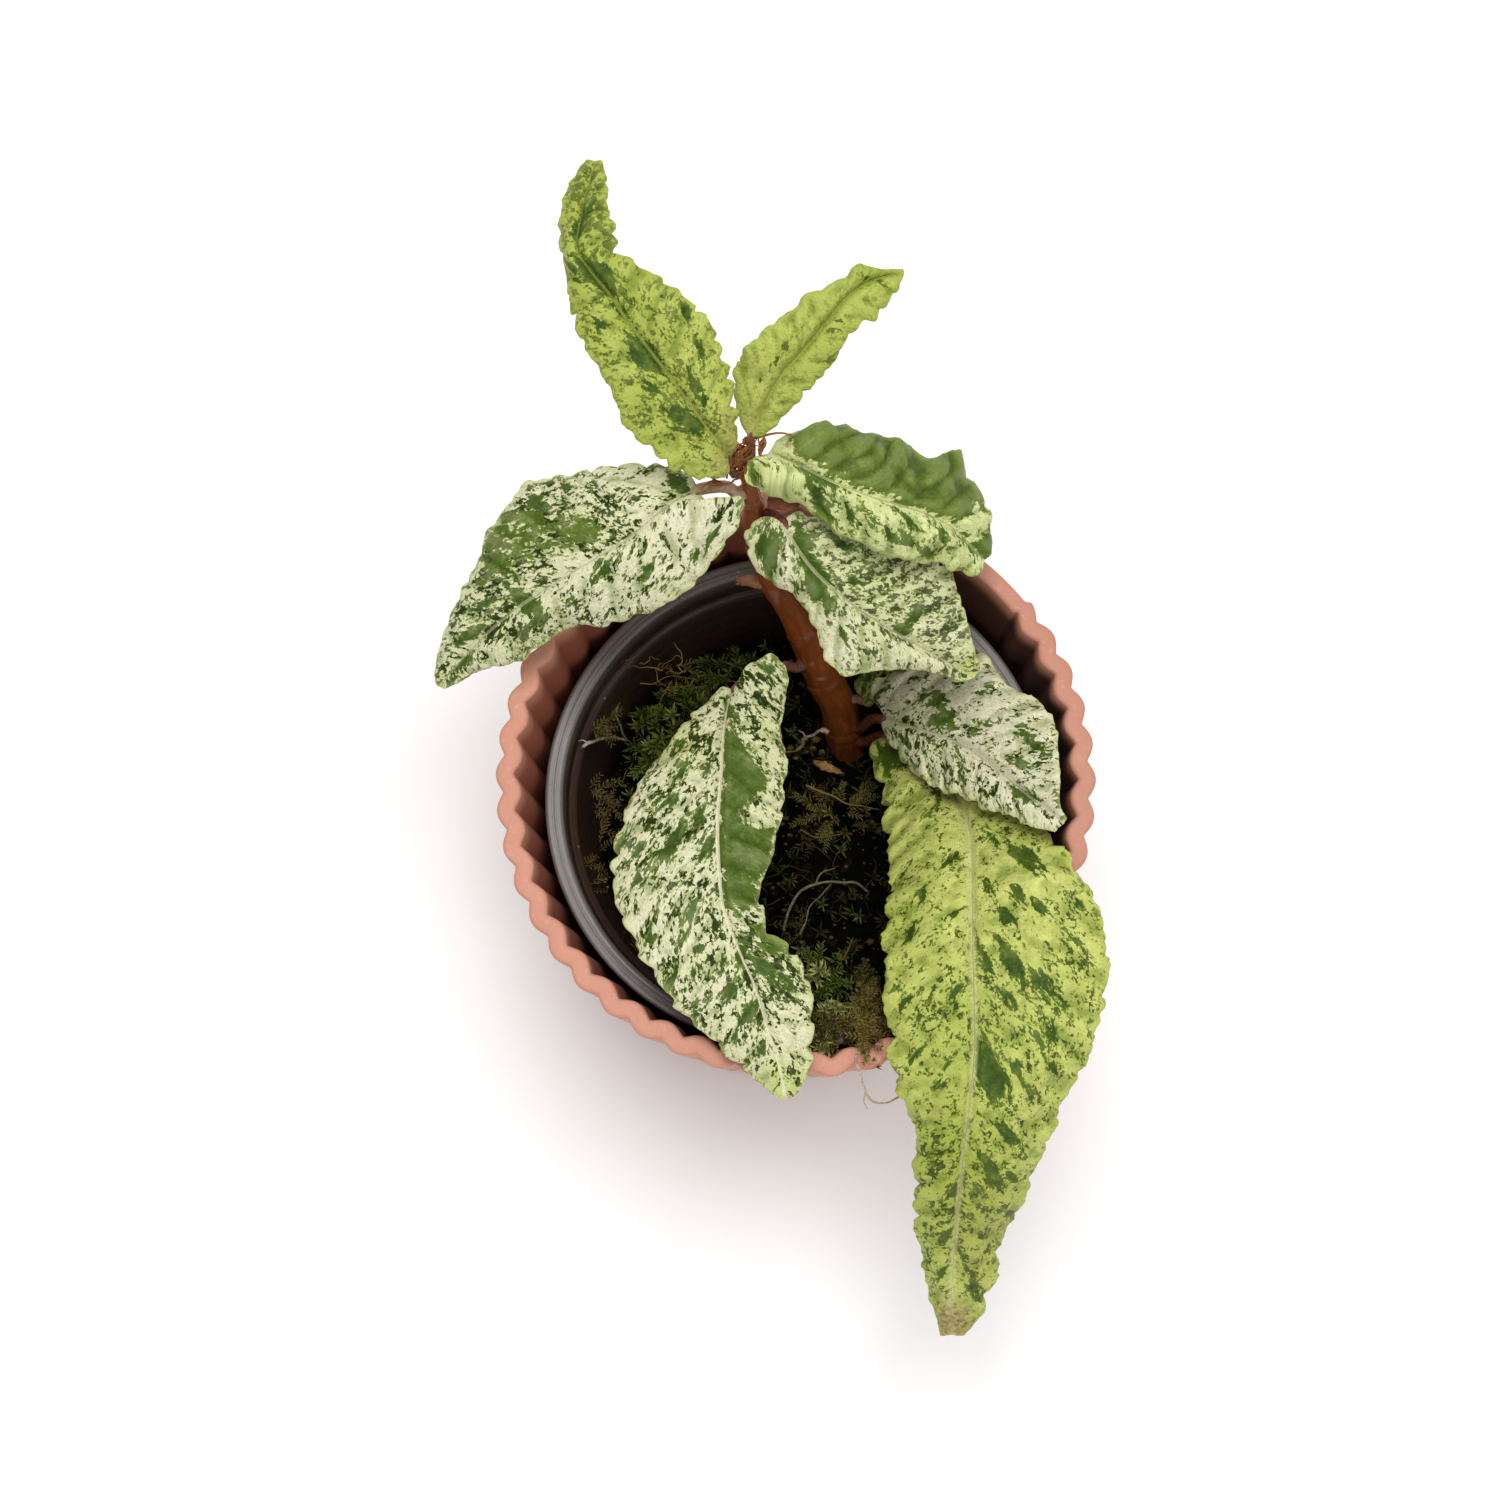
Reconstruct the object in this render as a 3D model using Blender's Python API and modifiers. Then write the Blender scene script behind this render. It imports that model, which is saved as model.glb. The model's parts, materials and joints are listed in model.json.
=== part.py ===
"""Potted pellionia: a variegated trailing plant in a nursery pot inside a
fluted cover pot.

Metres, +Z up.  The origin is the middle of the underside of the cover pot.
-Y is the front, where the longest leaf hangs over the rims.

Each leaf with its petiole grew as one piece and is one solid.  Pieces that
touch keep a gap of 0.3 mm.
"""

import math

import bmesh
import bpy
from mathutils import Matrix, Vector

# ------------------------------------------------------------ dimensions
MM = 0.001
GAP = 0.3                     # clearance between touching pieces, mm

# cover pot (mm)
POT_HEIGHT = 68.0
POT_BULGE_R = 40.05           # outer crest of a flute, at the rim
POT_NOTCH_R = 39.0            # outer notch between flutes, at the rim
POT_INNER_NOTCH_R = 37.7      # inner notch, behind an outer crest
POT_INNER_BULGE_R = 36.6      # inner crest
POT_TAPER = 5.05              # how much smaller every radius is at the base
POT_FLOOR = 3.0
POT_RIM_ROUND = 0.8
POT_FLUTES = 48
POT_FLUTE_PHASE = math.radians(-0.6)
POT_SAMPLES = 4               # outline points on each flute
PLAIN_FROM = math.radians(36.9)   # the plain panel at the back right
PLAIN_TO = math.radians(66.9)
PLAIN_OUTER_R = 39.45
PLAIN_INNER_R = 37.1

# nursery pot (mm)
NP_X, NP_Y = 0.4, -0.3        # where its axis stands in the cover pot
NP_RIM_Z = 55.2
NP_RIM_R = 34.8
NP_RIM_INNER_R = 32.3
NP_SKIRT = 3.6                # how far the rim's outer skirt hangs down
NP_STEP_Z = 50.0              # small stacking step in the wall
NP_BASE_R = 25.6
NP_WALL = 0.9
NP_HOLES = 6
NP_HOLE_R = 2.6

# growing mix and moss (mm)
MIX_TOP = 30.0
MOSS_TOP = 33.0

# leaves (mm)
BLADE = 0.8                   # thickness of a leaf blade
MARGIN = 0.45                 # thickness at a leaf margin

# ------------------------------------------------- plan sheet of the plant
# The plant is set out on a plan sheet 1500 units square.  A sheet point with
# a height z stands where its line of sight from SIGHT reaches that height.
SIGHT = Vector((-6.1, -63.0, 381.0))      # mm
SHEET_TILT = math.radians(78.0)           # the sight's fall below level
SHEET_DIST = 2399.0                       # sheet units
SHEET_MID = 750.0

LOOK = Vector((0.0, math.cos(SHEET_TILT), -math.sin(SHEET_TILT)))
ACROSS = Vector((1.0, 0.0, 0.0))
UPWARD = ACROSS.cross(LOOK)


def place(u, v, z):
    """Sheet point (u, v) at height z mm, as a point in mm."""
    ray = LOOK * SHEET_DIST + ACROSS * (u - SHEET_MID) - UPWARD * (v - SHEET_MID)
    return SIGHT + ray * ((z - SIGHT.z) / ray.z)


# stem: u, v, z, radius
STEM = (
    (851, 762, 22.0, 2.7),
    (848, 752, 30.0, 2.9),
    (843, 728, 36.5, 2.8),
    (838, 705, 41.5, 2.75),
    (826, 682, 46.5, 2.6),
    (815, 660, 51.5, 2.45),
    (798, 620, 59.5, 2.2),
    (777, 587, 66.5, 2.0),
    (762, 558, 73.0, 1.8),
    (754, 530, 78.6, 1.55),
    (754, 506, 83.6, 1.35),
    (749, 484, 87.6, 1.2),
    (746, 469, 90.4, 0.9),
)

# leaves: petiole, midrib, left and right margins (looking from base to tip),
# each a run of (u, v, z)
LEAVES = {
    "leaf_top_left": dict(
        node=(746, 472, 89.8), stalk=0.6,
        petiole=((733, 470, 90.9),),
        mid=((729, 457, 93.0), (710, 432, 96.3), (667, 373, 101.5), (628, 322, 105.0),
             (610, 295, 106.5), (590, 270, 107.5), (577, 248, 108.0), (581, 220, 107.5),
             (586, 195, 106.5), (596, 162, 104.5)),
        left=((727, 460, 93.0), (729, 471, 92.9), (723, 479, 93.0), (711, 478, 93.5),
              (688, 474, 94.6), (668, 462, 96.5), (629, 429, 100.0), (614, 393, 102.0),
              (596, 364, 103.5), (582, 337, 104.5), (571, 302, 105.5), (561, 235, 106.0),
              (567, 192, 105.5), (586, 161, 104.0)),
        right=((734, 453, 93.6), (737, 441, 94.9), (736, 418, 97.2), (730, 391, 99.4),
               (725, 364, 101.0), (719, 344, 102.5), (705, 320, 104.5), (683, 297, 106.0),
               (664, 282, 107.0), (638, 266, 107.5), (614, 252, 107.8), (615, 235, 108.3),
               (609, 217, 108.0), (607, 190, 107.0), (603, 162, 105.0)),
        arch=0.9),
    "leaf_top_right": dict(
        node=None, stalk=0.6,
        petiole=((751, 461, 91.8), (752, 447, 93.0)),
        mid=((751, 435, 94.4), (765, 402, 97.6), (781, 375, 100.6), (803, 350, 103.0),
             (832, 314, 105.5), (848, 295, 106.5), (873, 279, 106.5), (903, 271, 105.0)),
        left=((747, 434, 94.4), (741, 422, 95.2), (735, 398, 97.2), (735, 371, 99.6),
              (745, 352, 102.5), (765, 332, 104.3), (780, 318, 105.3), (801, 301, 106.3),
              (825, 288, 107.0), (848, 275, 107.3), (860, 266, 107.3), (878, 270, 106.5),
              (903, 269, 105.2)),
        right=((755, 437, 94.3), (762, 436, 94.5), (771, 429, 95.3), (786, 414, 96.9),
               (796, 402, 98.5), (812, 383, 100.2), (826, 369, 101.6), (836, 352, 103.0),
               (847, 338, 104.0), (862, 319, 105.0), (874, 316, 105.0), (886, 304, 105.4),
               (896, 290, 105.6), (904, 274, 105.0)),
        arch=0.7),
    "leaf_left": dict(
        node=(750, 490, 86.4), stalk=0.8,
        petiole=((727, 487, 87.4), (712, 487, 88.2)),
        mid=((697, 490, 88.6), (676, 500, 88.8), (650, 519, 88.6), (630, 537, 87.8),
             (597, 557, 86.4), (563, 578, 84.0), (535, 596, 81.5), (507, 616, 79.0),
             (470, 650, 74.5), (439, 686, 70.0)),
        right=((697, 486, 88.6), (688, 475, 88.4), (668, 467, 88.0), (645, 466, 87.4),
               (617, 467, 86.4), (590, 470, 85.0), (566, 476, 83.6), (545, 480, 82.2),
               (525, 487, 80.8), (510, 504, 79.6), (489, 532, 77.6), (479, 562, 76.0),
               (462, 593, 74.0), (454, 613, 72.8), (442, 644, 71.2), (437, 664, 70.0),
               (437, 683, 69.6)),
        left=((699, 494, 88.8), (706, 502, 89.6), (722, 504, 90.4), (738, 496, 90.6),
              (744, 507, 89.6), (736, 528, 87.8), (726, 542, 87.0), (706, 570, 85.2),
              (681, 593, 83.6), (655, 608, 82.0), (624, 619, 80.4), (604, 625, 79.4),
              (573, 626, 78.6), (553, 636, 77.4), (522, 659, 75.0), (502, 664, 74.0),
              (476, 672, 72.0), (446, 688, 69.8)),
        arch=1.2),
    "leaf_right_upper": dict(
        node=(749, 482, 87.9), stalk=0.65,
        petiole=((765, 471, 89.2),),
        mid=((765, 458, 91.0), (780, 459, 91.8), (806, 470, 92.2), (840, 485, 91.6),
             (873, 498, 90.0), (922, 513, 86.4), (955, 530, 83.0), (984, 561, 78.4)),
        left=((767, 455, 91.1), (773, 450, 91.6), (778, 440, 91.8), (793, 434, 91.9),
              (813, 430, 91.6), (834, 427, 90.6), (856, 431, 89.2), (881, 436, 87.4),
              (906, 443, 85.8), (921, 458, 84.8), (936, 459, 84.2), (953, 451, 83.2),
              (962, 456, 82.2), (962, 474, 81.4), (975, 490, 80.4), (985, 508, 79.4),
              (991, 530, 78.4), (990, 552, 77.8)),
        right=((765, 462, 91.0), (760, 466, 91.6), (754, 470, 92.0), (752, 478, 92.0),
               (757, 487, 91.4), (764, 491, 91.0), (773, 496, 90.5), (782, 500, 89.8),
               (806, 506, 89.0), (826, 526, 87.4), (856, 539, 85.8), (886, 553, 83.8),
               (906, 558, 82.6), (939, 564, 80.4), (957, 570, 78.8), (973, 576, 77.6),
               (981, 569, 77.6)),
        arch=1.3),
    "leaf_right_middle": dict(
        node=(754, 514, 81.9), stalk=0.8,
        petiole=((769, 512, 84.2),),
        mid=((784, 522, 85.4), (795, 545, 84.6), (815, 572, 82.8), (840, 595, 80.8),
             (865, 614, 78.6), (890, 630, 76.4), (920, 647, 73.8), (950, 664, 71.2),
             (974, 678, 69.4)),
        left=((788, 516, 85.4), (799, 512, 85.0), (815, 520, 83.8), (840, 532, 82.2),
              (870, 543, 80.2), (900, 554, 78.0), (925, 560, 76.4), (946, 567, 75.0),
              (953, 580, 74.2), (957, 593, 73.5), (962, 608, 72.7), (967, 624, 71.8),
              (970, 638, 71.0), (974, 650, 70.3), (979, 665, 69.4)),
        right=((780, 524, 85.4), (769, 517, 85.9), (757, 520, 86.0), (748, 531, 85.4),
               (748, 546, 84.2), (752, 560, 83.2), (760, 573, 82.2), (776, 584, 81.2),
               (795, 595, 80.2), (805, 607, 79.2), (811, 622, 78.0), (820, 638, 77.0),
               (825, 654, 76.0), (834, 669, 75.0), (847, 675, 74.2), (864, 672, 73.8),
               (885, 670, 73.3), (910, 669, 72.4), (935, 672, 71.0), (960, 681, 69.6)),
        arch=1.0),
    "leaf_small_under": dict(
        node=(836, 700, 42.6), stalk=0.6,
        petiole=(),
        mid=((861, 701, 43.4), (868, 693, 44.0), (880, 682, 44.8), (902, 670, 46.0)),
        left=((860, 698, 43.4), (857, 691, 43.4), (856, 683, 43.6), (860, 675, 44.0),
              (868, 668, 44.6), (880, 660, 45.4), (899, 662, 46.0)),
        right=((863, 705, 43.4), (868, 706, 43.6), (877, 700, 44.0), (888, 692, 44.6),
               (900, 682, 45.4), (906, 672, 46.0)),
        arch=0.3),
    "leaf_right_lower": dict(
        node=(842, 718, 38.8), stalk=0.9,
        petiole=((872, 719, 44.6),),
        mid=((884, 719, 47.0), (915, 728, 53.0), (955, 742, 58.5), (990, 765, 62.8),
             (1025, 793, 66.8), (1063, 822, 71.0)),
        left=((886, 715, 47.0), (880, 708, 47.2), (873, 700, 47.2), (871, 690, 47.6),
              (877, 681, 48.4), (890, 676, 50.0), (910, 668, 52.0), (935, 660, 54.0),
              (955, 652, 56.0), (973, 650, 57.5), (989, 659, 59.5), (1003, 680, 61.5),
              (1016, 689, 63.0), (1036, 700, 65.0), (1046, 710, 66.0), (1053, 723, 67.0),
              (1058, 741, 68.0), (1060, 769, 69.3), (1060, 803, 70.7), (1067, 818, 71.3)),
        right=((882, 722, 46.8), (884, 730, 47.2), (889, 741, 48.6), (900, 752, 50.6),
               (908, 766, 52.6), (917, 775, 54.4), (930, 783, 56.4), (943, 789, 58.2),
               (955, 794, 59.8), (971, 800, 61.8), (988, 809, 63.8), (1008, 815, 66.0),
               (1032, 826, 68.6), (1054, 832, 70.8)),
        arch=0.9),
    "leaf_front_right": dict(
        node=(844, 734, 35.4), stalk=1.0,
        petiole=((874, 738, 39.6),),
        mid=((885, 737, 42.4), (905, 748, 45.4), (930, 766, 49.2), (952, 790, 53.2),
             (965, 815, 57.0), (971, 845, 61.0), (972, 890, 66.0), (972, 936, 70.0),
             (973, 985, 72.6), (974, 1037, 73.6), (972, 1075, 73.2), (967, 1120, 71.2),
             (960, 1180, 66.8), (954, 1245, 60.6), (951, 1300, 54.6), (951, 1334, 50.6)),
        right=((881, 740, 42.4), (873, 743, 42.6), (870, 753, 43.2), (875, 768, 45.0),
               (882, 788, 47.6), (887, 815, 51.0), (889, 845, 54.8), (890, 885, 60.0),
               (886, 930, 65.2), (885, 974, 69.4), (887, 1012, 71.2), (890, 1040, 71.8),
               (892, 1066, 71.6), (904, 1102, 69.8), (916, 1130, 67.8), (917, 1170, 64.6),
               (917, 1226, 59.6), (926, 1281, 54.4), (934, 1310, 51.6), (940, 1335, 49.8)),
        left=((889, 734, 42.6), (905, 738, 44.4), (930, 745, 47.4), (960, 760, 50.8),
              (990, 780, 54.6), (1020, 805, 59.4), (1046, 833, 65.0), (1069, 860, 70.2),
              (1086, 881, 71.4), (1098, 910, 71.8), (1105, 940, 72.0), (1107, 982, 72.0),
              (1098, 1020, 71.6), (1086, 1062, 70.6), (1069, 1087, 69.6), (1056, 1121, 67.6),
              (1035, 1167, 64.0), (1023, 1205, 60.8), (1008, 1226, 58.8), (995, 1268, 55.2),
              (980, 1314, 51.2), (964, 1335, 49.8)),
        arch=1.8),
    "leaf_front_left": dict(
        node=(812, 654, 52.8), stalk=0.9,
        petiole=((784, 666, 55.6), (765, 672, 57.2), (748, 679, 58.8)),
        mid=((734, 692, 60.2), (728, 710, 61.4), (723, 740, 63.4), (721, 778, 65.8),
             (718, 815, 67.8), (718, 850, 69.4), (722, 900, 71.2), (729, 925, 71.8),
             (742, 957, 72.3), (755, 987, 72.6), (768, 1030, 72.2), (778, 1060, 71.5),
             (786, 1094, 70.0)),
        right=((729, 690, 60.2), (722, 687, 60.4), (712, 697, 60.8), (700, 709, 61.2),
               (686, 725, 61.8), (673, 741, 62.4), (658, 757, 62.8), (646, 772, 63.2),
               (634, 795, 64.0), (621, 828, 65.2), (615, 852, 66.0), (614, 876, 66.9),
               (618, 906, 68.2), (631, 931, 69.2), (643, 958, 70.2), (661, 983, 70.8),
               (683, 1013, 71.2), (704, 1032, 71.2), (722, 1050, 71.0), (747, 1072, 70.5),
               (769, 1091, 69.8), (781, 1100, 69.4)),
        left=((738, 689, 60.6), (743, 678, 61.6), (752, 666, 62.4), (765, 659, 62.6),
              (778, 661, 62.4), (786, 673, 62.2), (787, 695, 62.2), (783, 715, 62.6),
              (781, 732, 63.2), (785, 755, 64.2), (785, 778, 65.2), (782, 806, 66.6),
              (777, 832, 67.7), (771, 855, 68.6), (760, 880, 69.4), (760, 903, 70.2),
              (768, 930, 70.9), (788, 948, 71.1), (803, 968, 71.2), (811, 998, 71.2),
              (812, 1030, 70.9), (809, 1060, 70.4), (800, 1083, 69.8), (790, 1099, 69.4)),
        arch=1.1),
}

# small dry pieces round the growing tip: outline base, tip and width
# name: (base u, v, z), (tip u, v, z), half width mm, curl mm
SCALES = {
    "stipule_right": ((770, 499, 86.4), (799, 503, 87.4), 1.2, 0.2),
    "bud_scale_back": ((760, 452, 93.2), (764, 444, 96.6), 0.8, 0.2),
    "bud_scale_front": ((748, 476, 92.6), (744, 468, 96.2), 0.8, 0.2),
}

# loose strands on the moss: radius, run of (u, v, z)
STRANDS = {
    "root_hook": (0.45, ((797, 750, 34.6), (802, 743, 37.2), (809, 736, 39.8),
                         (817, 731, 41.6), (826, 731, 42.4))),
    "root_left_upper": (0.45, ((589, 745, 50.5), (605, 741, 46.5), (615, 738, 42.5),
                               (623, 742, 39.0))),
    "root_left_lower": (0.45, ((619, 712, 42.5), (623, 726, 40.0), (627, 738, 37.6))),
    "root_front": (0.45, ((786, 930, 34.2), (799, 908, 36.0), (822, 893, 36.6),
                          (850, 889, 35.4), (868, 894, 34.2))),
    "rim_hair_root": (0.4, ((859, 1075, 69.6), (863, 1088, 68.0), (873, 1100, 66.0),
                            (886, 1103, 65.0), (898, 1099, 64.6))),
    "dry_thread": (0.3, ((763, 441, 93.2), (768, 436, 93.8), (775, 433, 94.2),
                         (783, 433, 94.2), (790, 434, 93.8))),
}

# moss clumps above the mat: centre u, v; half width, half depth; z; height
CLUMPS = {
    "moss_clump_left": ((674, 730), 5.4, 6.0, 33.9, 6.0),
    "moss_clump_back": ((738, 676), 4.8, 3.6, 33.9, 4.6),
    "moss_clump_brown": ((838, 812), 5.6, 3.6, 33.9, 4.0),
    "moss_clump_front": ((816, 980), 4.0, 4.0, 33.9, 6.0),
}


# --------------------------------------------------------------- helpers
def clear_scene():
    for ob in list(bpy.data.objects):
        bpy.data.objects.remove(ob, do_unlink=True)
    for col in list(bpy.data.collections):
        bpy.data.collections.remove(col)


def collection(name):
    col = bpy.data.collections.new(name)
    bpy.context.scene.collection.children.link(col)
    return col


def material(name, rgb, rough, metal=0.0):
    mat = bpy.data.materials.new(name)
    mat.use_nodes = True
    bsdf = mat.node_tree.nodes["Principled BSDF"]
    bsdf.inputs["Base Color"].default_value = (*rgb, 1.0)
    bsdf.inputs["Roughness"].default_value = rough
    bsdf.inputs["Metallic"].default_value = metal
    mat.diffuse_color = (*rgb, 1.0)
    return mat


def add_object(col, name, mesh, mat):
    mesh.materials.append(mat)
    ob = bpy.data.objects.new(name, mesh)
    col.objects.link(ob)
    return ob


def mesh_from(name, verts, faces, smooth=True, angle=35.0):
    """A mesh from points in mm, with its faces made to point out."""
    me = bpy.data.meshes.new(name)
    me.from_pydata([tuple(Vector(p) * MM) for p in verts], [], faces)
    bm = bmesh.new()
    bm.from_mesh(me)
    bmesh.ops.recalc_face_normals(bm, faces=bm.faces)
    bm.to_mesh(me)
    bm.free()
    me.update()
    if smooth:
        me.shade_smooth()
        me.set_sharp_from_angle(angle=math.radians(angle))
    return me


def evaluated_mesh(ob, name):
    dg = bpy.context.evaluated_depsgraph_get()
    return bpy.data.meshes.new_from_object(ob.evaluated_get(dg), depsgraph=dg)


def spline(points, count=None, stops=None):
    """Points read at even steps, or at the given fractions of its length,
    from a smooth curve through the given points."""
    pts = [Vector(p) for p in points]
    dense = []
    n = len(pts)
    for i in range(n - 1):
        p1, p2 = pts[i], pts[i + 1]
        p0 = pts[i - 1] if i else p1 * 2 - p2
        p3 = pts[i + 2] if i + 2 < n else p2 * 2 - p1
        for k in range(12):
            t = k / 12.0
            dense.append(0.5 * ((2 * p1) + (p2 - p0) * t
                                + (2 * p0 - 5 * p1 + 4 * p2 - p3) * t * t
                                + (3 * p1 - p0 - 3 * p2 + p3) * t ** 3))
    dense.append(pts[-1])
    run = [0.0]
    for a, b in zip(dense, dense[1:]):
        run.append(run[-1] + (b - a).length)
    if stops is None:
        stops = [k / (count - 1.0) for k in range(count)]
    out = []
    j = 0
    for s in stops:
        target = s * run[-1]
        while j < len(run) - 2 and run[j + 1] < target:
            j += 1
        span = run[j + 1] - run[j]
        f = 0.0 if span == 0 else (target - run[j]) / span
        out.append(dense[j].lerp(dense[j + 1], min(max(f, 0.0), 1.0)))
    return out


def loft(loops):
    """Faces that join closed loops of equal length, with both ends capped."""
    m = len(loops[0])
    verts = [p for loop in loops for p in loop]
    faces = []
    for i in range(len(loops) - 1):
        for j in range(m):
            a, b = i * m + j, i * m + (j + 1) % m
            faces.append((a, b, b + m, a + m))
    faces.append(tuple(range(m)))
    faces.append(tuple(range(len(verts) - m, len(verts))))
    return verts, faces


# ------------------------------------------------------------- cover pot
def cover_outline(outer):
    """Angle and radius of the fluted outline at the rim."""
    out = []
    total = POT_FLUTES * POT_SAMPLES
    for k in range(total):
        phase = (k % POT_SAMPLES) / POT_SAMPLES          # 0 at an outer crest
        angle = POT_FLUTE_PHASE + 2 * math.pi * k / total
        around = (angle + 1e-6) % (2 * math.pi)
        if PLAIN_FROM + 0.01 < around < PLAIN_TO - 0.01:
            radius = PLAIN_OUTER_R if outer else PLAIN_INNER_R
        elif outer:
            radius = POT_NOTCH_R + (POT_BULGE_R - POT_NOTCH_R) * abs(math.cos(math.pi * phase))
        else:
            radius = POT_INNER_NOTCH_R - (POT_INNER_NOTCH_R - POT_INNER_BULGE_R) * abs(
                math.sin(math.pi * phase))
        out.append((angle, radius))
    return out


def cover_pot(col, mat):
    outer, inner = cover_outline(True), cover_outline(False)
    rr = POT_RIM_ROUND
    rings = [(outer, 0.0, -0.8), (outer, 0.8, 0.0), (outer, POT_HEIGHT - rr, 0.0),
             (outer, POT_HEIGHT, -rr), (inner, POT_HEIGHT, rr * 0.75),
             (inner, POT_HEIGHT - rr * 0.75, 0.0), (inner, POT_FLOOR, 0.0)]
    loops = []
    for line, z, off in rings:
        taper = POT_TAPER * (1.0 - z / POT_HEIGHT)
        loops.append([(math.cos(a) * (r - taper + off), math.sin(a) * (r - taper + off), z)
                      for a, r in line])
    verts, faces = loft(loops)
    return add_object(col, "cover_pot", mesh_from("cover_pot", verts, faces, angle=28.0), mat)


# ----------------------------------------------------------- nursery pot
def wall_radius(z):
    """Inside radius of the nursery pot's wall below its step."""
    f = (z - GAP - POT_FLOOR - NP_WALL) / (NP_STEP_Z - GAP - POT_FLOOR - NP_WALL)
    return NP_BASE_R + (30.9 - NP_BASE_R) * f


def nursery_pot(col, cutters, mat):
    base = POT_FLOOR + GAP
    floor = base + NP_WALL
    profile = [(NP_RIM_R - 0.3, NP_RIM_Z - NP_SKIRT), (NP_RIM_R, NP_RIM_Z - 0.8),
               (NP_RIM_R - 0.7, NP_RIM_Z), (NP_RIM_INNER_R + 0.5, NP_RIM_Z),
               (NP_RIM_INNER_R, NP_RIM_Z - 0.7), (NP_RIM_INNER_R - 0.4, NP_STEP_Z),
               (30.9, NP_STEP_Z - 0.9), (NP_BASE_R + 0.6, floor + 1.0),
               (NP_BASE_R - 0.6, floor), (0.0, floor)]
    me = bpy.data.meshes.new("nursery_pot_profile")
    me.from_pydata([(r * MM, 0.0, z * MM) for r, z in profile], [],
                   [(i, i + 1) for i in range(len(profile) - 1)])
    ob = add_object(col, "nursery_pot", me, mat)
    ob.location = (NP_X * MM, NP_Y * MM, 0.0)
    screw = ob.modifiers.new("turn", "SCREW")
    screw.steps = screw.render_steps = 36
    screw.use_merge_vertices = True
    screw.merge_threshold = 0.00005
    screw.use_normal_calculate = True
    solid = ob.modifiers.new("wall", "SOLIDIFY")
    solid.thickness = NP_WALL * MM
    solid.offset = -1.0
    solid.use_even_offset = True
    for k in range(NP_HOLES):
        a = 2 * math.pi * (k + 0.5) / NP_HOLES
        bpy.ops.mesh.primitive_cylinder_add(
            vertices=10, radius=NP_HOLE_R * MM, depth=6 * MM,
            location=((NP_X + 16 * math.cos(a)) * MM, (NP_Y + 16 * math.sin(a)) * MM, base * MM))
        cut = bpy.context.active_object
        cut.name = "drain_hole_cutter_%d" % (k + 1)
        for c in list(cut.users_collection):
            c.objects.unlink(cut)
        cutters.objects.link(cut)
        cut.hide_render = True
        cut.display_type = "WIRE"
        hole = ob.modifiers.new("drain_hole_%d" % (k + 1), "BOOLEAN")
        hole.object = cut
        hole.operation = "DIFFERENCE"
        hole.solver = "EXACT"
    return ob


# ---------------------------------------------------- growing mix, moss mat
def bump(x, y, size):
    """Gentle fixed unevenness of a surface, -1 to 1."""
    return (math.sin(x * 0.61 / size + 1.3) * math.cos(y * 0.53 / size - 0.4)
            + 0.6 * math.sin((x + y) * 1.07 / size + 2.1)
            + 0.4 * math.cos((x - 1.7 * y) * 1.31 / size)) / 2.0


def disc_solid(name, cx, cy, low, high, top_z, swell, around=28, across=3):
    """A round plug: low and high are (radius, z) of its wall's two ends, and
    its top is a little uneven."""
    loops = [[(cx + low[0] * math.cos(a), cy + low[0] * math.sin(a), low[1])
              for a in (2 * math.pi * k / around for k in range(around))]]
    for i in range(across + 1):
        r = high[0] * (1.0 - i / (across + 0.35))
        loop = []
        for k in range(around):
            a = 2 * math.pi * k / around
            x, y = cx + r * math.cos(a), cy + r * math.sin(a)
            z = high[1] if i == 0 else top_z + swell * bump(x, y, 5.0)
            loop.append((x, y, z))
        loops.append(loop)
    verts, faces = loft(loops)
    return mesh_from(name, verts, faces)


def stem_hole(ob, cutters, name):
    """Cuts clearance for the stem out of a solid, along the stem's line."""
    pts = [place(*p[:3]) for p in STEM[:4]]
    start = pts[0] + (pts[0] - pts[1]).normalized() * (GAP + 1.2)
    path = spline([start] + pts, 8)
    cut = add_object(cutters, name, tube_mesh(name, path, [3.9] * 8, 14), cutters_mat[0])
    cut.hide_render = True
    cut.display_type = "WIRE"
    mod = ob.modifiers.new("stem_hole", "BOOLEAN")
    mod.object = cut
    mod.operation = "DIFFERENCE"
    mod.solver = "EXACT"


# ------------------------------------------------------------------ tubes
def frames(path):
    """A side and an up vector at each point, carried along without twist."""
    tang = []
    for i in range(len(path)):
        a = path[max(i - 1, 0)]
        b = path[min(i + 1, len(path) - 1)]
        tang.append((b - a).normalized())
    side = Vector((0, 0, 1)).cross(tang[0])
    if side.length < 0.2:
        side = Vector((0, 1, 0)).cross(tang[0])
    out = []
    for t in tang:
        side = (side - t * side.dot(t)).normalized()
        out.append((side.copy(), t.cross(side)))
    return out


def tube_mesh(name, path, radii, sides):
    loops = []
    for p, r, (s, w) in zip(path, radii, frames(path)):
        loops.append([p + (s * math.cos(a) + w * math.sin(a)) * r
                      for a in (2 * math.pi * k / sides for k in range(sides))])
    verts, faces = loft(loops)
    return mesh_from(name, verts, faces)


def stem_points(count):
    pts = spline([place(*p[:3]) for p in STEM], count)
    radii = [p.x for p in spline([(p[3], 0.0, i * 5.0) for i, p in enumerate(STEM)], count)]
    return pts, radii


def stem(col, mat):
    """Thick jointed stem; a low ring stands at each node."""
    pts, radii = stem_points(34)
    for k in (7, 12, 17, 22, 26):
        radii[k] += 0.22
    return add_object(col, "stem", tube_mesh("stem", pts, radii, 12), mat)


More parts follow.
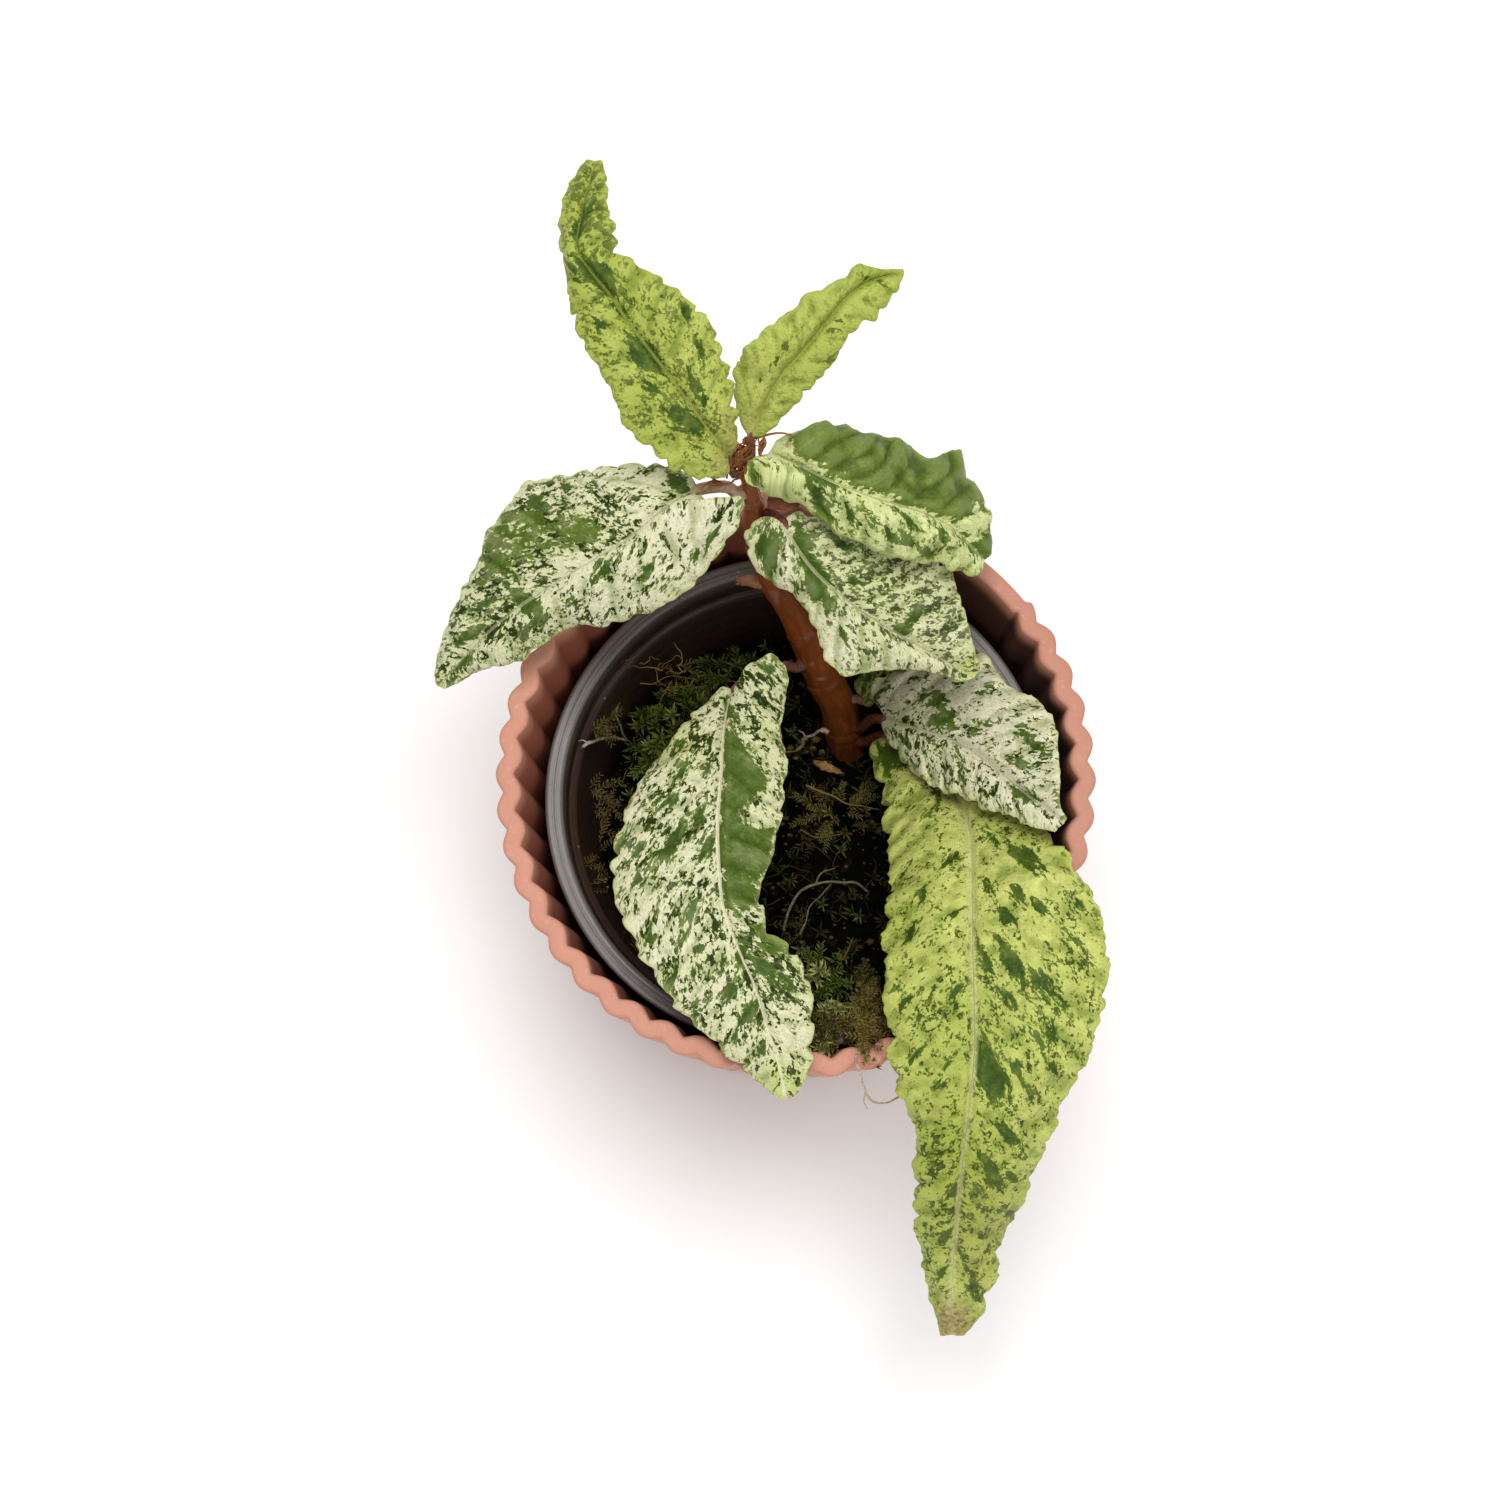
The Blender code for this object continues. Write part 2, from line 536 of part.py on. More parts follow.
# ----------------------------------------------------------------- leaves
ROWS = (0.0, 0.03, 0.07, 0.12, 0.18, 0.25, 0.32, 0.39, 0.46, 0.53, 0.60,
        0.67, 0.74, 0.81, 0.88, 0.94, 0.98, 1.0)
COLS = (-1.0, -0.5, 0.0, 0.5, 1.0)


def petiole_start(node, toward):
    """Where a petiole begins: just clear of the stem, square to it."""
    pts, radii = stem_points(120)
    if node is None:                      # carries on from the stem's end
        axis = (pts[-1] - pts[-3]).normalized()
        return pts[-1] + axis * (GAP + 0.2), axis
    want = place(*node)
    i = min(range(1, len(pts) - 1), key=lambda k: (pts[k] - want).length)
    axis = (pts[i + 1] - pts[i - 1]).normalized()
    out = toward - pts[i]
    out = (out - axis * out.dot(axis)).normalized()
    return pts[i] + out * (radii[i] + 0.22 + GAP + 0.25), out


def leaf(col, name, spec, mat):
    mid = spline([place(*p) for p in spec["mid"]], stops=ROWS)
    left = spline([place(*p) for p in spec["left"]], stops=ROWS)
    right = spline([place(*p) for p in spec["right"]], stops=ROWS)
    # mid surface of the blade
    grid = []
    for i, (l, m, r) in enumerate(zip(left, mid, right)):
        grow = min(1.0, ROWS[i] * 7.0) * min(1.0, (1.0 - ROWS[i]) * 5.0)
        row = []
        for c in COLS:
            f = abs(c)
            p = m.lerp(l if c < 0 else r, f)
            p = p + Vector((0, 0, spec["arch"] * grow * 4.0 * f * (1.0 - f)))
            row.append(p)
        grid.append(row)
    rows, cols = len(grid), len(COLS)
    loops = []
    # petiole rings
    stalk = spec["stalk"]
    toward = place(*(spec["petiole"] + spec["mid"])[0])
    start, out = petiole_start(spec["node"], toward)
    path = [start, start + out * 0.7] + [place(*p) for p in spec["petiole"]] + [mid[0]]
    path = spline(path, 3 + 2 * len(spec["petiole"]) + 1)[:-1]
    half = (cols - 1)
    for p, (s, w) in zip(path, frames(path + [mid[0]])):
        if w.z < 0:
            s, w = -s, -w
        ring = []
        for k in range(2 * cols):
            if k < cols:
                a = math.pi - 0.12 - (math.pi - 0.24) * k / half
            else:
                a = -0.12 - (math.pi - 0.24) * (k - cols) / half
            ring.append(p + (s * math.cos(a) + w * math.sin(a)) * stalk)
        loops.append(ring)
    # blade rings
    for i in range(rows):
        top, low = [], []
        for j in range(cols):
            du = grid[min(i + 1, rows - 1)][j] - grid[max(i - 1, 0)][j]
            dv = grid[i][min(j + 1, cols - 1)] - grid[i][max(j - 1, 0)]
            n = dv.cross(du)
            if n.length < 1e-6 or i < 2:
                n = Vector((0, 0, 1))
            n.normalize()
            if n.z < 0:
                n = -n
            if n.z < 0.35:
                n = (n + Vector((0, 0, 0.6))).normalized()
            edge = 1.0 if 0 < j < cols - 1 else MARGIN / BLADE
            t = BLADE * 0.5 * edge
            if i < 3 and 0 < j < cols - 1:
                t *= 1.7 - 0.35 * i
            top.append(grid[i][j] + n * t)
            low.append(grid[i][j] - n * t)
        loops.append(top + low[::-1])
    # the ring order of the petiole must run the same way as the blade's
    base, first = loops[len(path) - 1], loops[len(path)]
    same = sum((a - b).length for a, b in zip(base, first))
    turned = [list(reversed(lp[:cols])) + list(reversed(lp[cols:])) for lp in loops[:len(path)]]
    other = sum((a - b).length for a, b in zip(turned[-1], first))
    if other < same:
        loops[:len(path)] = turned
    verts, faces = loft(loops)
    return add_object(col, name, mesh_from(name, verts, faces, angle=60.0), mat)


# -------------------------------------------------- stipules, stub, roots
def scale(col, name, spec, mat):
    """A dry pointed scale, cupped along its length."""
    (b, t, half, curl) = spec
    base, tip = place(*b), place(*t)
    along = tip - base
    side = along.cross(Vector((0, 0, 1)))
    if side.length < 1e-3:
        side = Vector((1, 0, 0))
    side.normalize()
    up = side.cross(along).normalized()
    if up.z < 0:
        up = -up
    loops = []
    for i in range(7):
        f = i / 6.0
        w = half * (0.55 + 0.9 * f) * (1.0 - f) ** 0.8 * 1.25 + 0.18
        c = base + along * f + up * curl * 4.0 * f * (1.0 - f)
        top, low = [], []
        for j in range(5):
            s = j / 2.0 - 1.0
            p = c + side * (w * s) - up * (0.35 * w * s * s)
            top.append(p + up * 0.25)
            low.append(p - up * 0.25)
        loops.append(top + low[::-1])
    verts, faces = loft(loops)
    return add_object(col, name, mesh_from(name, verts, faces, angle=50.0), mat)


def terminal_bud(col, mat):
    """The small growing tip between the two top leaves."""
    base = place(740.5, 465, 92.9)
    tip = place(738.5, 453, 97.0)
    path = [base.lerp(tip, f) for f in (0.0, 0.2, 0.45, 0.7, 0.9, 1.0)]
    return add_object(col, "terminal_bud",
                      tube_mesh("terminal_bud", path, (0.34, 0.5, 0.58, 0.52, 0.34, 0.12), 8), mat)


def petiole_stub(col, mat):
    """The dry end of a leaf stalk that has dropped."""
    toward = place(744, 582, 67.6)
    start, out = petiole_start((772, 580, 68.2), toward)
    path = [start.lerp(toward, f) for f in (0.0, 0.35, 0.7, 1.0)]
    return add_object(col, "petiole_stub",
                      tube_mesh("petiole_stub", path, (0.8, 0.72, 0.68, 0.6), 8), mat)


def strand(col, name, spec, mat):
    radius, run = spec
    path = spline([place(*p) for p in run], 9)
    radii = [radius * (1.0 - 0.35 * i / 8.0) for i in range(9)]
    return add_object(col, name, tube_mesh(name, path, radii, 6), mat)


def clump(col, name, spec, mat):
    (u, v), half_w, half_d, z, height = spec
    centre = place(u, v, z)
    around = 18
    loops = []
    for i, (f, h) in enumerate(((0.92, 0.0), (1.0, 0.22), (0.88, 0.55), (0.62, 0.85), (0.26, 1.0))):
        loop = []
        for k in range(around):
            a = 2 * math.pi * k / around
            edge = f * (1.0 + 0.10 * math.sin(3 * a + len(name)) + 0.06 * math.cos(5 * a))
            x = centre.x + half_w * edge * math.cos(a)
            y = centre.y + half_d * edge * math.sin(a)
            lift = 0.0 if i == 0 else 0.35 * bump(x, y, 2.2)
            loop.append((x, y, z + height * h + lift))
        loops.append(loop)
    verts, faces = loft(loops)
    return add_object(col, name, mesh_from(name, verts, faces), mat)


def moss_over_rim(col, mat):
    """A straggling tuft that climbs the front wall and leans over the rims."""
    run = ((866, 968, 36.5, 2.2), (867, 980, 44.0, 2.0), (867, 991, 51.0, 1.7),
           (866, 1005, 58.2, 1.5), (867, 1026, 64.5, 1.2), (869, 1050, 70.2, 1.2),
           (872, 1065, 70.2, 1.0), (874, 1078, 69.8, 0.6))
    pts = spline([place(*p[:3]) for p in run], 14)
    radii = [p.x for p in spline([(p[3], 0.0, i * 5.0) for i, p in enumerate(run)], 14)]
    return add_object(col, "moss_over_rim", tube_mesh("moss_over_rim", pts, radii, 9), mat)


def leaf_litter(col, mat):
    """A withered scrap of leaf lying on the moss by the stem."""
    run = ((813, 762, 34.8), (822, 766, 35.3), (832, 770, 35.3), (842, 774, 34.9))
    path = spline([place(*p) for p in run], 7)
    loops = []
    for i, (p, (s, w)) in enumerate(zip(path, frames(path))):
        half = (0.3, 0.7, 0.95, 1.0, 0.85, 0.6, 0.25)[i]
        up = Vector((0, 0, 1))
        top = [p + s * half * q + up * (0.25 + 0.25 * q * q) for q in (-1.0, -0.4, 0.4, 1.0)]
        low = [q - up * 0.5 for q in reversed(top)]
        loops.append(top + low)
    verts, faces = loft(loops)
    return add_object(col, "leaf_litter", mesh_from("leaf_litter", verts, faces), mat)


# ------------------------------------------------------------------ build
cutters_mat = []


def main():
    clear_scene()
    parts = collection("potted_pellionia")
    cutters = collection("cutters")
    m = {
        "cover": material("cover_pot_terracotta_pink", (0.66, 0.28, 0.20), 0.62),
        "nursery": material("nursery_pot_smoke", (0.10, 0.09, 0.085), 0.35),
        "mix": material("growing_mix", (0.035, 0.022, 0.015), 0.95),
        "moss": material("moss_green", (0.10, 0.16, 0.03), 0.9),
        "moss_dry": material("moss_brown", (0.20, 0.13, 0.04), 0.9),
        "stem": material("stem_brown", (0.20, 0.065, 0.03), 0.45),
        "lime": material("leaf_lime", (0.47, 0.60, 0.10), 0.45),
        "cream": material("leaf_cream", (0.62, 0.66, 0.42), 0.45),
        "green": material("leaf_green", (0.12, 0.24, 0.05), 0.40),
        "dry": material("dry_scale", (0.25, 0.11, 0.03), 0.7),
        "root": material("root_pale", (0.55, 0.45, 0.30), 0.7),
        "cutter": material("cutter", (0.8, 0.1, 0.1), 0.5),
    }
    cutters_mat.append(m["cutter"])

    cover_pot(parts, m["cover"])
    nursery_pot(parts, cutters, m["nursery"])

    mix_low = POT_FLOOR + GAP + NP_WALL + GAP
    inner = GAP + 0.35
    mix = add_object(parts, "growing_mix", disc_solid(
        "growing_mix", NP_X, NP_Y, (wall_radius(mix_low) - inner - 1.6, mix_low),
        (wall_radius(MIX_TOP) - inner, MIX_TOP - 1.0), MIX_TOP - 0.6, 0.5), m["mix"])
    stem_hole(mix, cutters, "stem_cutter_mix")
    mat_low = MIX_TOP + GAP
    moss = add_object(parts, "moss_mat", disc_solid(
        "moss_mat", NP_X, NP_Y, (wall_radius(mat_low) - inner, mat_low),
        (wall_radius(MOSS_TOP - 1.0) - inner, MOSS_TOP - 0.8), MOSS_TOP, 0.45), m["moss"])
    stem_hole(moss, cutters, "stem_cutter_moss")

    stem(parts, m["stem"])
    colours = {"leaf_top_left": "lime", "leaf_top_right": "lime", "leaf_front_right": "lime",
               "leaf_small_under": "green", "leaf_right_upper": "green"}
    for name, spec in LEAVES.items():
        leaf(parts, name, spec, m[colours.get(name, "cream")])
    for name, spec in SCALES.items():
        scale(parts, name, spec, m["dry"])
    terminal_bud(parts, m["dry"])
    petiole_stub(parts, m["dry"])
    for name, spec in CLUMPS.items():
        clump(parts, name, spec, m["moss_dry" if "brown" in name else "moss"])
    moss_over_rim(parts, m["moss_dry"])
    leaf_litter(parts, m["dry"])
    for name, spec in STRANDS.items():
        strand(parts, name, spec, m["root"])


main()
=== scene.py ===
"""Looks of the potted pellionia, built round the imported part.

Lengths in the tables are millimetres, +Z up, -Y is the front.  The leaves,
stem and loose strands follow the same plan sheet as the part itself.
"""

import json
import math

import bmesh
import bpy
import numpy as np
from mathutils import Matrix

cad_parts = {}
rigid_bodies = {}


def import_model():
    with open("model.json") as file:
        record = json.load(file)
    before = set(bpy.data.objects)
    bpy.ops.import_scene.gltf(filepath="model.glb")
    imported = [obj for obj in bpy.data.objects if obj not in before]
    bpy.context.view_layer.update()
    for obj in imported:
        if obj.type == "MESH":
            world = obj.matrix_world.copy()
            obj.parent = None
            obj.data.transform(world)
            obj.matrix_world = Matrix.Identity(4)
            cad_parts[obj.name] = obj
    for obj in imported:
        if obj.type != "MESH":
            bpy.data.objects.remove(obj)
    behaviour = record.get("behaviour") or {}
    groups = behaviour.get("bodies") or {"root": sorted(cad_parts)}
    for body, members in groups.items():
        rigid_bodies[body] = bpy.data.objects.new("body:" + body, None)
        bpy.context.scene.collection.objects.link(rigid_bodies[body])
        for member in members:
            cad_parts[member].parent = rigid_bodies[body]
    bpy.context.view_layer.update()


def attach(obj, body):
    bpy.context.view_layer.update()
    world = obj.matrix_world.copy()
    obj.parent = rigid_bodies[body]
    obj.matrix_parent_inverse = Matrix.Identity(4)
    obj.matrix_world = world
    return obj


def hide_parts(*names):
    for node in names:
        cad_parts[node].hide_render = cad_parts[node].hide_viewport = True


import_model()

for ob in list(bpy.data.objects):
    if ob.type in {"CAMERA", "LIGHT"} or ob.name == "Cube":
        bpy.data.objects.remove(ob, do_unlink=True)

MM = 0.001

# ------------------------------------------------------- plan sheet of the plant
SIGHT = np.array([-6.1, -63.0, 381.0])
SHEET_TILT = math.radians(78.0)
SHEET_DIST = 2399.0
SHEET_MID = 750.0
LOOK = np.array([0.0, math.cos(SHEET_TILT), -math.sin(SHEET_TILT)])
ACROSS = np.array([1.0, 0.0, 0.0])
UPWARD = np.cross(ACROSS, LOOK)


def place(u, v, z):
    """Sheet point (u, v) at height z mm, as a point in mm."""
    ray = LOOK * SHEET_DIST + ACROSS * (u - SHEET_MID) - UPWARD * (v - SHEET_MID)
    return SIGHT + ray * ((z - SIGHT[2]) / ray[2])


def sheet(points):
    """Sheet coordinates of points in mm, shape (..., 3) to (..., 2)."""
    d = np.asarray(points, float) - SIGHT
    depth = d @ LOOK
    return np.stack([SHEET_MID + SHEET_DIST * (d @ ACROSS) / depth,
                     SHEET_MID - SHEET_DIST * (d @ UPWARD) / depth], -1)


def run_of(points):
    return np.array([place(*p[:3]) for p in points])


# ------------------------------------------------------------ numbers and noise
def spline(points, count=None, stops=None, sub=24):
    """Points at the given fractions of its length on a smooth curve through
    the given points."""
    pts = np.asarray(points, float)
    before = np.vstack([pts[:1] * 2 - pts[1:2], pts[:-1]])[:len(pts) - 1]
    p1, p2 = pts[:-1], pts[1:]
    after = np.vstack([pts[2:], pts[-1:] * 2 - pts[-2:-1]])
    dense = []
    for i in range(len(p1)):
        t = (np.arange(sub) / sub)[:, None]
        dense.append(0.5 * (2 * p1[i] + (p2[i] - before[i]) * t
                            + (2 * before[i] - 5 * p1[i] + 4 * p2[i] - after[i]) * t * t
                            + (3 * p1[i] - before[i] - 3 * p2[i] + after[i]) * t ** 3))
    dense = np.vstack(dense + [pts[-1:]])
    run = np.concatenate([[0.0], np.cumsum(np.linalg.norm(np.diff(dense, axis=0), axis=1))])
    if stops is None:
        stops = np.linspace(0.0, 1.0, count)
    want = np.asarray(stops) * run[-1]
    return np.stack([np.interp(want, run, dense[:, k]) for k in range(dense.shape[1])], -1)


def length_of(path):
    return np.concatenate([[0.0], np.cumsum(np.linalg.norm(np.diff(path, axis=0), axis=1))])


def unit(v):
    return v / np.maximum(np.linalg.norm(v, axis=-1, keepdims=True), 1e-9)


def smooth(a, b, x):
    t = np.clip((x - a) / (b - a), 0.0, 1.0)
    return t * t * (3 - 2 * t)


def lattice(ix, iy, seed):
    """A fixed value from 0 to 1 for each whole-number place."""
    h = (ix.astype(np.int64) * 374761393 + iy.astype(np.int64) * 668265263
         + seed * 2147483647 + 1013904223) & 0xFFFFFFFF
    h = ((h ^ (h >> 13)) * 1274126177) & 0xFFFFFFFF
    h = ((h ^ (h >> 16)) * 2246822519) & 0xFFFFFFFF
    return ((h ^ (h >> 15)) & 0xFFFFFF) / float(0xFFFFFF)


def noise2(x, y, seed=0):
    """Smooth noise from -1 to 1 with features one unit across."""
    x, y = np.asarray(x, float), np.asarray(y, float)
    ix, iy = np.floor(x), np.floor(y)
    fx, fy = x - ix, y - iy
    fx, fy = fx * fx * (3 - 2 * fx), fy * fy * (3 - 2 * fy)
    a = lattice(ix, iy, seed) * (1 - fx) + lattice(ix + 1, iy, seed) * fx
    b = lattice(ix, iy + 1, seed) * (1 - fx) + lattice(ix + 1, iy + 1, seed) * fx
    return 2.0 * (a * (1 - fy) + b * fy) - 1.0


def fractal(x, y, seed=0, octaves=3, fall=0.5):
    total, amp = 0.0, 1.0
    for k in range(octaves):
        total = total + amp * noise2(x * 2 ** k + 17.3 * k, y * 2 ** k - 9.1 * k, seed + k)
        amp *= fall
    return total


# ----------------------------------------------------------------- mesh making
def grid_faces(rows, cols, first=0, closed=False, flip=False):
    """Quads of a grid whose points run along columns first."""
    i, j = np.meshgrid(np.arange(rows - 1), np.arange(cols if closed else cols - 1),
                       indexing="ij")
    a = first + i * cols + j
    b = first + i * cols + (j + 1) % cols
    q = np.stack([a, b, b + cols, a + cols], -1).reshape(-1, 4)
    return q[:, ::-1] if flip else q


def build(name, verts, quads=(), tris=(), attrs=None, smooth_angle=60.0, mat=None):
    """An object from points in mm and arrays of faces."""
    verts = np.asarray(verts, float)
    quads = np.asarray(quads, np.int64).reshape(-1, 4)
    tris = np.asarray(tris, np.int64).reshape(-1, 3)
    me = bpy.data.meshes.new(name)
    me.vertices.add(len(verts))
    me.vertices.foreach_set("co", (verts * MM).astype(np.float32).ravel())
    loops = np.concatenate([quads.ravel(), tris.ravel()]).astype(np.int32)
    me.loops.add(len(loops))
    me.loops.foreach_set("vertex_index", loops)
    starts = np.concatenate([np.arange(len(quads)) * 4,
                             len(quads) * 4 + np.arange(len(tris)) * 3]).astype(np.int32)
    me.polygons.add(len(starts))
    me.polygons.foreach_set("loop_start", starts)
    me.update(calc_edges=True)
    me.validate()
    for key, value in (attrs or {}).items():
        value = np.asarray(value, np.float32)
        if value.ndim == 2:
            at = me.attributes.new(key, "FLOAT_VECTOR", "POINT")
            at.data.foreach_set("vector", value.ravel())
        else:
            at = me.attributes.new(key, "FLOAT", "POINT")
            at.data.foreach_set("value", value)
    me.shade_smooth()
    if smooth_angle:
        me.set_sharp_from_angle(angle=math.radians(smooth_angle))
    ob = bpy.data.objects.new(name, me)
    bpy.context.scene.collection.objects.link(ob)
    if mat is not None:
        me.materials.append(mat)
    return ob


class Heap:
    """Many small closed shapes gathered into one mesh."""

    def __init__(self):
        self.verts, self.quads, self.tris, self.at = [], [], [], {}
        self.count = 0

    def add(self, verts, quads=(), tris=(), **attrs):
        verts = np.asarray(verts, float)
        if len(quads):
            self.quads.append(np.asarray(quads) + self.count)
        if len(tris):
            self.tris.append(np.asarray(tris) + self.count)
        self.verts.append(verts)
        self.count += len(verts)
        for k, v in attrs.items():
            self.at.setdefault(k, []).append(np.broadcast_to(v, (len(verts),)).astype(float))

    def finish(self, name, mat, smooth_angle=60.0):
        return build(name, np.vstack(self.verts),
                     np.vstack(self.quads) if self.quads else (),
                     np.vstack(self.tris) if self.tris else (),
                     {k: np.concatenate(v) for k, v in self.at.items()},
                     smooth_angle, mat)


def carried(path):
    """A side and an up vector at each point of a path, without twist."""
    t = unit(np.gradient(path, axis=0))
    side = np.cross([0.0, 0.0, 1.0], t[0])
    if np.linalg.norm(side) < 0.2:
        side = np.cross([0.0, 1.0, 0.0], t[0])
    sides, ups = [], []
    for k in range(len(path)):
        side = unit(side - t[k] * np.dot(side, t[k]))
        sides.append(side)
        ups.append(np.cross(t[k], side))
    return np.array(sides), np.array(ups), t


def tube(path, radii, sides=8, flat=1.0, shape=None):
    """Points and faces of a closed tube; shape(angle, index) scales it."""
    path = np.asarray(path, float)
    s, w, t = carried(path)
    ang = 2 * math.pi * np.arange(sides) / sides
    r = np.broadcast_to(np.asarray(radii, float), (len(path),))[:, None] * np.ones(sides)
    if shape is not None:
        r = r * shape(ang[None, :], np.arange(len(path))[:, None])
    ring = (s[:, None, :] * (np.cos(ang)[None, :, None] * r[..., None])
            + w[:, None, :] * (np.sin(ang)[None, :, None] * r[..., None] * flat))
    verts = (path[:, None, :] + ring).reshape(-1, 3)
    n = len(path)
    quads = grid_faces(n, sides, closed=True)
    ends = np.vstack([path[0] - t[0] * radii_at(radii, 0) * 0.35,
                      path[-1] + t[-1] * radii_at(radii, -1) * 0.35])
    j = np.arange(sides)
    k = (j + 1) % sides
    base = n * sides
    tris = np.vstack([np.stack([np.full(sides, base), k, j], -1),
                      np.stack([np.full(sides, base + 1), (n - 1) * sides + j,
                                (n - 1) * sides + k], -1)])
    return np.vstack([verts, ends]), quads, tris


def radii_at(radii, k):
    return float(np.atleast_1d(np.asarray(radii, float))[k if np.ndim(radii) else 0])


def blade(base, along, up, long, wide, fold=0.25, bend=0.0, rows=5):
    """A small closed moss leaf or scale: a folded spindle."""
    along = unit(np.asarray(along, float))
    side = unit(np.cross(along, up))
    up = np.cross(side, along)
    f = np.linspace(0.0, 1.0, rows)
    w = wide * np.sin(math.pi * np.clip(0.12 + 0.88 * f, 0, 1)) ** 0.8 * 0.5 + 0.012
    c = base + along * (f * long)[:, None] + up * (bend * long * f * f)[:, None]
    left = c - side * w[:, None] + up * (fold * w)[:, None]
    right = c + side * w[:, None] + up * (fold * w)[:, None]
    low = c - up * (0.16 * w + 0.02)[:, None]
    verts = np.stack([left, right, low], 1).reshape(-1, 3)
    quads = grid_faces(rows, 3, closed=True)
    n = len(verts)
    return verts, quads, np.array([[0, 2, 1], [n - 3, n - 2, n - 1]])


# stem: u, v, z, radius
STEM = (
    (851, 762, 22.0, 2.7),
    (848, 752, 30.0, 2.9),
    (843, 728, 36.5, 2.8),
    (838, 705, 41.5, 2.75),
    (826, 682, 46.5, 2.6),
    (815, 660, 51.5, 2.45),
    (798, 620, 59.5, 2.2),
    (777, 587, 66.5, 2.0),
    (762, 558, 73.0, 1.8),
    (754, 530, 78.6, 1.55),
    (754, 506, 83.6, 1.35),
    (749, 484, 87.6, 1.2),
    (746, 469, 90.4, 0.9),
)

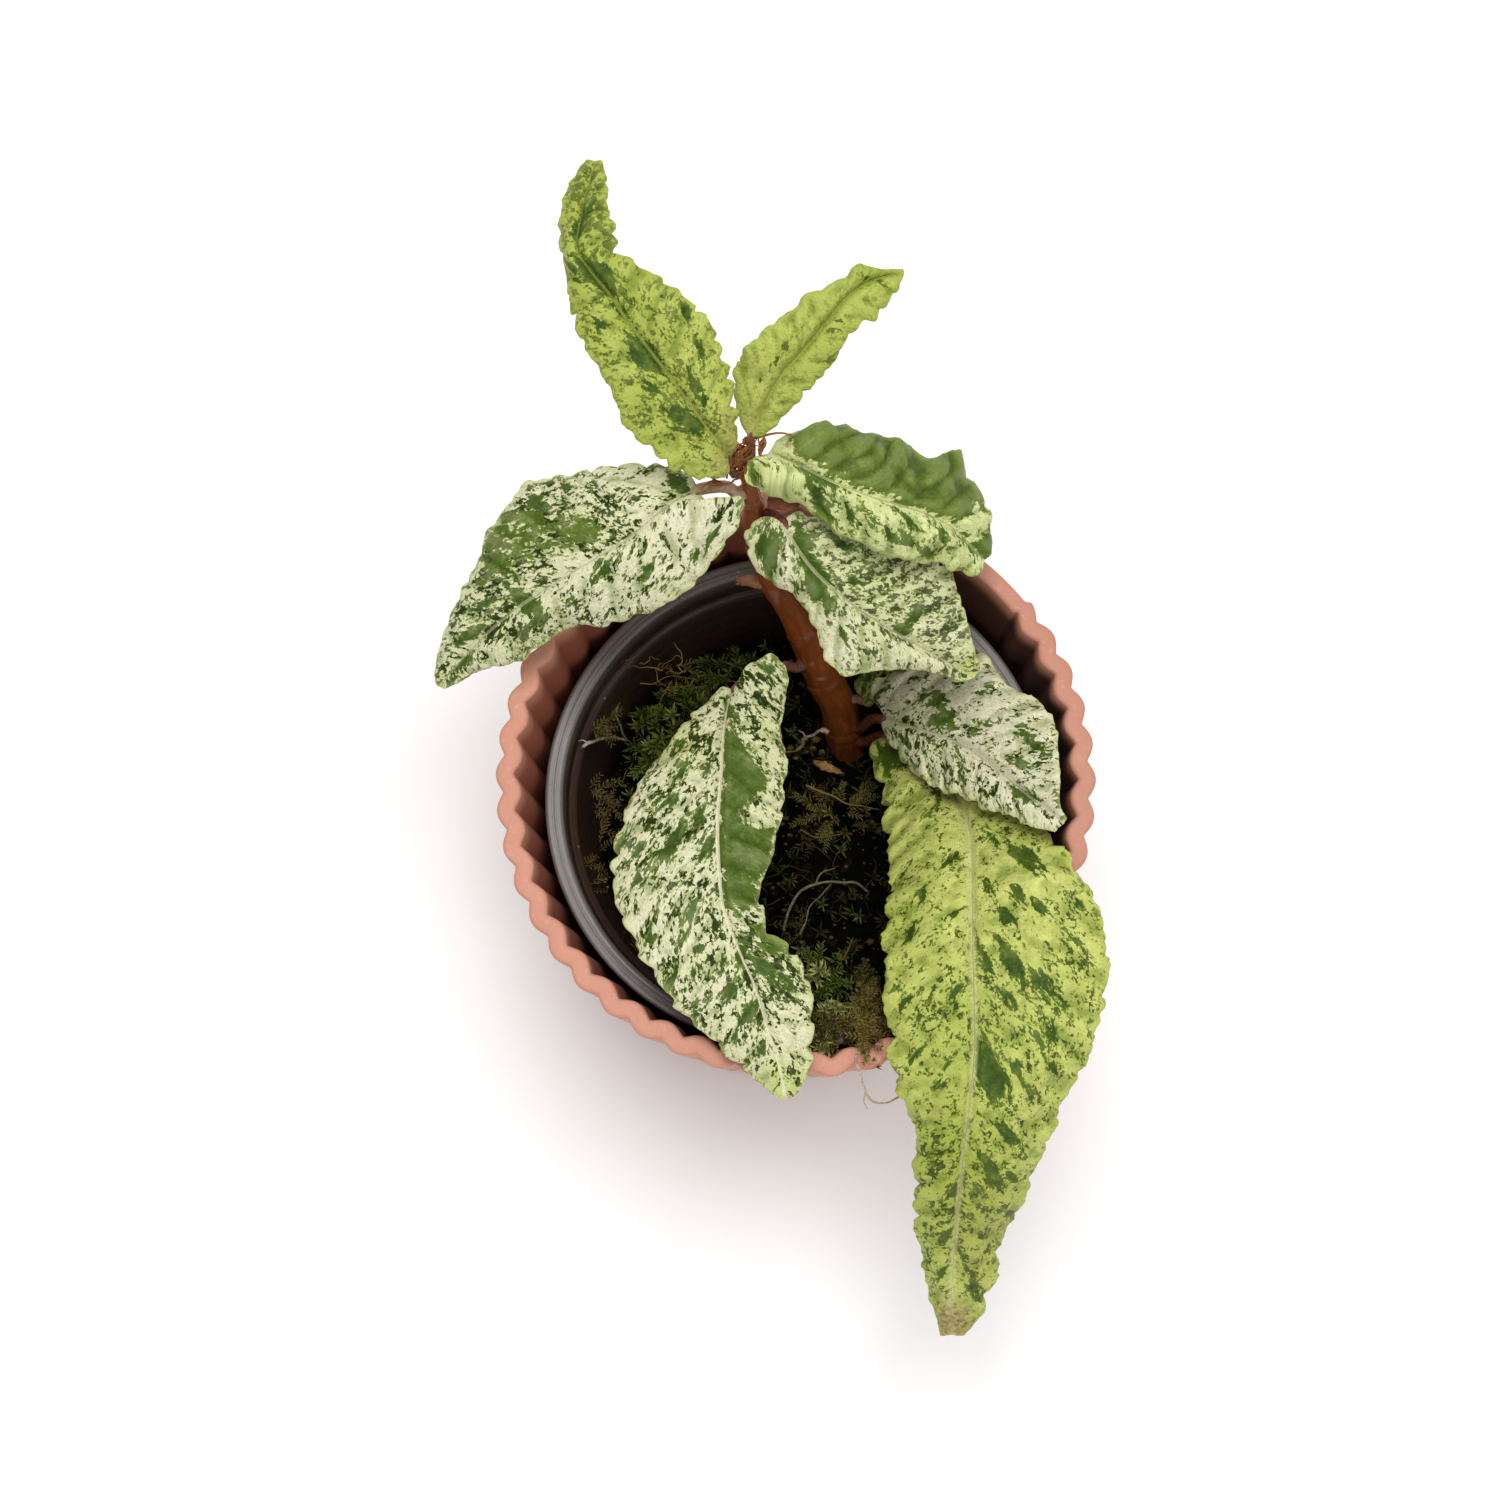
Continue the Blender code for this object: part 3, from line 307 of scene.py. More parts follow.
# leaves: petiole, midrib, left and right margins (looking from base to tip),
# each a run of (u, v, z)
LEAVES = {
    "leaf_top_left": dict(
        node=(746, 472, 89.8), stalk=0.6,
        petiole=((733, 470, 90.9),),
        mid=((729, 457, 93.0), (710, 432, 96.3), (667, 373, 101.5), (628, 322, 105.0),
             (610, 295, 106.5), (590, 270, 107.5), (577, 248, 108.0), (581, 220, 107.5),
             (586, 195, 106.5), (596, 162, 104.5)),
        left=((727, 460, 93.0), (729, 471, 92.9), (723, 479, 93.0), (711, 478, 93.5),
              (688, 474, 94.6), (668, 462, 96.5), (629, 429, 100.0), (614, 393, 102.0),
              (596, 364, 103.5), (582, 337, 104.5), (571, 302, 105.5), (561, 235, 106.0),
              (567, 192, 105.5), (586, 161, 104.0)),
        right=((734, 453, 93.6), (737, 441, 94.9), (736, 418, 97.2), (730, 391, 99.4),
               (725, 364, 101.0), (719, 344, 102.5), (705, 320, 104.5), (683, 297, 106.0),
               (664, 282, 107.0), (638, 266, 107.5), (614, 252, 107.8), (615, 235, 108.3),
               (609, 217, 108.0), (607, 190, 107.0), (603, 162, 105.0)),
        arch=0.9),
    "leaf_top_right": dict(
        node=None, stalk=0.6,
        petiole=((751, 461, 91.8), (752, 447, 93.0)),
        mid=((751, 435, 94.4), (765, 402, 97.6), (781, 375, 100.6), (803, 350, 103.0),
             (832, 314, 105.5), (848, 295, 106.5), (873, 279, 106.5), (903, 271, 105.0)),
        left=((747, 434, 94.4), (741, 422, 95.2), (735, 398, 97.2), (735, 371, 99.6),
              (745, 352, 102.5), (765, 332, 104.3), (780, 318, 105.3), (801, 301, 106.3),
              (825, 288, 107.0), (848, 275, 107.3), (860, 266, 107.3), (878, 270, 106.5),
              (903, 269, 105.2)),
        right=((755, 437, 94.3), (762, 436, 94.5), (771, 429, 95.3), (786, 414, 96.9),
               (796, 402, 98.5), (812, 383, 100.2), (826, 369, 101.6), (836, 352, 103.0),
               (847, 338, 104.0), (862, 319, 105.0), (874, 316, 105.0), (886, 304, 105.4),
               (896, 290, 105.6), (904, 274, 105.0)),
        arch=0.7),
    "leaf_left": dict(
        node=(750, 490, 86.4), stalk=0.8,
        petiole=((727, 487, 87.4), (712, 487, 88.2)),
        mid=((697, 490, 88.6), (676, 500, 88.8), (650, 519, 88.6), (630, 537, 87.8),
             (597, 557, 86.4), (563, 578, 84.0), (535, 596, 81.5), (507, 616, 79.0),
             (470, 650, 74.5), (439, 686, 70.0)),
        right=((697, 486, 88.6), (688, 475, 88.4), (668, 467, 88.0), (645, 466, 87.4),
               (617, 467, 86.4), (590, 470, 85.0), (566, 476, 83.6), (545, 480, 82.2),
               (525, 487, 80.8), (510, 504, 79.6), (489, 532, 77.6), (479, 562, 76.0),
               (462, 593, 74.0), (454, 613, 72.8), (442, 644, 71.2), (437, 664, 70.0),
               (437, 683, 69.6)),
        left=((699, 494, 88.8), (706, 502, 89.6), (722, 504, 90.4), (738, 496, 90.6),
              (744, 507, 89.6), (736, 528, 87.8), (726, 542, 87.0), (706, 570, 85.2),
              (681, 593, 83.6), (655, 608, 82.0), (624, 619, 80.4), (604, 625, 79.4),
              (573, 626, 78.6), (553, 636, 77.4), (522, 659, 75.0), (502, 664, 74.0),
              (476, 672, 72.0), (446, 688, 69.8)),
        arch=1.2),
    "leaf_right_upper": dict(
        node=(749, 482, 87.9), stalk=0.65,
        petiole=((765, 471, 89.2),),
        mid=((765, 458, 91.0), (780, 459, 91.8), (806, 470, 92.2), (840, 485, 91.6),
             (873, 498, 90.0), (922, 513, 86.4), (955, 530, 83.0), (984, 561, 78.4)),
        left=((767, 455, 91.1), (773, 450, 91.6), (778, 440, 91.8), (793, 434, 91.9),
              (813, 430, 91.6), (834, 427, 90.6), (856, 431, 89.2), (881, 436, 87.4),
              (906, 443, 85.8), (921, 458, 84.8), (936, 459, 84.2), (953, 451, 83.2),
              (962, 456, 82.2), (962, 474, 81.4), (975, 490, 80.4), (985, 508, 79.4),
              (991, 530, 78.4), (990, 552, 77.8)),
        right=((764, 461, 91.5), (758, 459, 93.0), (751, 461, 94.1), (746, 467, 94.6), (745, 475, 94.7),
               (748, 483, 94.3), (755, 488, 93.4), (764, 491, 92.2), (773, 496, 90.5), (782, 500, 89.8),
               (806, 506, 89.0), (826, 526, 87.4), (856, 539, 85.8), (886, 553, 83.8),
               (906, 558, 82.6), (939, 564, 80.4), (957, 570, 78.8), (973, 576, 77.6),
               (981, 569, 77.6)),
        arch=1.3),
    "leaf_right_middle": dict(
        node=(754, 514, 81.9), stalk=0.8,
        petiole=((769, 512, 84.2),),
        mid=((784, 522, 85.4), (795, 545, 84.6), (815, 572, 82.8), (840, 595, 80.8),
             (865, 614, 78.6), (890, 630, 76.4), (920, 647, 73.8), (950, 664, 71.2),
             (974, 678, 69.4)),
        left=((788, 516, 85.4), (799, 512, 85.0), (815, 520, 83.8), (840, 532, 82.2),
              (870, 543, 80.2), (900, 554, 78.0), (925, 560, 76.4), (946, 567, 75.0),
              (953, 580, 74.2), (957, 593, 73.5), (962, 608, 72.7), (967, 624, 71.8),
              (970, 638, 71.0), (974, 650, 70.3), (979, 665, 69.4)),
        right=((780, 524, 85.4), (769, 517, 85.9), (757, 520, 86.0), (748, 531, 85.4),
               (748, 546, 84.2), (752, 560, 83.2), (760, 573, 82.2), (776, 584, 81.2),
               (795, 595, 80.2), (805, 607, 79.2), (811, 622, 78.0), (820, 638, 77.0),
               (825, 654, 76.0), (834, 669, 75.0), (847, 675, 74.2), (864, 672, 73.8),
               (885, 670, 73.3), (910, 669, 72.4), (935, 672, 71.0), (960, 681, 69.6)),
        arch=1.0),
    "leaf_small_under": dict(
        node=(836, 700, 42.6), stalk=0.6,
        petiole=(),
        mid=((861, 701, 43.4), (868, 693, 44.0), (880, 682, 44.8), (902, 670, 46.0)),
        left=((860, 698, 43.4), (857, 691, 43.4), (856, 683, 43.6), (860, 675, 44.0),
              (868, 668, 44.6), (880, 660, 45.4), (899, 662, 46.0)),
        right=((863, 705, 43.4), (868, 706, 43.6), (877, 700, 44.0), (888, 692, 44.6),
               (900, 682, 45.4), (906, 672, 46.0)),
        arch=0.3),
    "leaf_right_lower": dict(
        node=(842, 718, 38.8), stalk=0.9,
        petiole=((872, 719, 44.6),),
        mid=((884, 719, 47.0), (915, 728, 53.0), (955, 742, 58.5), (990, 765, 62.8),
             (1025, 793, 66.8), (1063, 822, 71.0)),
        left=((886, 715, 47.0), (880, 708, 47.2), (873, 700, 47.2), (871, 690, 47.6),
              (877, 681, 48.4), (890, 676, 50.0), (910, 668, 52.0), (935, 660, 54.0),
              (955, 652, 56.0), (973, 650, 57.5), (989, 659, 59.5), (1003, 680, 61.5),
              (1016, 689, 63.0), (1036, 700, 65.0), (1046, 710, 66.0), (1053, 723, 67.0),
              (1058, 741, 68.0), (1060, 769, 69.3), (1060, 803, 70.7), (1067, 818, 71.3)),
        right=((882, 722, 46.8), (884, 730, 47.2), (889, 741, 48.6), (900, 752, 50.6),
               (908, 766, 52.6), (917, 775, 54.4), (930, 783, 56.4), (943, 789, 58.2),
               (955, 794, 59.8), (971, 800, 61.8), (988, 809, 63.8), (1008, 815, 66.0),
               (1032, 826, 68.6), (1054, 832, 70.8)),
        arch=0.9),
    "leaf_front_right": dict(
        node=(844, 734, 35.4), stalk=1.0,
        petiole=((874, 738, 39.6),),
        mid=((885, 737, 42.4), (905, 748, 45.4), (930, 766, 49.2), (952, 790, 53.2),
             (965, 815, 57.0), (971, 845, 61.0), (972, 890, 66.0), (972, 936, 70.0),
             (973, 985, 72.6), (974, 1037, 73.6), (972, 1075, 73.2), (967, 1120, 71.2),
             (960, 1180, 66.8), (954, 1245, 60.6), (951, 1300, 54.6), (951, 1334, 50.6)),
        right=((881, 740, 42.4), (873, 743, 42.6), (870, 753, 43.2), (875, 768, 45.0),
               (882, 788, 47.6), (887, 815, 51.0), (889, 845, 54.8), (890, 885, 60.0),
               (886, 930, 65.2), (885, 974, 69.4), (887, 1012, 71.2), (890, 1040, 71.8),
               (892, 1066, 71.6), (904, 1102, 69.8), (916, 1130, 67.8), (917, 1170, 64.6),
               (917, 1226, 59.6), (926, 1281, 54.4), (934, 1310, 51.6), (940, 1335, 49.8)),
        left=((889, 734, 42.6), (905, 738, 44.4), (930, 745, 47.4), (960, 760, 50.8),
              (990, 780, 54.6), (1020, 805, 59.4), (1046, 833, 65.0), (1069, 860, 70.2),
              (1086, 881, 71.4), (1098, 910, 71.8), (1105, 940, 72.0), (1107, 982, 72.0),
              (1098, 1020, 71.6), (1086, 1062, 70.6), (1069, 1087, 69.6), (1056, 1121, 67.6),
              (1035, 1167, 64.0), (1023, 1205, 60.8), (1008, 1226, 58.8), (995, 1268, 55.2),
              (980, 1314, 51.2), (964, 1335, 49.8)),
        arch=1.8),
    "leaf_front_left": dict(
        node=(812, 654, 52.8), stalk=0.9,
        petiole=((784, 666, 55.6), (765, 672, 57.2), (748, 679, 58.8)),
        mid=((734, 692, 60.2), (728, 710, 61.4), (723, 740, 63.4), (721, 778, 65.8),
             (718, 815, 67.8), (718, 850, 69.4), (722, 900, 71.2), (729, 925, 71.8),
             (742, 957, 72.3), (755, 987, 72.6), (768, 1030, 72.2), (778, 1060, 71.5),
             (786, 1100, 69.8)),
        right=((729, 690, 60.2), (722, 687, 60.4), (712, 697, 60.8), (700, 709, 61.2),
               (686, 725, 61.8), (673, 741, 62.4), (658, 757, 62.8), (646, 772, 63.2),
               (634, 795, 64.0), (621, 828, 65.2), (615, 852, 66.0), (614, 876, 66.9),
               (618, 906, 68.2), (631, 931, 69.2), (643, 958, 70.2), (661, 983, 70.8),
               (683, 1013, 71.2), (704, 1032, 71.2), (722, 1050, 71.0), (744, 1068, 70.5),
               (760, 1083, 69.9), (775, 1095, 69.5)),
        left=((738, 689, 60.6), (741, 678, 61.6), (747, 667, 62.4), (755, 660, 62.6), (766, 657, 62.6),
              (778, 660, 62.4), (785, 670, 62.2), (787, 695, 62.2), (783, 715, 62.6),
              (781, 732, 63.2), (785, 755, 64.2), (785, 778, 65.2), (782, 806, 66.6),
              (777, 832, 67.7), (771, 855, 68.6), (760, 880, 69.4), (760, 903, 70.2),
              (768, 930, 70.9), (788, 948, 71.1), (803, 968, 71.2), (811, 998, 71.2),
              (812, 1030, 70.9), (810, 1060, 70.4), (805, 1080, 69.8), (797, 1093, 69.5)),
        arch=1.1),
}

# small dry pieces round the growing tip: outline base, tip and width
# name: (base u, v, z), (tip u, v, z), half width mm, curl mm
SCALES = {
    "stipule_right": ((770, 499, 86.4), (799, 503, 87.4), 1.2, 0.2),
    "bud_scale_back": ((760, 452, 93.2), (764, 444, 96.6), 0.8, 0.2),
    "bud_scale_front": ((748, 476, 92.6), (744, 468, 96.2), 0.8, 0.2),
}

# loose strands on the moss: radius, run of (u, v, z)
STRANDS = {
    "root_hook": (0.45, ((797, 750, 34.6), (802, 743, 37.2), (809, 736, 39.8),
                         (817, 731, 41.6), (826, 731, 42.4))),
    "root_left_upper": (0.45, ((589, 745, 50.5), (605, 741, 46.5), (615, 738, 42.5),
                               (623, 742, 39.0))),
    "root_left_lower": (0.45, ((619, 712, 42.5), (623, 726, 40.0), (627, 738, 37.6))),
    "root_front": (0.45, ((786, 930, 34.2), (799, 908, 36.0), (822, 893, 36.6),
                          (850, 889, 35.4), (868, 894, 34.2))),
    "rim_hair_root": (0.4, ((859, 1075, 69.6), (863, 1088, 68.0), (873, 1100, 66.0),
                            (886, 1103, 65.0), (898, 1099, 64.6))),
    "dry_thread": (0.3, ((763, 441, 93.2), (768, 436, 93.8), (775, 433, 94.2),
                         (783, 433, 94.2), (790, 434, 93.8))),
}

# moss clumps above the mat: centre u, v; half width, half depth; z; height
CLUMPS = {
    "moss_clump_left": ((674, 730), 5.4, 6.0, 33.9, 6.0),
    "moss_clump_back": ((738, 676), 4.8, 3.6, 33.9, 4.6),
    "moss_clump_brown": ((838, 812), 5.6, 3.6, 33.9, 4.0),
    "moss_clump_front": ((816, 980), 4.0, 4.0, 33.9, 6.0),
}


# --------------------------------------------------------------- materials
class Shade:
    """A node material, built up by short calls."""

    def __init__(self, name, rough=0.5, spec=0.5, coat=0.0, coat_rough=0.2, dims="3D"):
        self.dims = dims
        self.mat = bpy.data.materials.new(name)
        self.mat.use_nodes = True
        self.tree = self.mat.node_tree
        self.bsdf = self.tree.nodes["Principled BSDF"]
        self.bsdf.inputs["Roughness"].default_value = rough
        self.bsdf.inputs["Specular IOR Level"].default_value = spec
        self.bsdf.inputs["Coat Weight"].default_value = coat
        self.bsdf.inputs["Coat Roughness"].default_value = coat_rough

    def put(self, sock, value):
        if isinstance(value, bpy.types.NodeSocket):
            self.tree.links.new(value, sock)
        elif isinstance(value, (tuple, list)) and len(value) == 3 and sock.type == "RGBA":
            sock.default_value = (*value, 1.0)
        else:
            sock.default_value = value

    def math(self, op, a, b=0.0, c=None, clamp=False):
        n = self.tree.nodes.new("ShaderNodeMath")
        n.operation = op
        n.use_clamp = clamp
        self.put(n.inputs[0], a)
        self.put(n.inputs[1], b)
        if c is not None:
            self.put(n.inputs[2], c)
        return n.outputs[0]

    def vmath(self, op, a, b=(0.0, 0.0, 0.0)):
        n = self.tree.nodes.new("ShaderNodeVectorMath")
        n.operation = op
        self.put(n.inputs[0], a)
        self.put(n.inputs[1], b)
        return n.outputs[0]

    def attr(self, name, out="Fac"):
        n = self.tree.nodes.new("ShaderNodeAttribute")
        n.attribute_name = name
        return n.outputs[out]

    def place_mm(self):
        """The piece's own coordinates, in mm."""
        n = self.tree.nodes.new("ShaderNodeTexCoord")
        return self.vmath("MULTIPLY", n.outputs["Object"], (1000.0, 1000.0, 1000.0))

    def split(self, vec, part):
        n = self.tree.nodes.new("ShaderNodeSeparateXYZ")
        self.put(n.inputs[0], vec)
        return n.outputs[part]

    def noise(self, vec, scale, detail=2.0, rough=0.5, out="Fac"):
        n = self.tree.nodes.new("ShaderNodeTexNoise")
        n.noise_dimensions = self.dims
        self.put(n.inputs["Vector"], vec)
        n.inputs["Scale"].default_value = scale
        n.inputs["Detail"].default_value = detail
        n.inputs["Roughness"].default_value = rough
        return n.outputs[out]

    def cells(self, vec, scale, out="Color", feature="F1", randomness=1.0):
        n = self.tree.nodes.new("ShaderNodeTexVoronoi")
        n.voronoi_dimensions = self.dims
        n.feature = feature
        self.put(n.inputs["Vector"], vec)
        n.inputs["Scale"].default_value = scale
        n.inputs["Randomness"].default_value = randomness
        return n.outputs[out]

    def split_rgb(self, colour, part):
        n = self.tree.nodes.new("ShaderNodeSeparateColor")
        self.put(n.inputs[0], colour)
        return n.outputs[part]

    def span(self, value, a0, a1, b0=0.0, b1=1.0, kind="LINEAR"):
        n = self.tree.nodes.new("ShaderNodeMapRange")
        n.interpolation_type = kind
        self.put(n.inputs["Value"], value)
        n.inputs["From Min"].default_value = a0
        n.inputs["From Max"].default_value = a1
        n.inputs["To Min"].default_value = b0
        n.inputs["To Max"].default_value = b1
        return n.outputs["Result"]

    def mix(self, fac, a, b, how="MIX"):
        n = self.tree.nodes.new("ShaderNodeMix")
        n.data_type = "RGBA"
        n.blend_type = how
        ins = [s for s in n.inputs if s.type == "RGBA"]
        self.put(n.inputs[0], fac)
        self.put(ins[0], a)
        self.put(ins[1], b)
        return [s for s in n.outputs if s.type == "RGBA"][0]

    def bump(self, height, mm, strength=1.0, normal=None):
        n = self.tree.nodes.new("ShaderNodeBump")
        n.inputs["Strength"].default_value = strength
        n.inputs["Distance"].default_value = mm * MM
        self.put(n.inputs["Height"], height)
        if normal is not None:
            self.put(n.inputs["Normal"], normal)
        return n.outputs["Normal"]

    def finish(self, colour=None, rough=None, normal=None):
        if colour is not None:
            self.put(self.bsdf.inputs["Base Color"], colour)
        if rough is not None:
            self.put(self.bsdf.inputs["Roughness"], rough)
        if normal is not None:
            self.put(self.bsdf.inputs["Normal"], normal)
        return self.mat


def srgb(r, g, b):
    """A colour given as 0-255 values as it looks, in linear light."""
    out = []
    for c in (r, g, b):
        c /= 255.0
        out.append(c / 12.92 if c <= 0.04045 else ((c + 0.055) / 1.055) ** 2.4)
    return tuple(out)


def leaf_material(name, base, tint, pale, mid, dark, deep, rough=0.44, cloudy=0.2, patch=None,
                  steps=(0.595, 0.642, 0.700, 0.780), speckle=0.30, slant=(0.46, 0.58)):
    """A leaf flecked in nested greens.

    Attributes: lc is the place on the blade in mm (square to the side veins
    and along them); dens is how green it is; solid is mm inside a solid
    patch and soft how much lighter that patch is; warm mixes base to tint;
    rib and edge are mm from the midrib and the margin; vein is the side vein
    phase; fold is -1 in the creases and 1 on the swells; dry is withered
    tissue; stalk and red are for the leaf stalk."""
    m = Shade(name, rough=rough, spec=0.13, dims="2D")
    lc = m.attr("lc", "Vector")
    waver = m.vmath("SUBTRACT", m.noise(lc, 2.3, 3.0, 0.65, "Color"), (0.5, 0.5, 0.5))
    at = m.vmath("ADD", lc, m.vmath("MULTIPLY", waver, (0.30, 0.50, 0.0)))
    long = m.vmath("MULTIPLY", at, (1.0, slant[0], 1.0))
    short = m.vmath("MULTIPLY", at, (1.0, slant[1], 1.0))
    c1 = m.cells(long, 0.80)
    c2 = m.cells(long, 1.80)
    c3 = m.cells(short, 3.5)
    c4 = m.cells(short, 5.8)
    r1, r2 = m.split_rgb(c1, "Red"), m.split_rgb(c2, "Red")
    r3, r4 = m.split_rgb(c3, "Red"), m.split_rgb(c4, "Red")
    broad = m.noise(lc, 0.22, 3.0, 0.6)
    level = m.math("MULTIPLY", r1, 0.15)
    level = m.math("MULTIPLY_ADD", r2, 0.34, level)
    level = m.math("MULTIPLY_ADD", r3, 0.33, level)
    level = m.math("MULTIPLY_ADD", r4, 0.18, level)
    level = m.math("ADD", level, m.attr("dens"))
    level = m.math("MULTIPLY_ADD", m.math("SUBTRACT", broad, 0.5), 0.34, level)
    # solid patches with angular, broken edges
    lean = m.vmath("MULTIPLY", at, (1.0, 0.34, 1.0))
    g1 = m.split_rgb(m.cells(lean, 1.05), "Green")
    g2 = m.split_rgb(m.cells(lean, 2.1), "Green")
    jag = m.math("MULTIPLY_ADD", m.math("SUBTRACT", g1, 0.5), 1.15, m.attr("solid"))
    jag = m.math("MULTIPLY_ADD", m.math("SUBTRACT", g2, 0.5), 0.95, jag)
    jag = m.math("MULTIPLY_ADD", m.math("SUBTRACT", r3, 0.5), 0.55, jag)
    jag = m.math("MULTIPLY_ADD", m.math("SUBTRACT", r4, 0.5), 0.35, jag)
    # base colour
    warm = m.attr("warm")
    ground = m.mix(m.math("MINIMUM", warm, 1.0), base, tint)
    ground = m.mix(m.math("SUBTRACT", warm, 1.0, clamp=True), ground, pale)
    cloud = m.noise(lc, 0.40, 4.0, 0.62)
    ground = m.mix(m.span(cloud, 0.36, 0.66, 0.0, cloudy), ground, m.mix(0.55, tint, pale))
    grain = m.split_rgb(c4, "Green")
    ground = m.mix(m.span(grain, 0.35, 1.0, 0.0, 1.5 * speckle), ground, pale)
    ground = m.mix(m.span(r2, 0.55, 1.0, 0.0, speckle * 0.6), ground, pale)
    rib, edge = m.attr("rib"), m.attr("edge")
    line = m.math("ABSOLUTE", m.math("SUBTRACT", m.math("FRACT", m.attr("vein")), 0.5))
    line = m.span(line, 0.45, 0.5, 0.0, 1.0, "SMOOTHSTEP")
    rib_line = m.span(rib, 0.16, 0.42, 1.0, 0.0, "SMOOTHSTEP")
    green = m.split_rgb(c3, "Green")
    pale_c = m.mix(m.math("MULTIPLY", green, 0.6), pale, m.mix(0.5, pale, mid))
    dark_c = m.mix(m.math("MULTIPLY", green, 0.5), dark, m.mix(0.5, dark, mid))
    colour = m.mix(m.span(level, steps[0], steps[0] + 0.01), ground, pale_c)
    colour = m.mix(m.span(level, steps[1], steps[1] + 0.01), colour, mid)
    colour = m.mix(m.span(level, steps[2], steps[2] + 0.01), colour, dark_c)
    colour = m.mix(m.span(level, steps[3], steps[3] + 0.01), colour, deep)
    colour = m.mix(m.attr("mild"), colour, ground)
    # solid patches over them
    inside = m.mix(m.span(m.noise(lc, 1.1, 3.0), 0.35, 0.7), patch or dark, m.mix(0.35, patch or dark, mid))
    lighter = m.mix(m.span(m.noise(lc, 0.8, 4.0, 0.6), 0.35, 0.65), mid, m.mix(0.35, mid, dark))
    inside = m.mix(m.attr("soft"), inside, lighter)
    mottle = m.math("MULTIPLY_ADD", r2, 0.5, m.math("MULTIPLY", r3, 0.5))
    inside = m.mix(m.span(mottle, 0.64, 0.80, 0.0, 0.40), inside, dark)
    inside = m.mix(m.span(mottle, 0.16, 0.30, 0.35, 0.0), inside, m.mix(0.45, mid, pale))
    colour = m.mix(m.span(jag, -0.22, -0.19), colour, m.mix(0.5, pale_c, mid))
    colour = m.mix(m.span(jag, -0.10, -0.07), colour, mid)
    colour = m.mix(m.span(jag, 0.02, 0.06), colour, inside)
    # veins and midrib are paler
    colour = m.mix(m.math("MULTIPLY", line, 0.15), colour, m.mix(0.30, colour, base))
    colour = m.mix(m.math("MULTIPLY", rib_line, m.attr("ribpale")), colour, m.mix(0.5, base, srgb(228, 222, 188)))
    colour = m.mix(m.span(edge, 0.0, 1.3, 0.75, 0.0), colour, m.mix(0.6, colour, tint))
    # painted shade: darker down in the creases, and a little paler on the swells as painted light
    fold = m.attr("fold")
    colour = m.mix(m.span(fold, -0.10, -1.0, 0.0, 0.66), colour, m.mix(1.0, colour, (0.42, 0.50, 0.28), "MULTIPLY"))
    colour = m.mix(m.span(fold, 0.2, 1.0, 0.0, 0.10), colour, m.mix(0.5, base, tint))
    # the midrib itself is plain, without markings
    plain = m.mix(0.35, m.mix(m.math("MINIMUM", warm, 1.0), base, tint), pale)
    light_rib = m.mix(0.5, base, srgb(230, 226, 178))
    much = m.math("MINIMUM", m.math("MULTIPLY", m.attr("ribpale"), 1.6), 1.0)
    plain = m.mix(much, plain, light_rib)
    colour = m.mix(m.math("MULTIPLY", m.attr("seam"), m.math("MULTIPLY_ADD", much, 0.26, 0.52)), colour, plain)
    # dry ends and scars, then the stalk
    blotch = m.noise(lc, 1.7, 4.0)
    tan = m.mix(m.span(blotch, 0.35, 0.65), srgb(172, 158, 108), srgb(124, 100, 58))
    colour = m.mix(m.attr("dry"), colour, tan)
    skin = m.mix(m.span(blotch, 0.3, 0.7), srgb(196, 172, 146), srgb(176, 138, 108))
    ruddy = m.mix(m.span(blotch, 0.3, 0.7), srgb(104, 36, 17), srgb(60, 19, 9))
    colour = m.mix(m.attr("stalk"), colour, m.mix(m.attr("red"), skin, ruddy))
    # surface
    pebble = m.cells(lc, 2.2, "Distance")
    height = m.math("MULTIPLY_ADD", pebble, -0.8, m.noise(lc, 3.4, 2.0, 0.6))
    height = m.math("MULTIPLY_ADD", line, -0.5, height)
    normal = m.bump(height, 0.10, 0.8)
    gloss = m.span(broad, 0.2, 0.8, rough - 0.06, rough + 0.10)
    return m.finish(colour, gloss, normal)


MATS = {
    "leaf_cream": leaf_material(
        "leaf_cream_finish", srgb(223, 217, 192), srgb(190, 199, 120), srgb(156, 164, 106),
        srgb(94, 114, 38), srgb(60, 79, 12), srgb(37, 51, 0), cloudy=0.22,
        patch=srgb(60, 84, 28), steps=(0.636, 0.660, 0.688, 0.740)),
    "leaf_lime": leaf_material(
        "leaf_lime_finish", srgb(206, 210, 122), srgb(160, 172, 74), srgb(138, 150, 62),
        srgb(90, 108, 24), srgb(59, 78, 12), srgb(37, 50, 0), cloudy=0.60,
        patch=srgb(56, 80, 26), steps=(0.630, 0.662, 0.700, 0.755), speckle=0.2, slant=(0.62, 0.78)),
    "leaf_green": leaf_material(
        "leaf_green_finish", srgb(214, 219, 160), srgb(160, 174, 84), srgb(144, 156, 80),
        srgb(98, 117, 44), srgb(68, 88, 22), srgb(44, 58, 2), rough=0.36, cloudy=0.35,
        patch=srgb(68, 92, 30)),
}


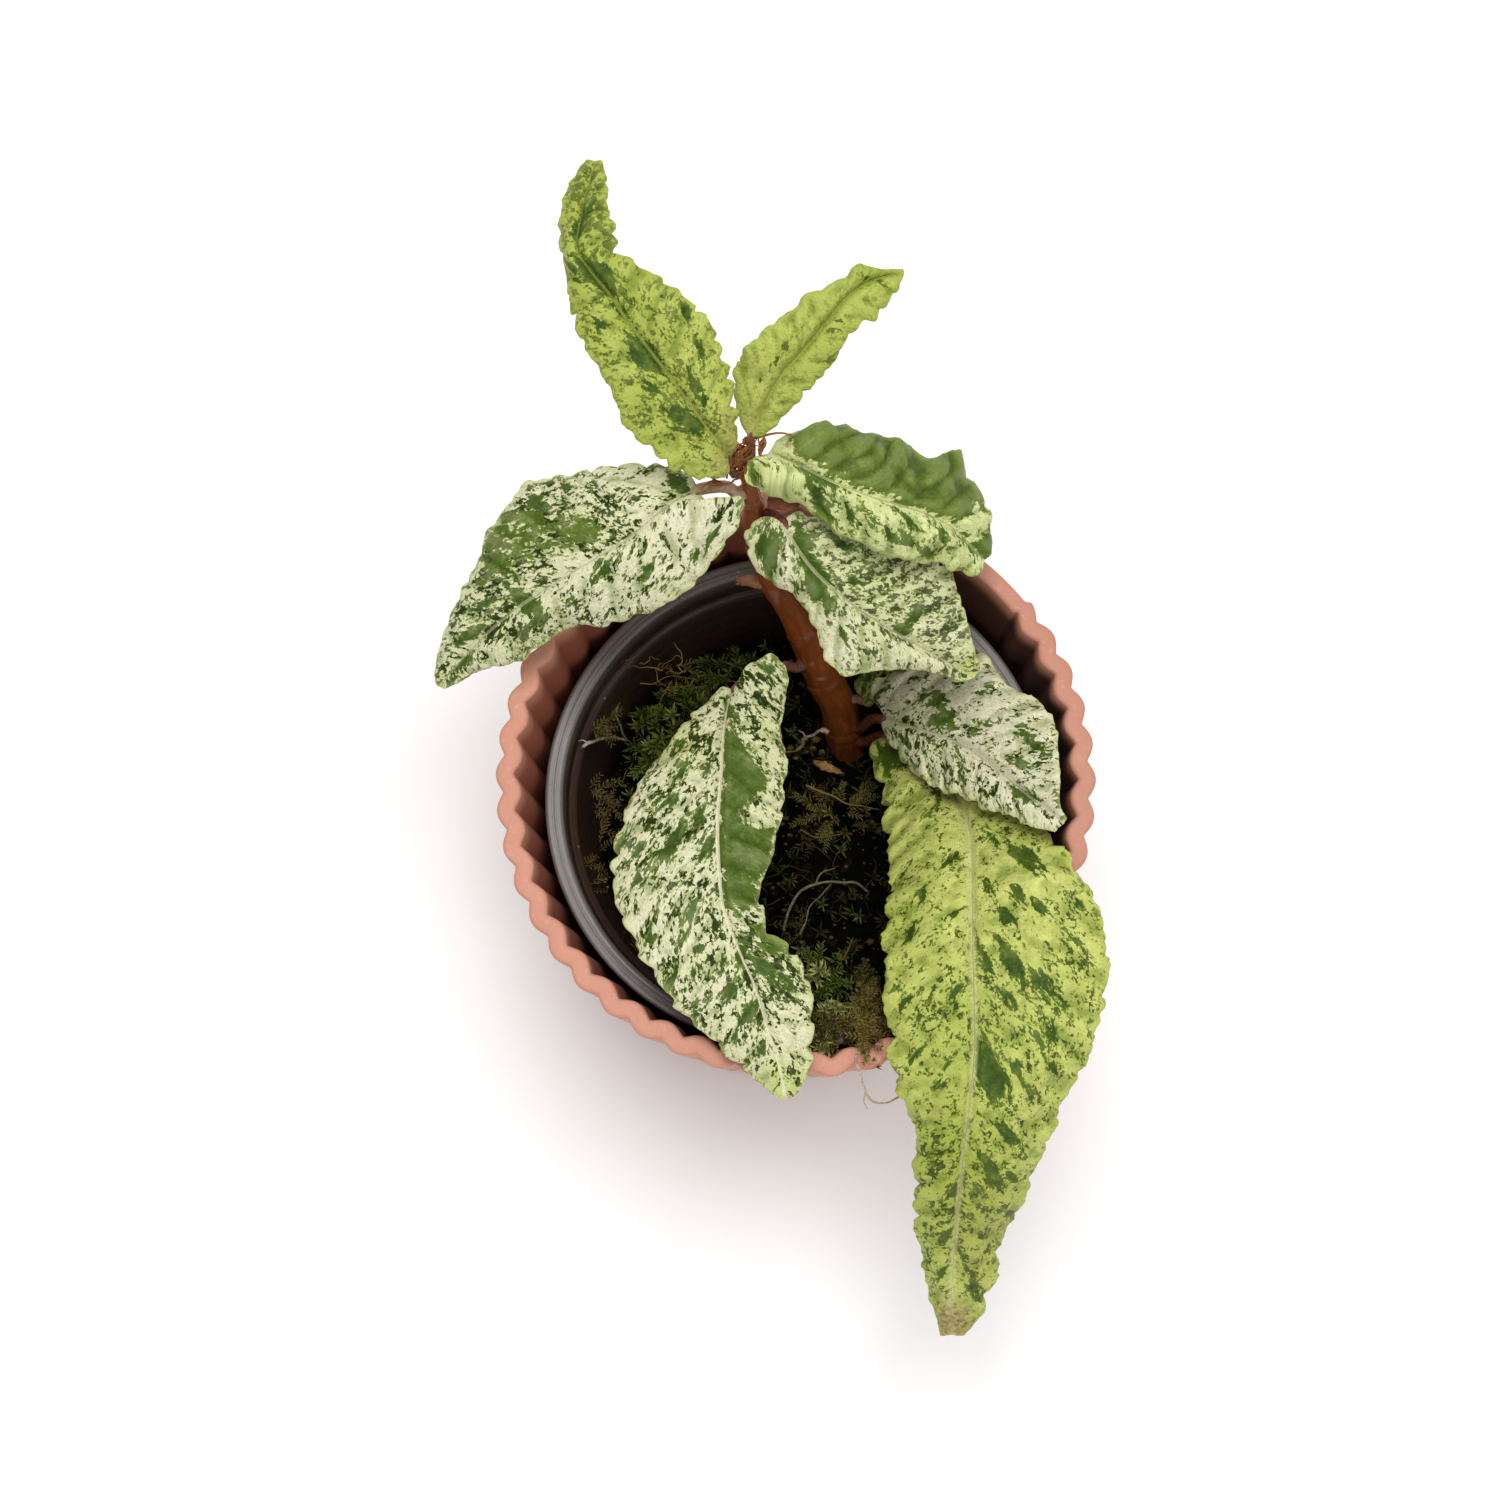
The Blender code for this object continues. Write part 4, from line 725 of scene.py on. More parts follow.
# ------------------------------------------------------------ leaf markings
# patches: solid green flecks as sheet boxes (u0, v0, u1, v1); each is an
# oval that leans along the side veins.  areas: outlines of large solid areas,
# with how much lighter they are.  zones: soft ovals (u, v, ru, rv) that add
# to how green (dens), how warm and how dry the blade is.
MARKS = {
    "leaf_left": dict(
        slot="leaf_cream", dens=0.075, warm=0.10, rib=(0.30, 0.12), ribpale=0.05, lobe=3.2, scallop=0.42, spacing=4.4,
        wave=0.55, red=0.12, slim=0.72, cap=0.30,
        patches=((588, 479, 600, 488), (556, 482, 577, 496), (664, 469, 686, 493),
                 (592, 553, 618, 586), (504, 583, 548, 620), (472, 596, 508, 611),
                 (453, 625, 483, 646), (520, 622, 532, 640), (708, 527, 716, 545),
                 (643, 564, 650, 576), (530, 497, 552, 512),
                 (500, 520, 520, 548), (476, 549, 514, 576), (560, 500, 574, 512),
                 (456, 655, 470, 668), (692, 550, 697, 560),
                 (556, 600, 568, 610)),
        areas=(((484, 562), (490, 534), (508, 517), (532, 510), (552, 516), (580, 514), (600, 524),
                (596, 542), (570, 547), (548, 556), (520, 558), (500, 578), (482, 586), 0.9),),
        zones=((520, 530, 48, 26, 0.10, 0.45, 0.0), (585, 533, 42, 22, 0.09, 0.40, 0.0),
               (495, 562, 34, 26, 0.08, 0.20, 0.0), (560, 505, 70, 24, 0.07, 0.0, 0.0),
               (490, 620, 66, 40, 0.075, 0.34, 0.0), (637, 480, 34, 14, -0.06, 0.0, 0.0),
               (698, 528, 46, 36, -0.15, -0.10, 0.0), (690, 494, 36, 9, 0.0, 0.45, 0.0),
               (441, 684, 16, 16, 0.10, 0.5, 0.0), (648, 590, 46, 28, -0.04, 0.0, 0.0))),
    "leaf_front_left": dict(
        slot="leaf_cream", dens=0.085, warm=0.18, rib=(0.50, 0.22), ribpale=0.66, groove=0.16, lobe=4.4, scallop=0.60, spacing=4.4,
        wave=0.45, red=0.80, slim=0.85,
        patches=((663, 814, 686, 872), (693, 802, 703, 836), (701, 831, 714, 862),
                 (678, 763, 690, 779), (648, 799, 658, 806), (666, 797, 676, 806),
                 (630, 836, 653, 859), (645, 852, 656, 865), (631, 870, 650, 889),
                 (617, 834, 630, 854), (655, 890, 660, 919), (686, 900, 702, 921),
                 (699, 944, 708, 949), (696, 962, 702, 972), (715, 959, 728, 976),
                 (665, 972, 677, 991), (724, 983, 736, 999), (739, 1003, 758, 1024),
                 (729, 1031, 737, 1042), (756, 1047, 763, 1064), (743, 1058, 751, 1066),
                 (753, 956, 775, 980), (778, 975, 796, 996), (760, 664, 779, 675),
                 (735, 940, 744, 980), (706, 765, 714, 778), (650, 930, 662, 942),
                 (676, 936, 684, 948), (694, 1000, 706, 1012), (676, 742, 684, 752)),
        areas=(((729, 698), (734, 706), (743, 740), (749, 753), (757, 771), (768, 778),
                (764, 790), (750, 800), (744, 815), (748, 828), (774, 827), (774, 850),
                (765, 877), (752, 884), (759, 893), (757, 908), (738, 914), (727, 906),
                (723, 890), (719, 850), (719, 815), (722, 778), (724, 740), (727, 710), 0.42),
               ((753, 926), (770, 928), (789, 944), (786, 954), (768, 952), (755, 940), 0.45)),
        zones=((764, 805, 18, 26, -0.02, 0.2, 0.0), (770, 975, 36, 46, 0.17, 0.15, 0.0),
               (790, 1036, 26, 20, -0.16, -0.05, 0.0), (783, 1084, 34, 24, -0.02, 0.75, 0.0),
               (683, 750, 28, 26, 0.02, 0.5, 0.0), (764, 740, 18, 40, -0.03, 0.4, 0.0),
               (766, 672, 18, 12, 0.08, 0.25, 0.0), (668, 860, 44, 50, 0.04, 0.0, 0.0),
               (640, 900, 26, 40, -0.05, -0.05, 0.0), (730, 925, 8, 16, -0.2, -0.1, 0.0),
               (788, 1098, 5, 4, 0.0, 0.0, 0.6))),
    "leaf_right_upper": dict(
        slot="leaf_green", dens=-0.03, warm=0.0, rib=(0.3, 0.2), ribpale=0.1, quilt=2.0, billow=0.85, spacing=3.8,
        wave=0.7, red=0.9, crease=9.0, stray=0.45, slim=0.8,
        patches=((811, 487, 836, 527), (797, 470, 836, 486), (864, 513, 886, 527),
                 (879, 530, 914, 544), (941, 534, 950, 544),
                 (838, 500, 850, 514), (900, 512, 914, 524), (918, 545, 932, 556)),
        areas=(((793, 452), (816, 464), (836, 477), (857, 484), (891, 496), (902, 504),
                (924, 506), (928, 515), (950, 522), (959, 519), (966, 516), (974, 502),
                (992, 504), (1004, 470), (980, 430), (900, 415), (792, 415), 0.8),
               ((957, 536), (976, 540), (996, 520), (996, 560), (979, 560), (968, 550), 0.3),
               ((747, 460), (755, 459), (757, 470), (755, 481), (748, 484), (745, 474), 0.1)),
        zones=((972, 527, 14, 12, -0.08, 0.1, 0.0), (785, 482, 30, 20, -0.10, -0.10, 0.0),
               (784, 443, 10, 9, -0.2, -0.1, 0.0), (746, 480, 14, 10, -0.1, -0.3, 0.0), (788, 446, 2.5, 2.5, 0.0, 0.0, 0.9),
               (890, 540, 70, 30, -0.05, 0.05, 0.0), (972, 568, 18, 12, -0.02, 0.2, 0.0))),
    "leaf_right_middle": dict(
        slot="leaf_cream", dens=0.11, warm=0.42, rib=(0.3, 0.2), ribpale=0.06, quilt=1.2, lobe=3.0, scallop=0.40, spacing=3.6,
        wave=0.5, red=0.95, mild=0.10, slim=0.75,
        patches=((828, 537, 860, 553), (890, 613, 916, 639), (842, 627, 847, 640),
                 (752, 526, 760, 537), (762, 528, 770, 536), (860, 560, 872, 570),
                 (846, 575, 856, 586)),
        areas=(((766, 529), (776, 527), (781, 545), (778, 575), (769, 586), (761, 568),
                (757, 545), 0.15),
               ((796, 522), (804, 530), (816, 550), (829, 575), (836, 600), (829, 609),
                (812, 597), (799, 576), (790, 550), 0.2)),
        zones=((828, 642, 28, 34, -0.24, -0.45, 0.0), (968, 667, 14, 16, 0.0, 0.6, 0.0),
               (785, 562, 9, 36, -0.08, -0.45, 0.0), (752, 560, 6, 26, -0.3, -0.45, 0.0),
               (890, 585, 60, 36, 0.06, 0.15, 0.0), (900, 665, 60, 14, -0.06, -0.2, 0.0))),
    "leaf_right_lower": dict(
        slot="leaf_cream", dens=0.0, warm=0.0, rib=(0.35, 0.2), ribpale=0.12, spacing=3.9,
        wave=0.75, lobe=3.8, quilt=1.0, red=0.9, slim=0.70,
        patches=((954, 737, 962, 768), (939, 752, 943, 770), (916, 686, 927, 702),
                 (1014, 725, 1034, 739), (1032, 746, 1045, 752), (1005, 755, 1036, 771),
                 (1005, 786, 1039, 802), (971, 724, 991, 731), (874, 689, 882, 704),
                 (975, 690, 986, 698), (900, 735, 910, 744), (920, 750, 928, 758)),
        areas=(((937, 687), (948, 705), (962, 725), (956, 737), (948, 727), (930, 731),
                (929, 719), (936, 714), (932, 700), 0.15),),
        zones=((920, 752, 42, 36, 0.10, 0.25, 0.0), (907, 720, 10, 8, 0.12, 0.4, 0.0),
               (976, 786, 30, 14, 0.12, 0.1, 0.0), (1010, 720, 40, 50, -0.03, -0.05, 0.0),
               (880, 690, 10, 14, 0.05, 0.1, 0.0), (1020, 780, 30, 26, 0.03, 0.0, 0.0))),
    "leaf_small_under": dict(
        slot="leaf_green", dens=0.14, warm=0.9, rib=(0.3, 0.2), ribpale=0.2, spacing=2.2,
        wave=0.2, red=0.5, patches=(), areas=(),
        zones=((862, 690, 12, 20, 0.06, 0.2, 0.0),)),
    "leaf_top_left": dict(
        slot="leaf_lime", dens=0.093, warm=0.86, rib=(0.35, 0.15), ribpale=0.1, mild=0.28, groove=0.2, quilt=0.9, spacing=4.2,
        wave=0.5, red=0.75, slim=0.80, ribfold=0.6, stray=0.25, lobe=2.9, scallop=0.72,
        patches=((652, 405, 708, 432), (626, 337, 667, 375), (577, 251, 617, 302),
                 (566, 234, 581, 251), (577, 200, 593, 236), (580, 173, 587, 190),
                 (665, 327, 672, 342), (690, 373, 703, 398), (697, 342, 703, 367),
                 (597, 320, 608, 329), (583, 334, 594, 339), (644, 382, 657, 392),
                 (694, 446, 704, 453), (602, 238, 612, 247), (680, 302, 688, 318),
                 (596, 272, 606, 290), (620, 300, 632, 314), (664, 360, 674, 370),
                 (704, 396, 712, 410), (570, 262, 578, 280)),
        areas=(),
        zones=((729, 438, 9, 32, -0.05, 0.0, 0.45), (738, 468, 15, 24, -0.15, 0.0, 0.85), (592, 200, 22, 50, 0.11, 0.3, 0.0),
               (700, 330, 30, 40, -0.01, -0.2, 0.0), (610, 290, 30, 40, 0.06, 0.1, 0.0),
               (720, 465, 14, 12, -0.06, 0.0, 0.4), (710, 410, 26, 50, -0.03, -0.3, 0.0),
               (690, 462, 30, 16, -0.06, -0.1, 0.0))),
    "leaf_top_right": dict(
        slot="leaf_lime", dens=0.03, warm=0.78, rib=(0.35, 0.2), ribpale=0.0, mild=0.62, groove=0.35, quilt=1.0, spacing=3.4,
        wave=0.35, red=0.75, slim=0.6, billow=0.45, ribfold=0.6, stray=0.25,
        patches=((823, 354, 833, 368), (836, 321, 840, 326), (769, 361, 775, 369),
                 (876, 283, 893, 289), (870, 319, 877, 326), (782, 340, 790, 350)),
        areas=(),
        zones=((752, 425, 12, 22, -0.04, -0.1, 0.25), (752, 438, 9, 9, -0.1, 0.0, 0.6), (880, 280, 30, 20, 0.06, 0.2, 0.0),
               (790, 330, 30, 26, 0.03, 0.0, 0.0), (765, 380, 24, 30, -0.02, -0.25, 0.0))),
    "leaf_front_right": dict(
        slot="leaf_lime", dens=-0.005, warm=0.24, rib=(1.8, 0.7), ribpale=0.36, quilt=0.45, stray=0.2, swell=5.6, mild=0.10, hem=4.0, groove=0.14, notch=0.12, slim=0.85,
        lobe=5.6, scallop=0.85, billow=0.45, spacing=4.7,
        wave=0.85, red=0.9,
        patches=((1012, 847, 1042, 871), (1060, 851, 1065, 858), (921, 810, 928, 819),
                 (933, 783, 939, 805), (942, 856, 953, 867), (917, 890, 925, 903),
                 (951, 914, 957, 918), (917, 967, 924, 976), (951, 987, 962, 996),
                 (889, 985, 908, 992), (901, 999, 910, 1008), (974, 928, 984, 969),
                 (980, 950, 992, 969), (1001, 912, 1014, 928), (1001, 940, 1021, 983),
                 (1003, 990, 1019, 1014), (1031, 965, 1051, 1001), (1012, 885, 1021, 903),
                 (1042, 1013, 1051, 1040), (976, 1034, 1007, 1114), (1007, 1060, 1021, 1076),
                 (999, 1126, 1019, 1145), (979, 1149, 999, 1189), (947, 1185, 960, 1197),
                 (972, 1185, 984, 1193), (1029, 1032, 1043, 1044), (936, 1080, 948, 1090),
                 (944, 1052, 958, 1068), (1003, 1211, 1021, 1217), (936, 1229, 952, 1243),
                 (968, 1265, 979, 1299), (938, 1267, 946, 1279), (1064, 930, 1076, 944),
                 (1058, 1000, 1068, 1012), (900, 870, 906, 880), (905, 930, 913, 942),
                 (1076, 900, 1084, 912), (1024, 1085, 1036, 1100), (912, 1050, 922, 1060),
                 (984, 830, 994, 842), (1034, 900, 1044, 912), (960, 1120, 970, 1136),
                 (1010, 1170, 1020, 1182), (926, 1150, 936, 1160), (954, 1240, 962, 1256),
                 (984, 880, 992, 894), (928, 940, 936, 950), (1046, 1060, 1056, 1072)),
        areas=(((873, 744), (884, 741), (897, 748), (904, 760), (900, 776), (888, 779),
                (876, 768), 0.0),),
        zones=((905, 914, 18, 14, -0.05, 0.6, 0.0), (1020, 828, 40, 20, 0.07, 0.40, 0.0), (990, 880, 80, 80, -0.045, -0.24, 0.0),
               (940, 1146, 26, 30, 0.11, 0.4, 0.0), (951, 1320, 24, 20, 0.02, 0.1, 0.85),
               (1068, 988, 3.5, 4.0, -0.3, -0.3, 0.35), (941, 1111, 4.5, 2.5, 0.0, 0.0, 0.9),
               (881, 735, 10, 9, 0.10, 0.6, 0.0), (1050, 1000, 50, 60, 0.07, 0.1, 0.0),
               (980, 1230, 40, 60, 0.05, 0.15, 0.15), (920, 850, 30, 70, 0.0, 0.15, 0.0),
               (1080, 940, 20, 50, 0.02, -0.1, 0.0), (960, 1030, 60, 60, 0.055, 0.50, 0.0), (960, 1180, 60, 90, 0.055, 0.62, 0.0),
               (925, 960, 34, 16, 0.0, 0.25, 0.0), (980, 1000, 34, 60, 0.03, 0.0, 0.0))),
}


# ------------------------------------------------------------------ stem line
def stem_line(count):
    pts = spline([place(*p[:3]) for p in STEM], count)
    radii = spline([(p[3], 0.0, i * 5.0) for i, p in enumerate(STEM)], count)[:, 0]
    return pts, radii


def stalk_start(node, toward):
    """Where a leaf stalk leaves the stem, and which way."""
    pts, radii = stem_line(160)
    if node is None:
        axis = unit(pts[-1] - pts[-3])
        return pts[-1], axis, radii[-1]
    want = place(*node)
    i = 1 + int(np.argmin(np.linalg.norm(pts[1:-1] - want, axis=1)))
    axis = unit(pts[i + 1] - pts[i - 1])
    out = toward - pts[i]
    out = unit(out - axis * np.dot(out, axis))
    return pts[i], out, radii[i]


# --------------------------------------------------------------------- leaves
def outline_depth(uv, ring):
    """Sheet distance inside a closed outline; negative outside it."""
    ring = np.asarray(ring, float)
    nxt = np.roll(ring, -1, axis=0)
    p = uv[..., None, :]
    e = nxt - ring
    w = p - ring
    t = np.clip((w * e).sum(-1) / np.maximum((e * e).sum(-1), 1e-9), 0, 1)
    dist = np.linalg.norm(w - e * t[..., None], axis=-1).min(-1)
    a, b = ring[:, 1] > p[..., 1], nxt[:, 1] > p[..., 1]
    x = ring[:, 0] + (p[..., 1] - ring[:, 1]) * e[:, 0] / np.where(e[:, 1] == 0, 1e-9, e[:, 1])
    inside = ((a != b) & (p[..., 0] < x)).sum(-1) % 2 == 1
    return np.where(inside, dist, -dist)


def patch_depth(uv, boxes, mid_uv, slim=1.0):
    """Millimetres inside the nearest oval patch; negative outside."""
    best = np.full(uv.shape[:-1], -9.0)
    tang = unit(np.gradient(mid_uv, axis=0))
    for u0, v0, u1, v1 in boxes:
        c = np.array([(u0 + u1) / 2.0, (v0 + v1) / 2.0])
        du, dv = u1 - u0 + 2.0, v1 - v0 + 2.0
        k = int(np.argmin(np.linalg.norm(mid_uv - c, axis=1)))
        side = c - mid_uv[k]
        side = side - tang[k] * np.dot(side, tang[k])
        run = 0.82 * tang[k] + 0.57 * unit(side)
        lean = 1.0 if run[0] * run[1] >= 0 else -1.0
        diag = math.hypot(du, dv)
        major = np.array([du, lean * dv]) / diag
        minor = np.array([-major[1], major[0]])
        half_long = 0.5 * diag * 0.97
        half_wide = slim * max(0.5 * du * dv / diag * 1.02, 0.30 * min(du, dv))
        d = uv - c
        a, b = d @ major / half_long, d @ minor / half_wide
        rho = np.abs(a) ** 1.25 + np.abs(b) ** 1.5
        rho = rho ** 0.75
        best = np.maximum(best, (1.0 - rho) * half_wide / 7.3 * 1.25)
    return best


def leaf_piece(name):
    spec, look = LEAVES[name], MARKS[name]
    seed = sum(ord(c) for c in name)
    mid0 = run_of(spec["mid"])
    long = length_of(spline(mid0, 200))[-1]
    rows = int(long / 0.38) + 8
    t = np.linspace(0.0, 1.0, rows)
    mid = spline(mid0, stops=t)
    left = spline(run_of(spec["left"]), stops=t)
    right = spline(run_of(spec["right"]), stops=t)
    widest = max(np.linalg.norm(left - mid, axis=1).max(), np.linalg.norm(right - mid, axis=1).max())
    half = int(widest / 0.36) + 6
    x = np.linspace(0.0, 1.0, half + 1)
    f = x - 0.07 * np.sin(2 * math.pi * x)
    s = np.concatenate([-f[::-1], f[1:]])
    cols = len(s)
    g = np.abs(s)[None, :, None]
    edge_pt = np.where(s[None, :, None] < 0, left[:, None, :], right[:, None, :])
    surf = mid[:, None, :] * (1 - g) + edge_pt * g
    grow = (np.minimum(1.0, t * 7.0) * np.minimum(1.0, (1 - t) * 5.0))[:, None]
    ga = g[..., 0]
    surf = surf.copy()
    surf[..., 2] += spec["arch"] * grow * 4.0 * ga * (1 - ga)

    # place on the blade: a along the midrib, d to the side (mm)
    fine_mid = spline(mid0, 900)
    fine_run = length_of(fine_mid)
    fine_t = unit(np.gradient(fine_mid, axis=0))
    flat = surf.reshape(-1, 3)
    near = np.empty(len(flat), int)
    for k in range(0, len(flat), 4096):
        gap = flat[k:k + 4096, None, :] - fine_mid[None, ::3, :]
        near[k:k + 4096] = 3 * np.argmin((gap * gap).sum(-1), axis=1)
    rel = flat - fine_mid[near]
    along = (rel * fine_t[near]).sum(-1)
    a = (fine_run[near] + along).reshape(rows, cols)
    d = np.linalg.norm(rel - along[:, None] * fine_t[near], axis=1).reshape(rows, cols)
    sgn = np.sign(s)[None, :] * np.ones((rows, 1))
    half_w = np.maximum(np.linalg.norm(edge_pt - mid[:, None, :], axis=-1), 0.2)
    to_edge = half_w * (1 - ga)

    # frame of the surface
    du = np.gradient(surf, axis=0)
    dv = np.gradient(surf, axis=1)
    n = np.cross(dv, du)
    n = np.where(n[..., 2:3] < 0, -n, n)
    n = unit(n + np.array([0.0, 0.0, 1e-6]))
    steep = n[..., 2:3] < 0.35
    n = np.where(steep, unit(n + np.array([0.0, 0.0, 0.6])), n)
    for _ in range(6):
        n[1:-1] = unit(n[:-2] + 2 * n[1:-1] + n[2:])
        n[:, 1:-1] = unit(n[:, :-2] + 2 * n[:, 1:-1] + n[:, 2:])
    outward = unit(edge_pt - mid[:, None, :])

    # scalloped margin
    er = np.where(s[None, :] < 0, length_of(left)[:, None], length_of(right)[:, None])
    lobe = look.get("lobe", 3.4)
    wob = er + 0.30 * lobe * noise2(er / lobe / 1.1, er * 0 + seed, 3) + (s[None, :] > 0) * 1.1
    tooth = np.abs(np.sin(math.pi * wob / lobe)) ** 0.55 - 0.62
    tooth = tooth * (0.95 + 0.75 * noise2(er / lobe / 1.6, er * 0 + 7 + seed, 5))
    tooth = tooth + 0.42 * noise2(er / 1.15, er * 0 + seed + 2, 6) + 0.22 * noise2(er / 0.55, er * 0 + seed + 4, 8)
    reach = np.exp(-(to_edge / 0.85) ** 2)
    depth = look.get("scallop", 0.50) * np.minimum(1.0, half_w / 4.0) * np.minimum(1.0, (1 - t) * 14)[:, None]
    depth = depth * (0.25 + 0.75 * smooth(0.02, 0.12, t))[:, None]
    surf = surf + outward * (tooth * reach * depth)[..., None]

    # height over the blade
    spacing = look["spacing"]
    phase = (a - 0.80 * d + 0.012 * d * d) / spacing + np.where(sgn > 0, 0.5, 0.0)
    phase = phase + look.get("stray", 0.10) * noise2(a / 6.0, d / 6.0 + 4 * sgn, seed)
    inner = smooth(0.3, 2.2, d) * np.minimum(1.0, to_edge / 1.2 + 0.35)
    inner = inner * (0.25 + 0.75 * smooth(0.03, 0.16, t))[:, None]
    x1 = np.abs(phase - np.round(phase)) * spacing
    fine_phase = (a + 0.9 * d) / (spacing * 0.42) + 0.2 * noise2(a / 3.0, d / 3.0, seed + 9)
    x2 = np.abs(fine_phase - np.round(fine_phase)) * spacing * 0.42
    quilt = look.get("quilt", 0.8)
    height = 0.20 * quilt * np.abs(np.sin(math.pi * phase)) ** 0.8 * inner
    height -= 0.12 * quilt * np.exp(-(x1 / 0.28) ** 2) * inner
    height += look.get("billow", 0.30) * fractal(a / 5.5, d * sgn / 5.5, seed + 31, 3) * inner
    height += 0.05 * (1 - np.exp(-(x2 / 0.35) ** 2)) * inner
    height += 0.07 * fractal(a / 1.5, d * sgn / 1.5, seed + 3, 2) * inner
    wide_here = np.minimum(1.0, half_w / 3.0)
    height -= look.get("groove", 0.30) * np.exp(-(d / 0.55) ** 2) * wide_here * smooth(0.0, 0.06, t)[:, None]
    height += 0.16 * np.exp(-((d - 1.15) / 0.6) ** 2) * wide_here
    # waves that grow towards the margin
    wave = look["wave"] * ga ** look.get("hem", 2.2) * np.minimum(1.0, half_w / 6.0) * smooth(0.0, 0.12, t)[:, None]
    lift = wave * (np.sin(2 * math.pi * (a - 0.55 * d) / look.get("swell", spacing) + 1.3 * sgn + seed)
                   + 0.5 * noise2(a / 3.1, 3.0 * sgn, seed + 5))
    ruffle = 0.10 * np.exp(-(to_edge / 1.0) ** 2) * tooth
    height = height + ruffle
    surf = surf + n * height[..., None]
    surf[..., 2] += lift * 0.62
    # creases and swells, against the mean height round about, for the shade painted in the creases and the light
    # painted on the swells
    level = height + 0.25 * lift
    near = level
    for step in (1, 1, 2, 2, 3):
        for axis in (0, 1):
            j = np.arange(near.shape[axis])
            ahead = np.take(near, np.minimum(j + step, j[-1]), axis)
            back = np.take(near, np.maximum(j - step, 0), axis)
            near = 0.5 * near + 0.25 * (ahead + back)
    fold = np.clip((level - near) * look.get("crease", 9.0), -1.0, 1.0)
    keep = look.get("ribfold", 0.1)
    fold = fold * np.minimum(1.0, to_edge / 1.0) * (keep + (1.0 - keep) * smooth(0.5, 1.5, d))
    fold = fold * smooth(0.02, 0.15, t)[:, None]

    # two faces with a thin rounded margin
    thick = 0.24 * np.minimum(1.0, 0.30 + np.sqrt(np.maximum(to_edge, 0.0) / 0.8))
    ridge = 0.14 * np.exp(-(x1 / 0.30) ** 2) * inner
    top = surf + n * thick[..., None]
    low = surf - n * (thick + ridge)[..., None]
    verts = np.concatenate([top.reshape(-1, 3), low.reshape(-1, 3)])
    count = rows * cols
    quads = [grid_faces(rows, cols), grid_faces(rows, cols, count, flip=True)]
    i = np.arange(rows - 1) * cols
    quads.append(np.stack([i, i + cols, i + cols + count, i + count], -1))
    e = i + cols - 1
    quads.append(np.stack([e + cols, e, e + count, e + cols + count], -1))
    j = np.arange(cols - 1)
    quads.append(np.stack([j + 1, j, j + count, j + 1 + count], -1))
    k = (rows - 1) * cols + j
    quads.append(np.stack([k, k + 1, k + 1 + count, k + count], -1))
    quads = np.vstack(quads)

    # markings, from the place of each point on the plan sheet
    uv = sheet(surf)
    mid_uv = sheet(spline(mid0, 160))
    solid = patch_depth(uv, look["patches"], mid_uv, look.get("slim", 1.0))
    soft = np.zeros_like(solid)
    for area in look["areas"]:
        depth_mm = outline_depth(uv, area[:-1]) / 7.3
        soft = np.where(depth_mm > solid, area[-1], soft)
        solid = np.maximum(solid, np.minimum(depth_mm, look.get("cap", 1.5)))
    dens = look["dens"] + 0.03 * noise2(a / 7.0, d * sgn / 7.0, seed + 21)
    warm = look["warm"] + 0.06 * noise2(a / 5.0, d * sgn / 5.0, seed + 23)
    # painted shade: greener in the notches of the margin, and paler on the lobes as painted light
    dens = dens - look.get("notch", 0.06) * np.exp(-(to_edge / 2.2) ** 2) * np.clip(tooth, -1.5, 0.6)
    dry = np.zeros_like(dens)
    for u, v, ru, rv, dd, dw, dr in look["zones"]:
        w = np.exp(-(((uv[..., 0] - u) / ru) ** 2 + ((uv[..., 1] - v) / rv) ** 2) ** 1.3)
        dens, warm, dry = dens + dd * w, warm + dw * w, np.maximum(dry, dr * w)
    theta = math.radians(look.get("grain", 28.0))
    lc = np.stack([a * math.sin(theta) - d * math.cos(theta),
                   a * math.cos(theta) + d * math.sin(theta) + np.where(sgn < 0, 71.0, 0.0),
                   d * 0.0], -1) + np.array([seed % 97, seed % 53, 0.0]) * 3.0
    rib_w = look["rib"][0] + (look["rib"][1] - look["rib"][0]) * np.minimum(1, a / long * 1.4)
    rib = d / np.maximum(rib_w, 0.05) * 0.42
    solid = solid - 0.12
    two = lambda q: np.concatenate([q.ravel(), q.ravel()])
    attrs = dict(lc=np.concatenate([lc.reshape(-1, 3)] * 2), dens=two(np.clip(dens, -0.5, 0.4)),
                 solid=two(np.clip(solid, -2.0, 2.0)), soft=two(soft),
                 warm=two(np.clip(warm, 0, 1.8)), dry=two(np.clip(dry, 0, 1)), rib=two(rib),
                 edge=two(to_edge), vein=two(phase + 0.5),
                 ribpale=np.full(2 * count, look["ribpale"]),
                 stalk=np.zeros(2 * count), red=np.full(2 * count, look["red"]),
                 mild=np.full(2 * count, look.get("mild", 0.0)), fold=two(fold),
                 seam=two((1.0 - smooth(0.14, 0.30, d)) * (1.0 - 0.55 * smooth(0.35, 0.85, t))[:, None]))

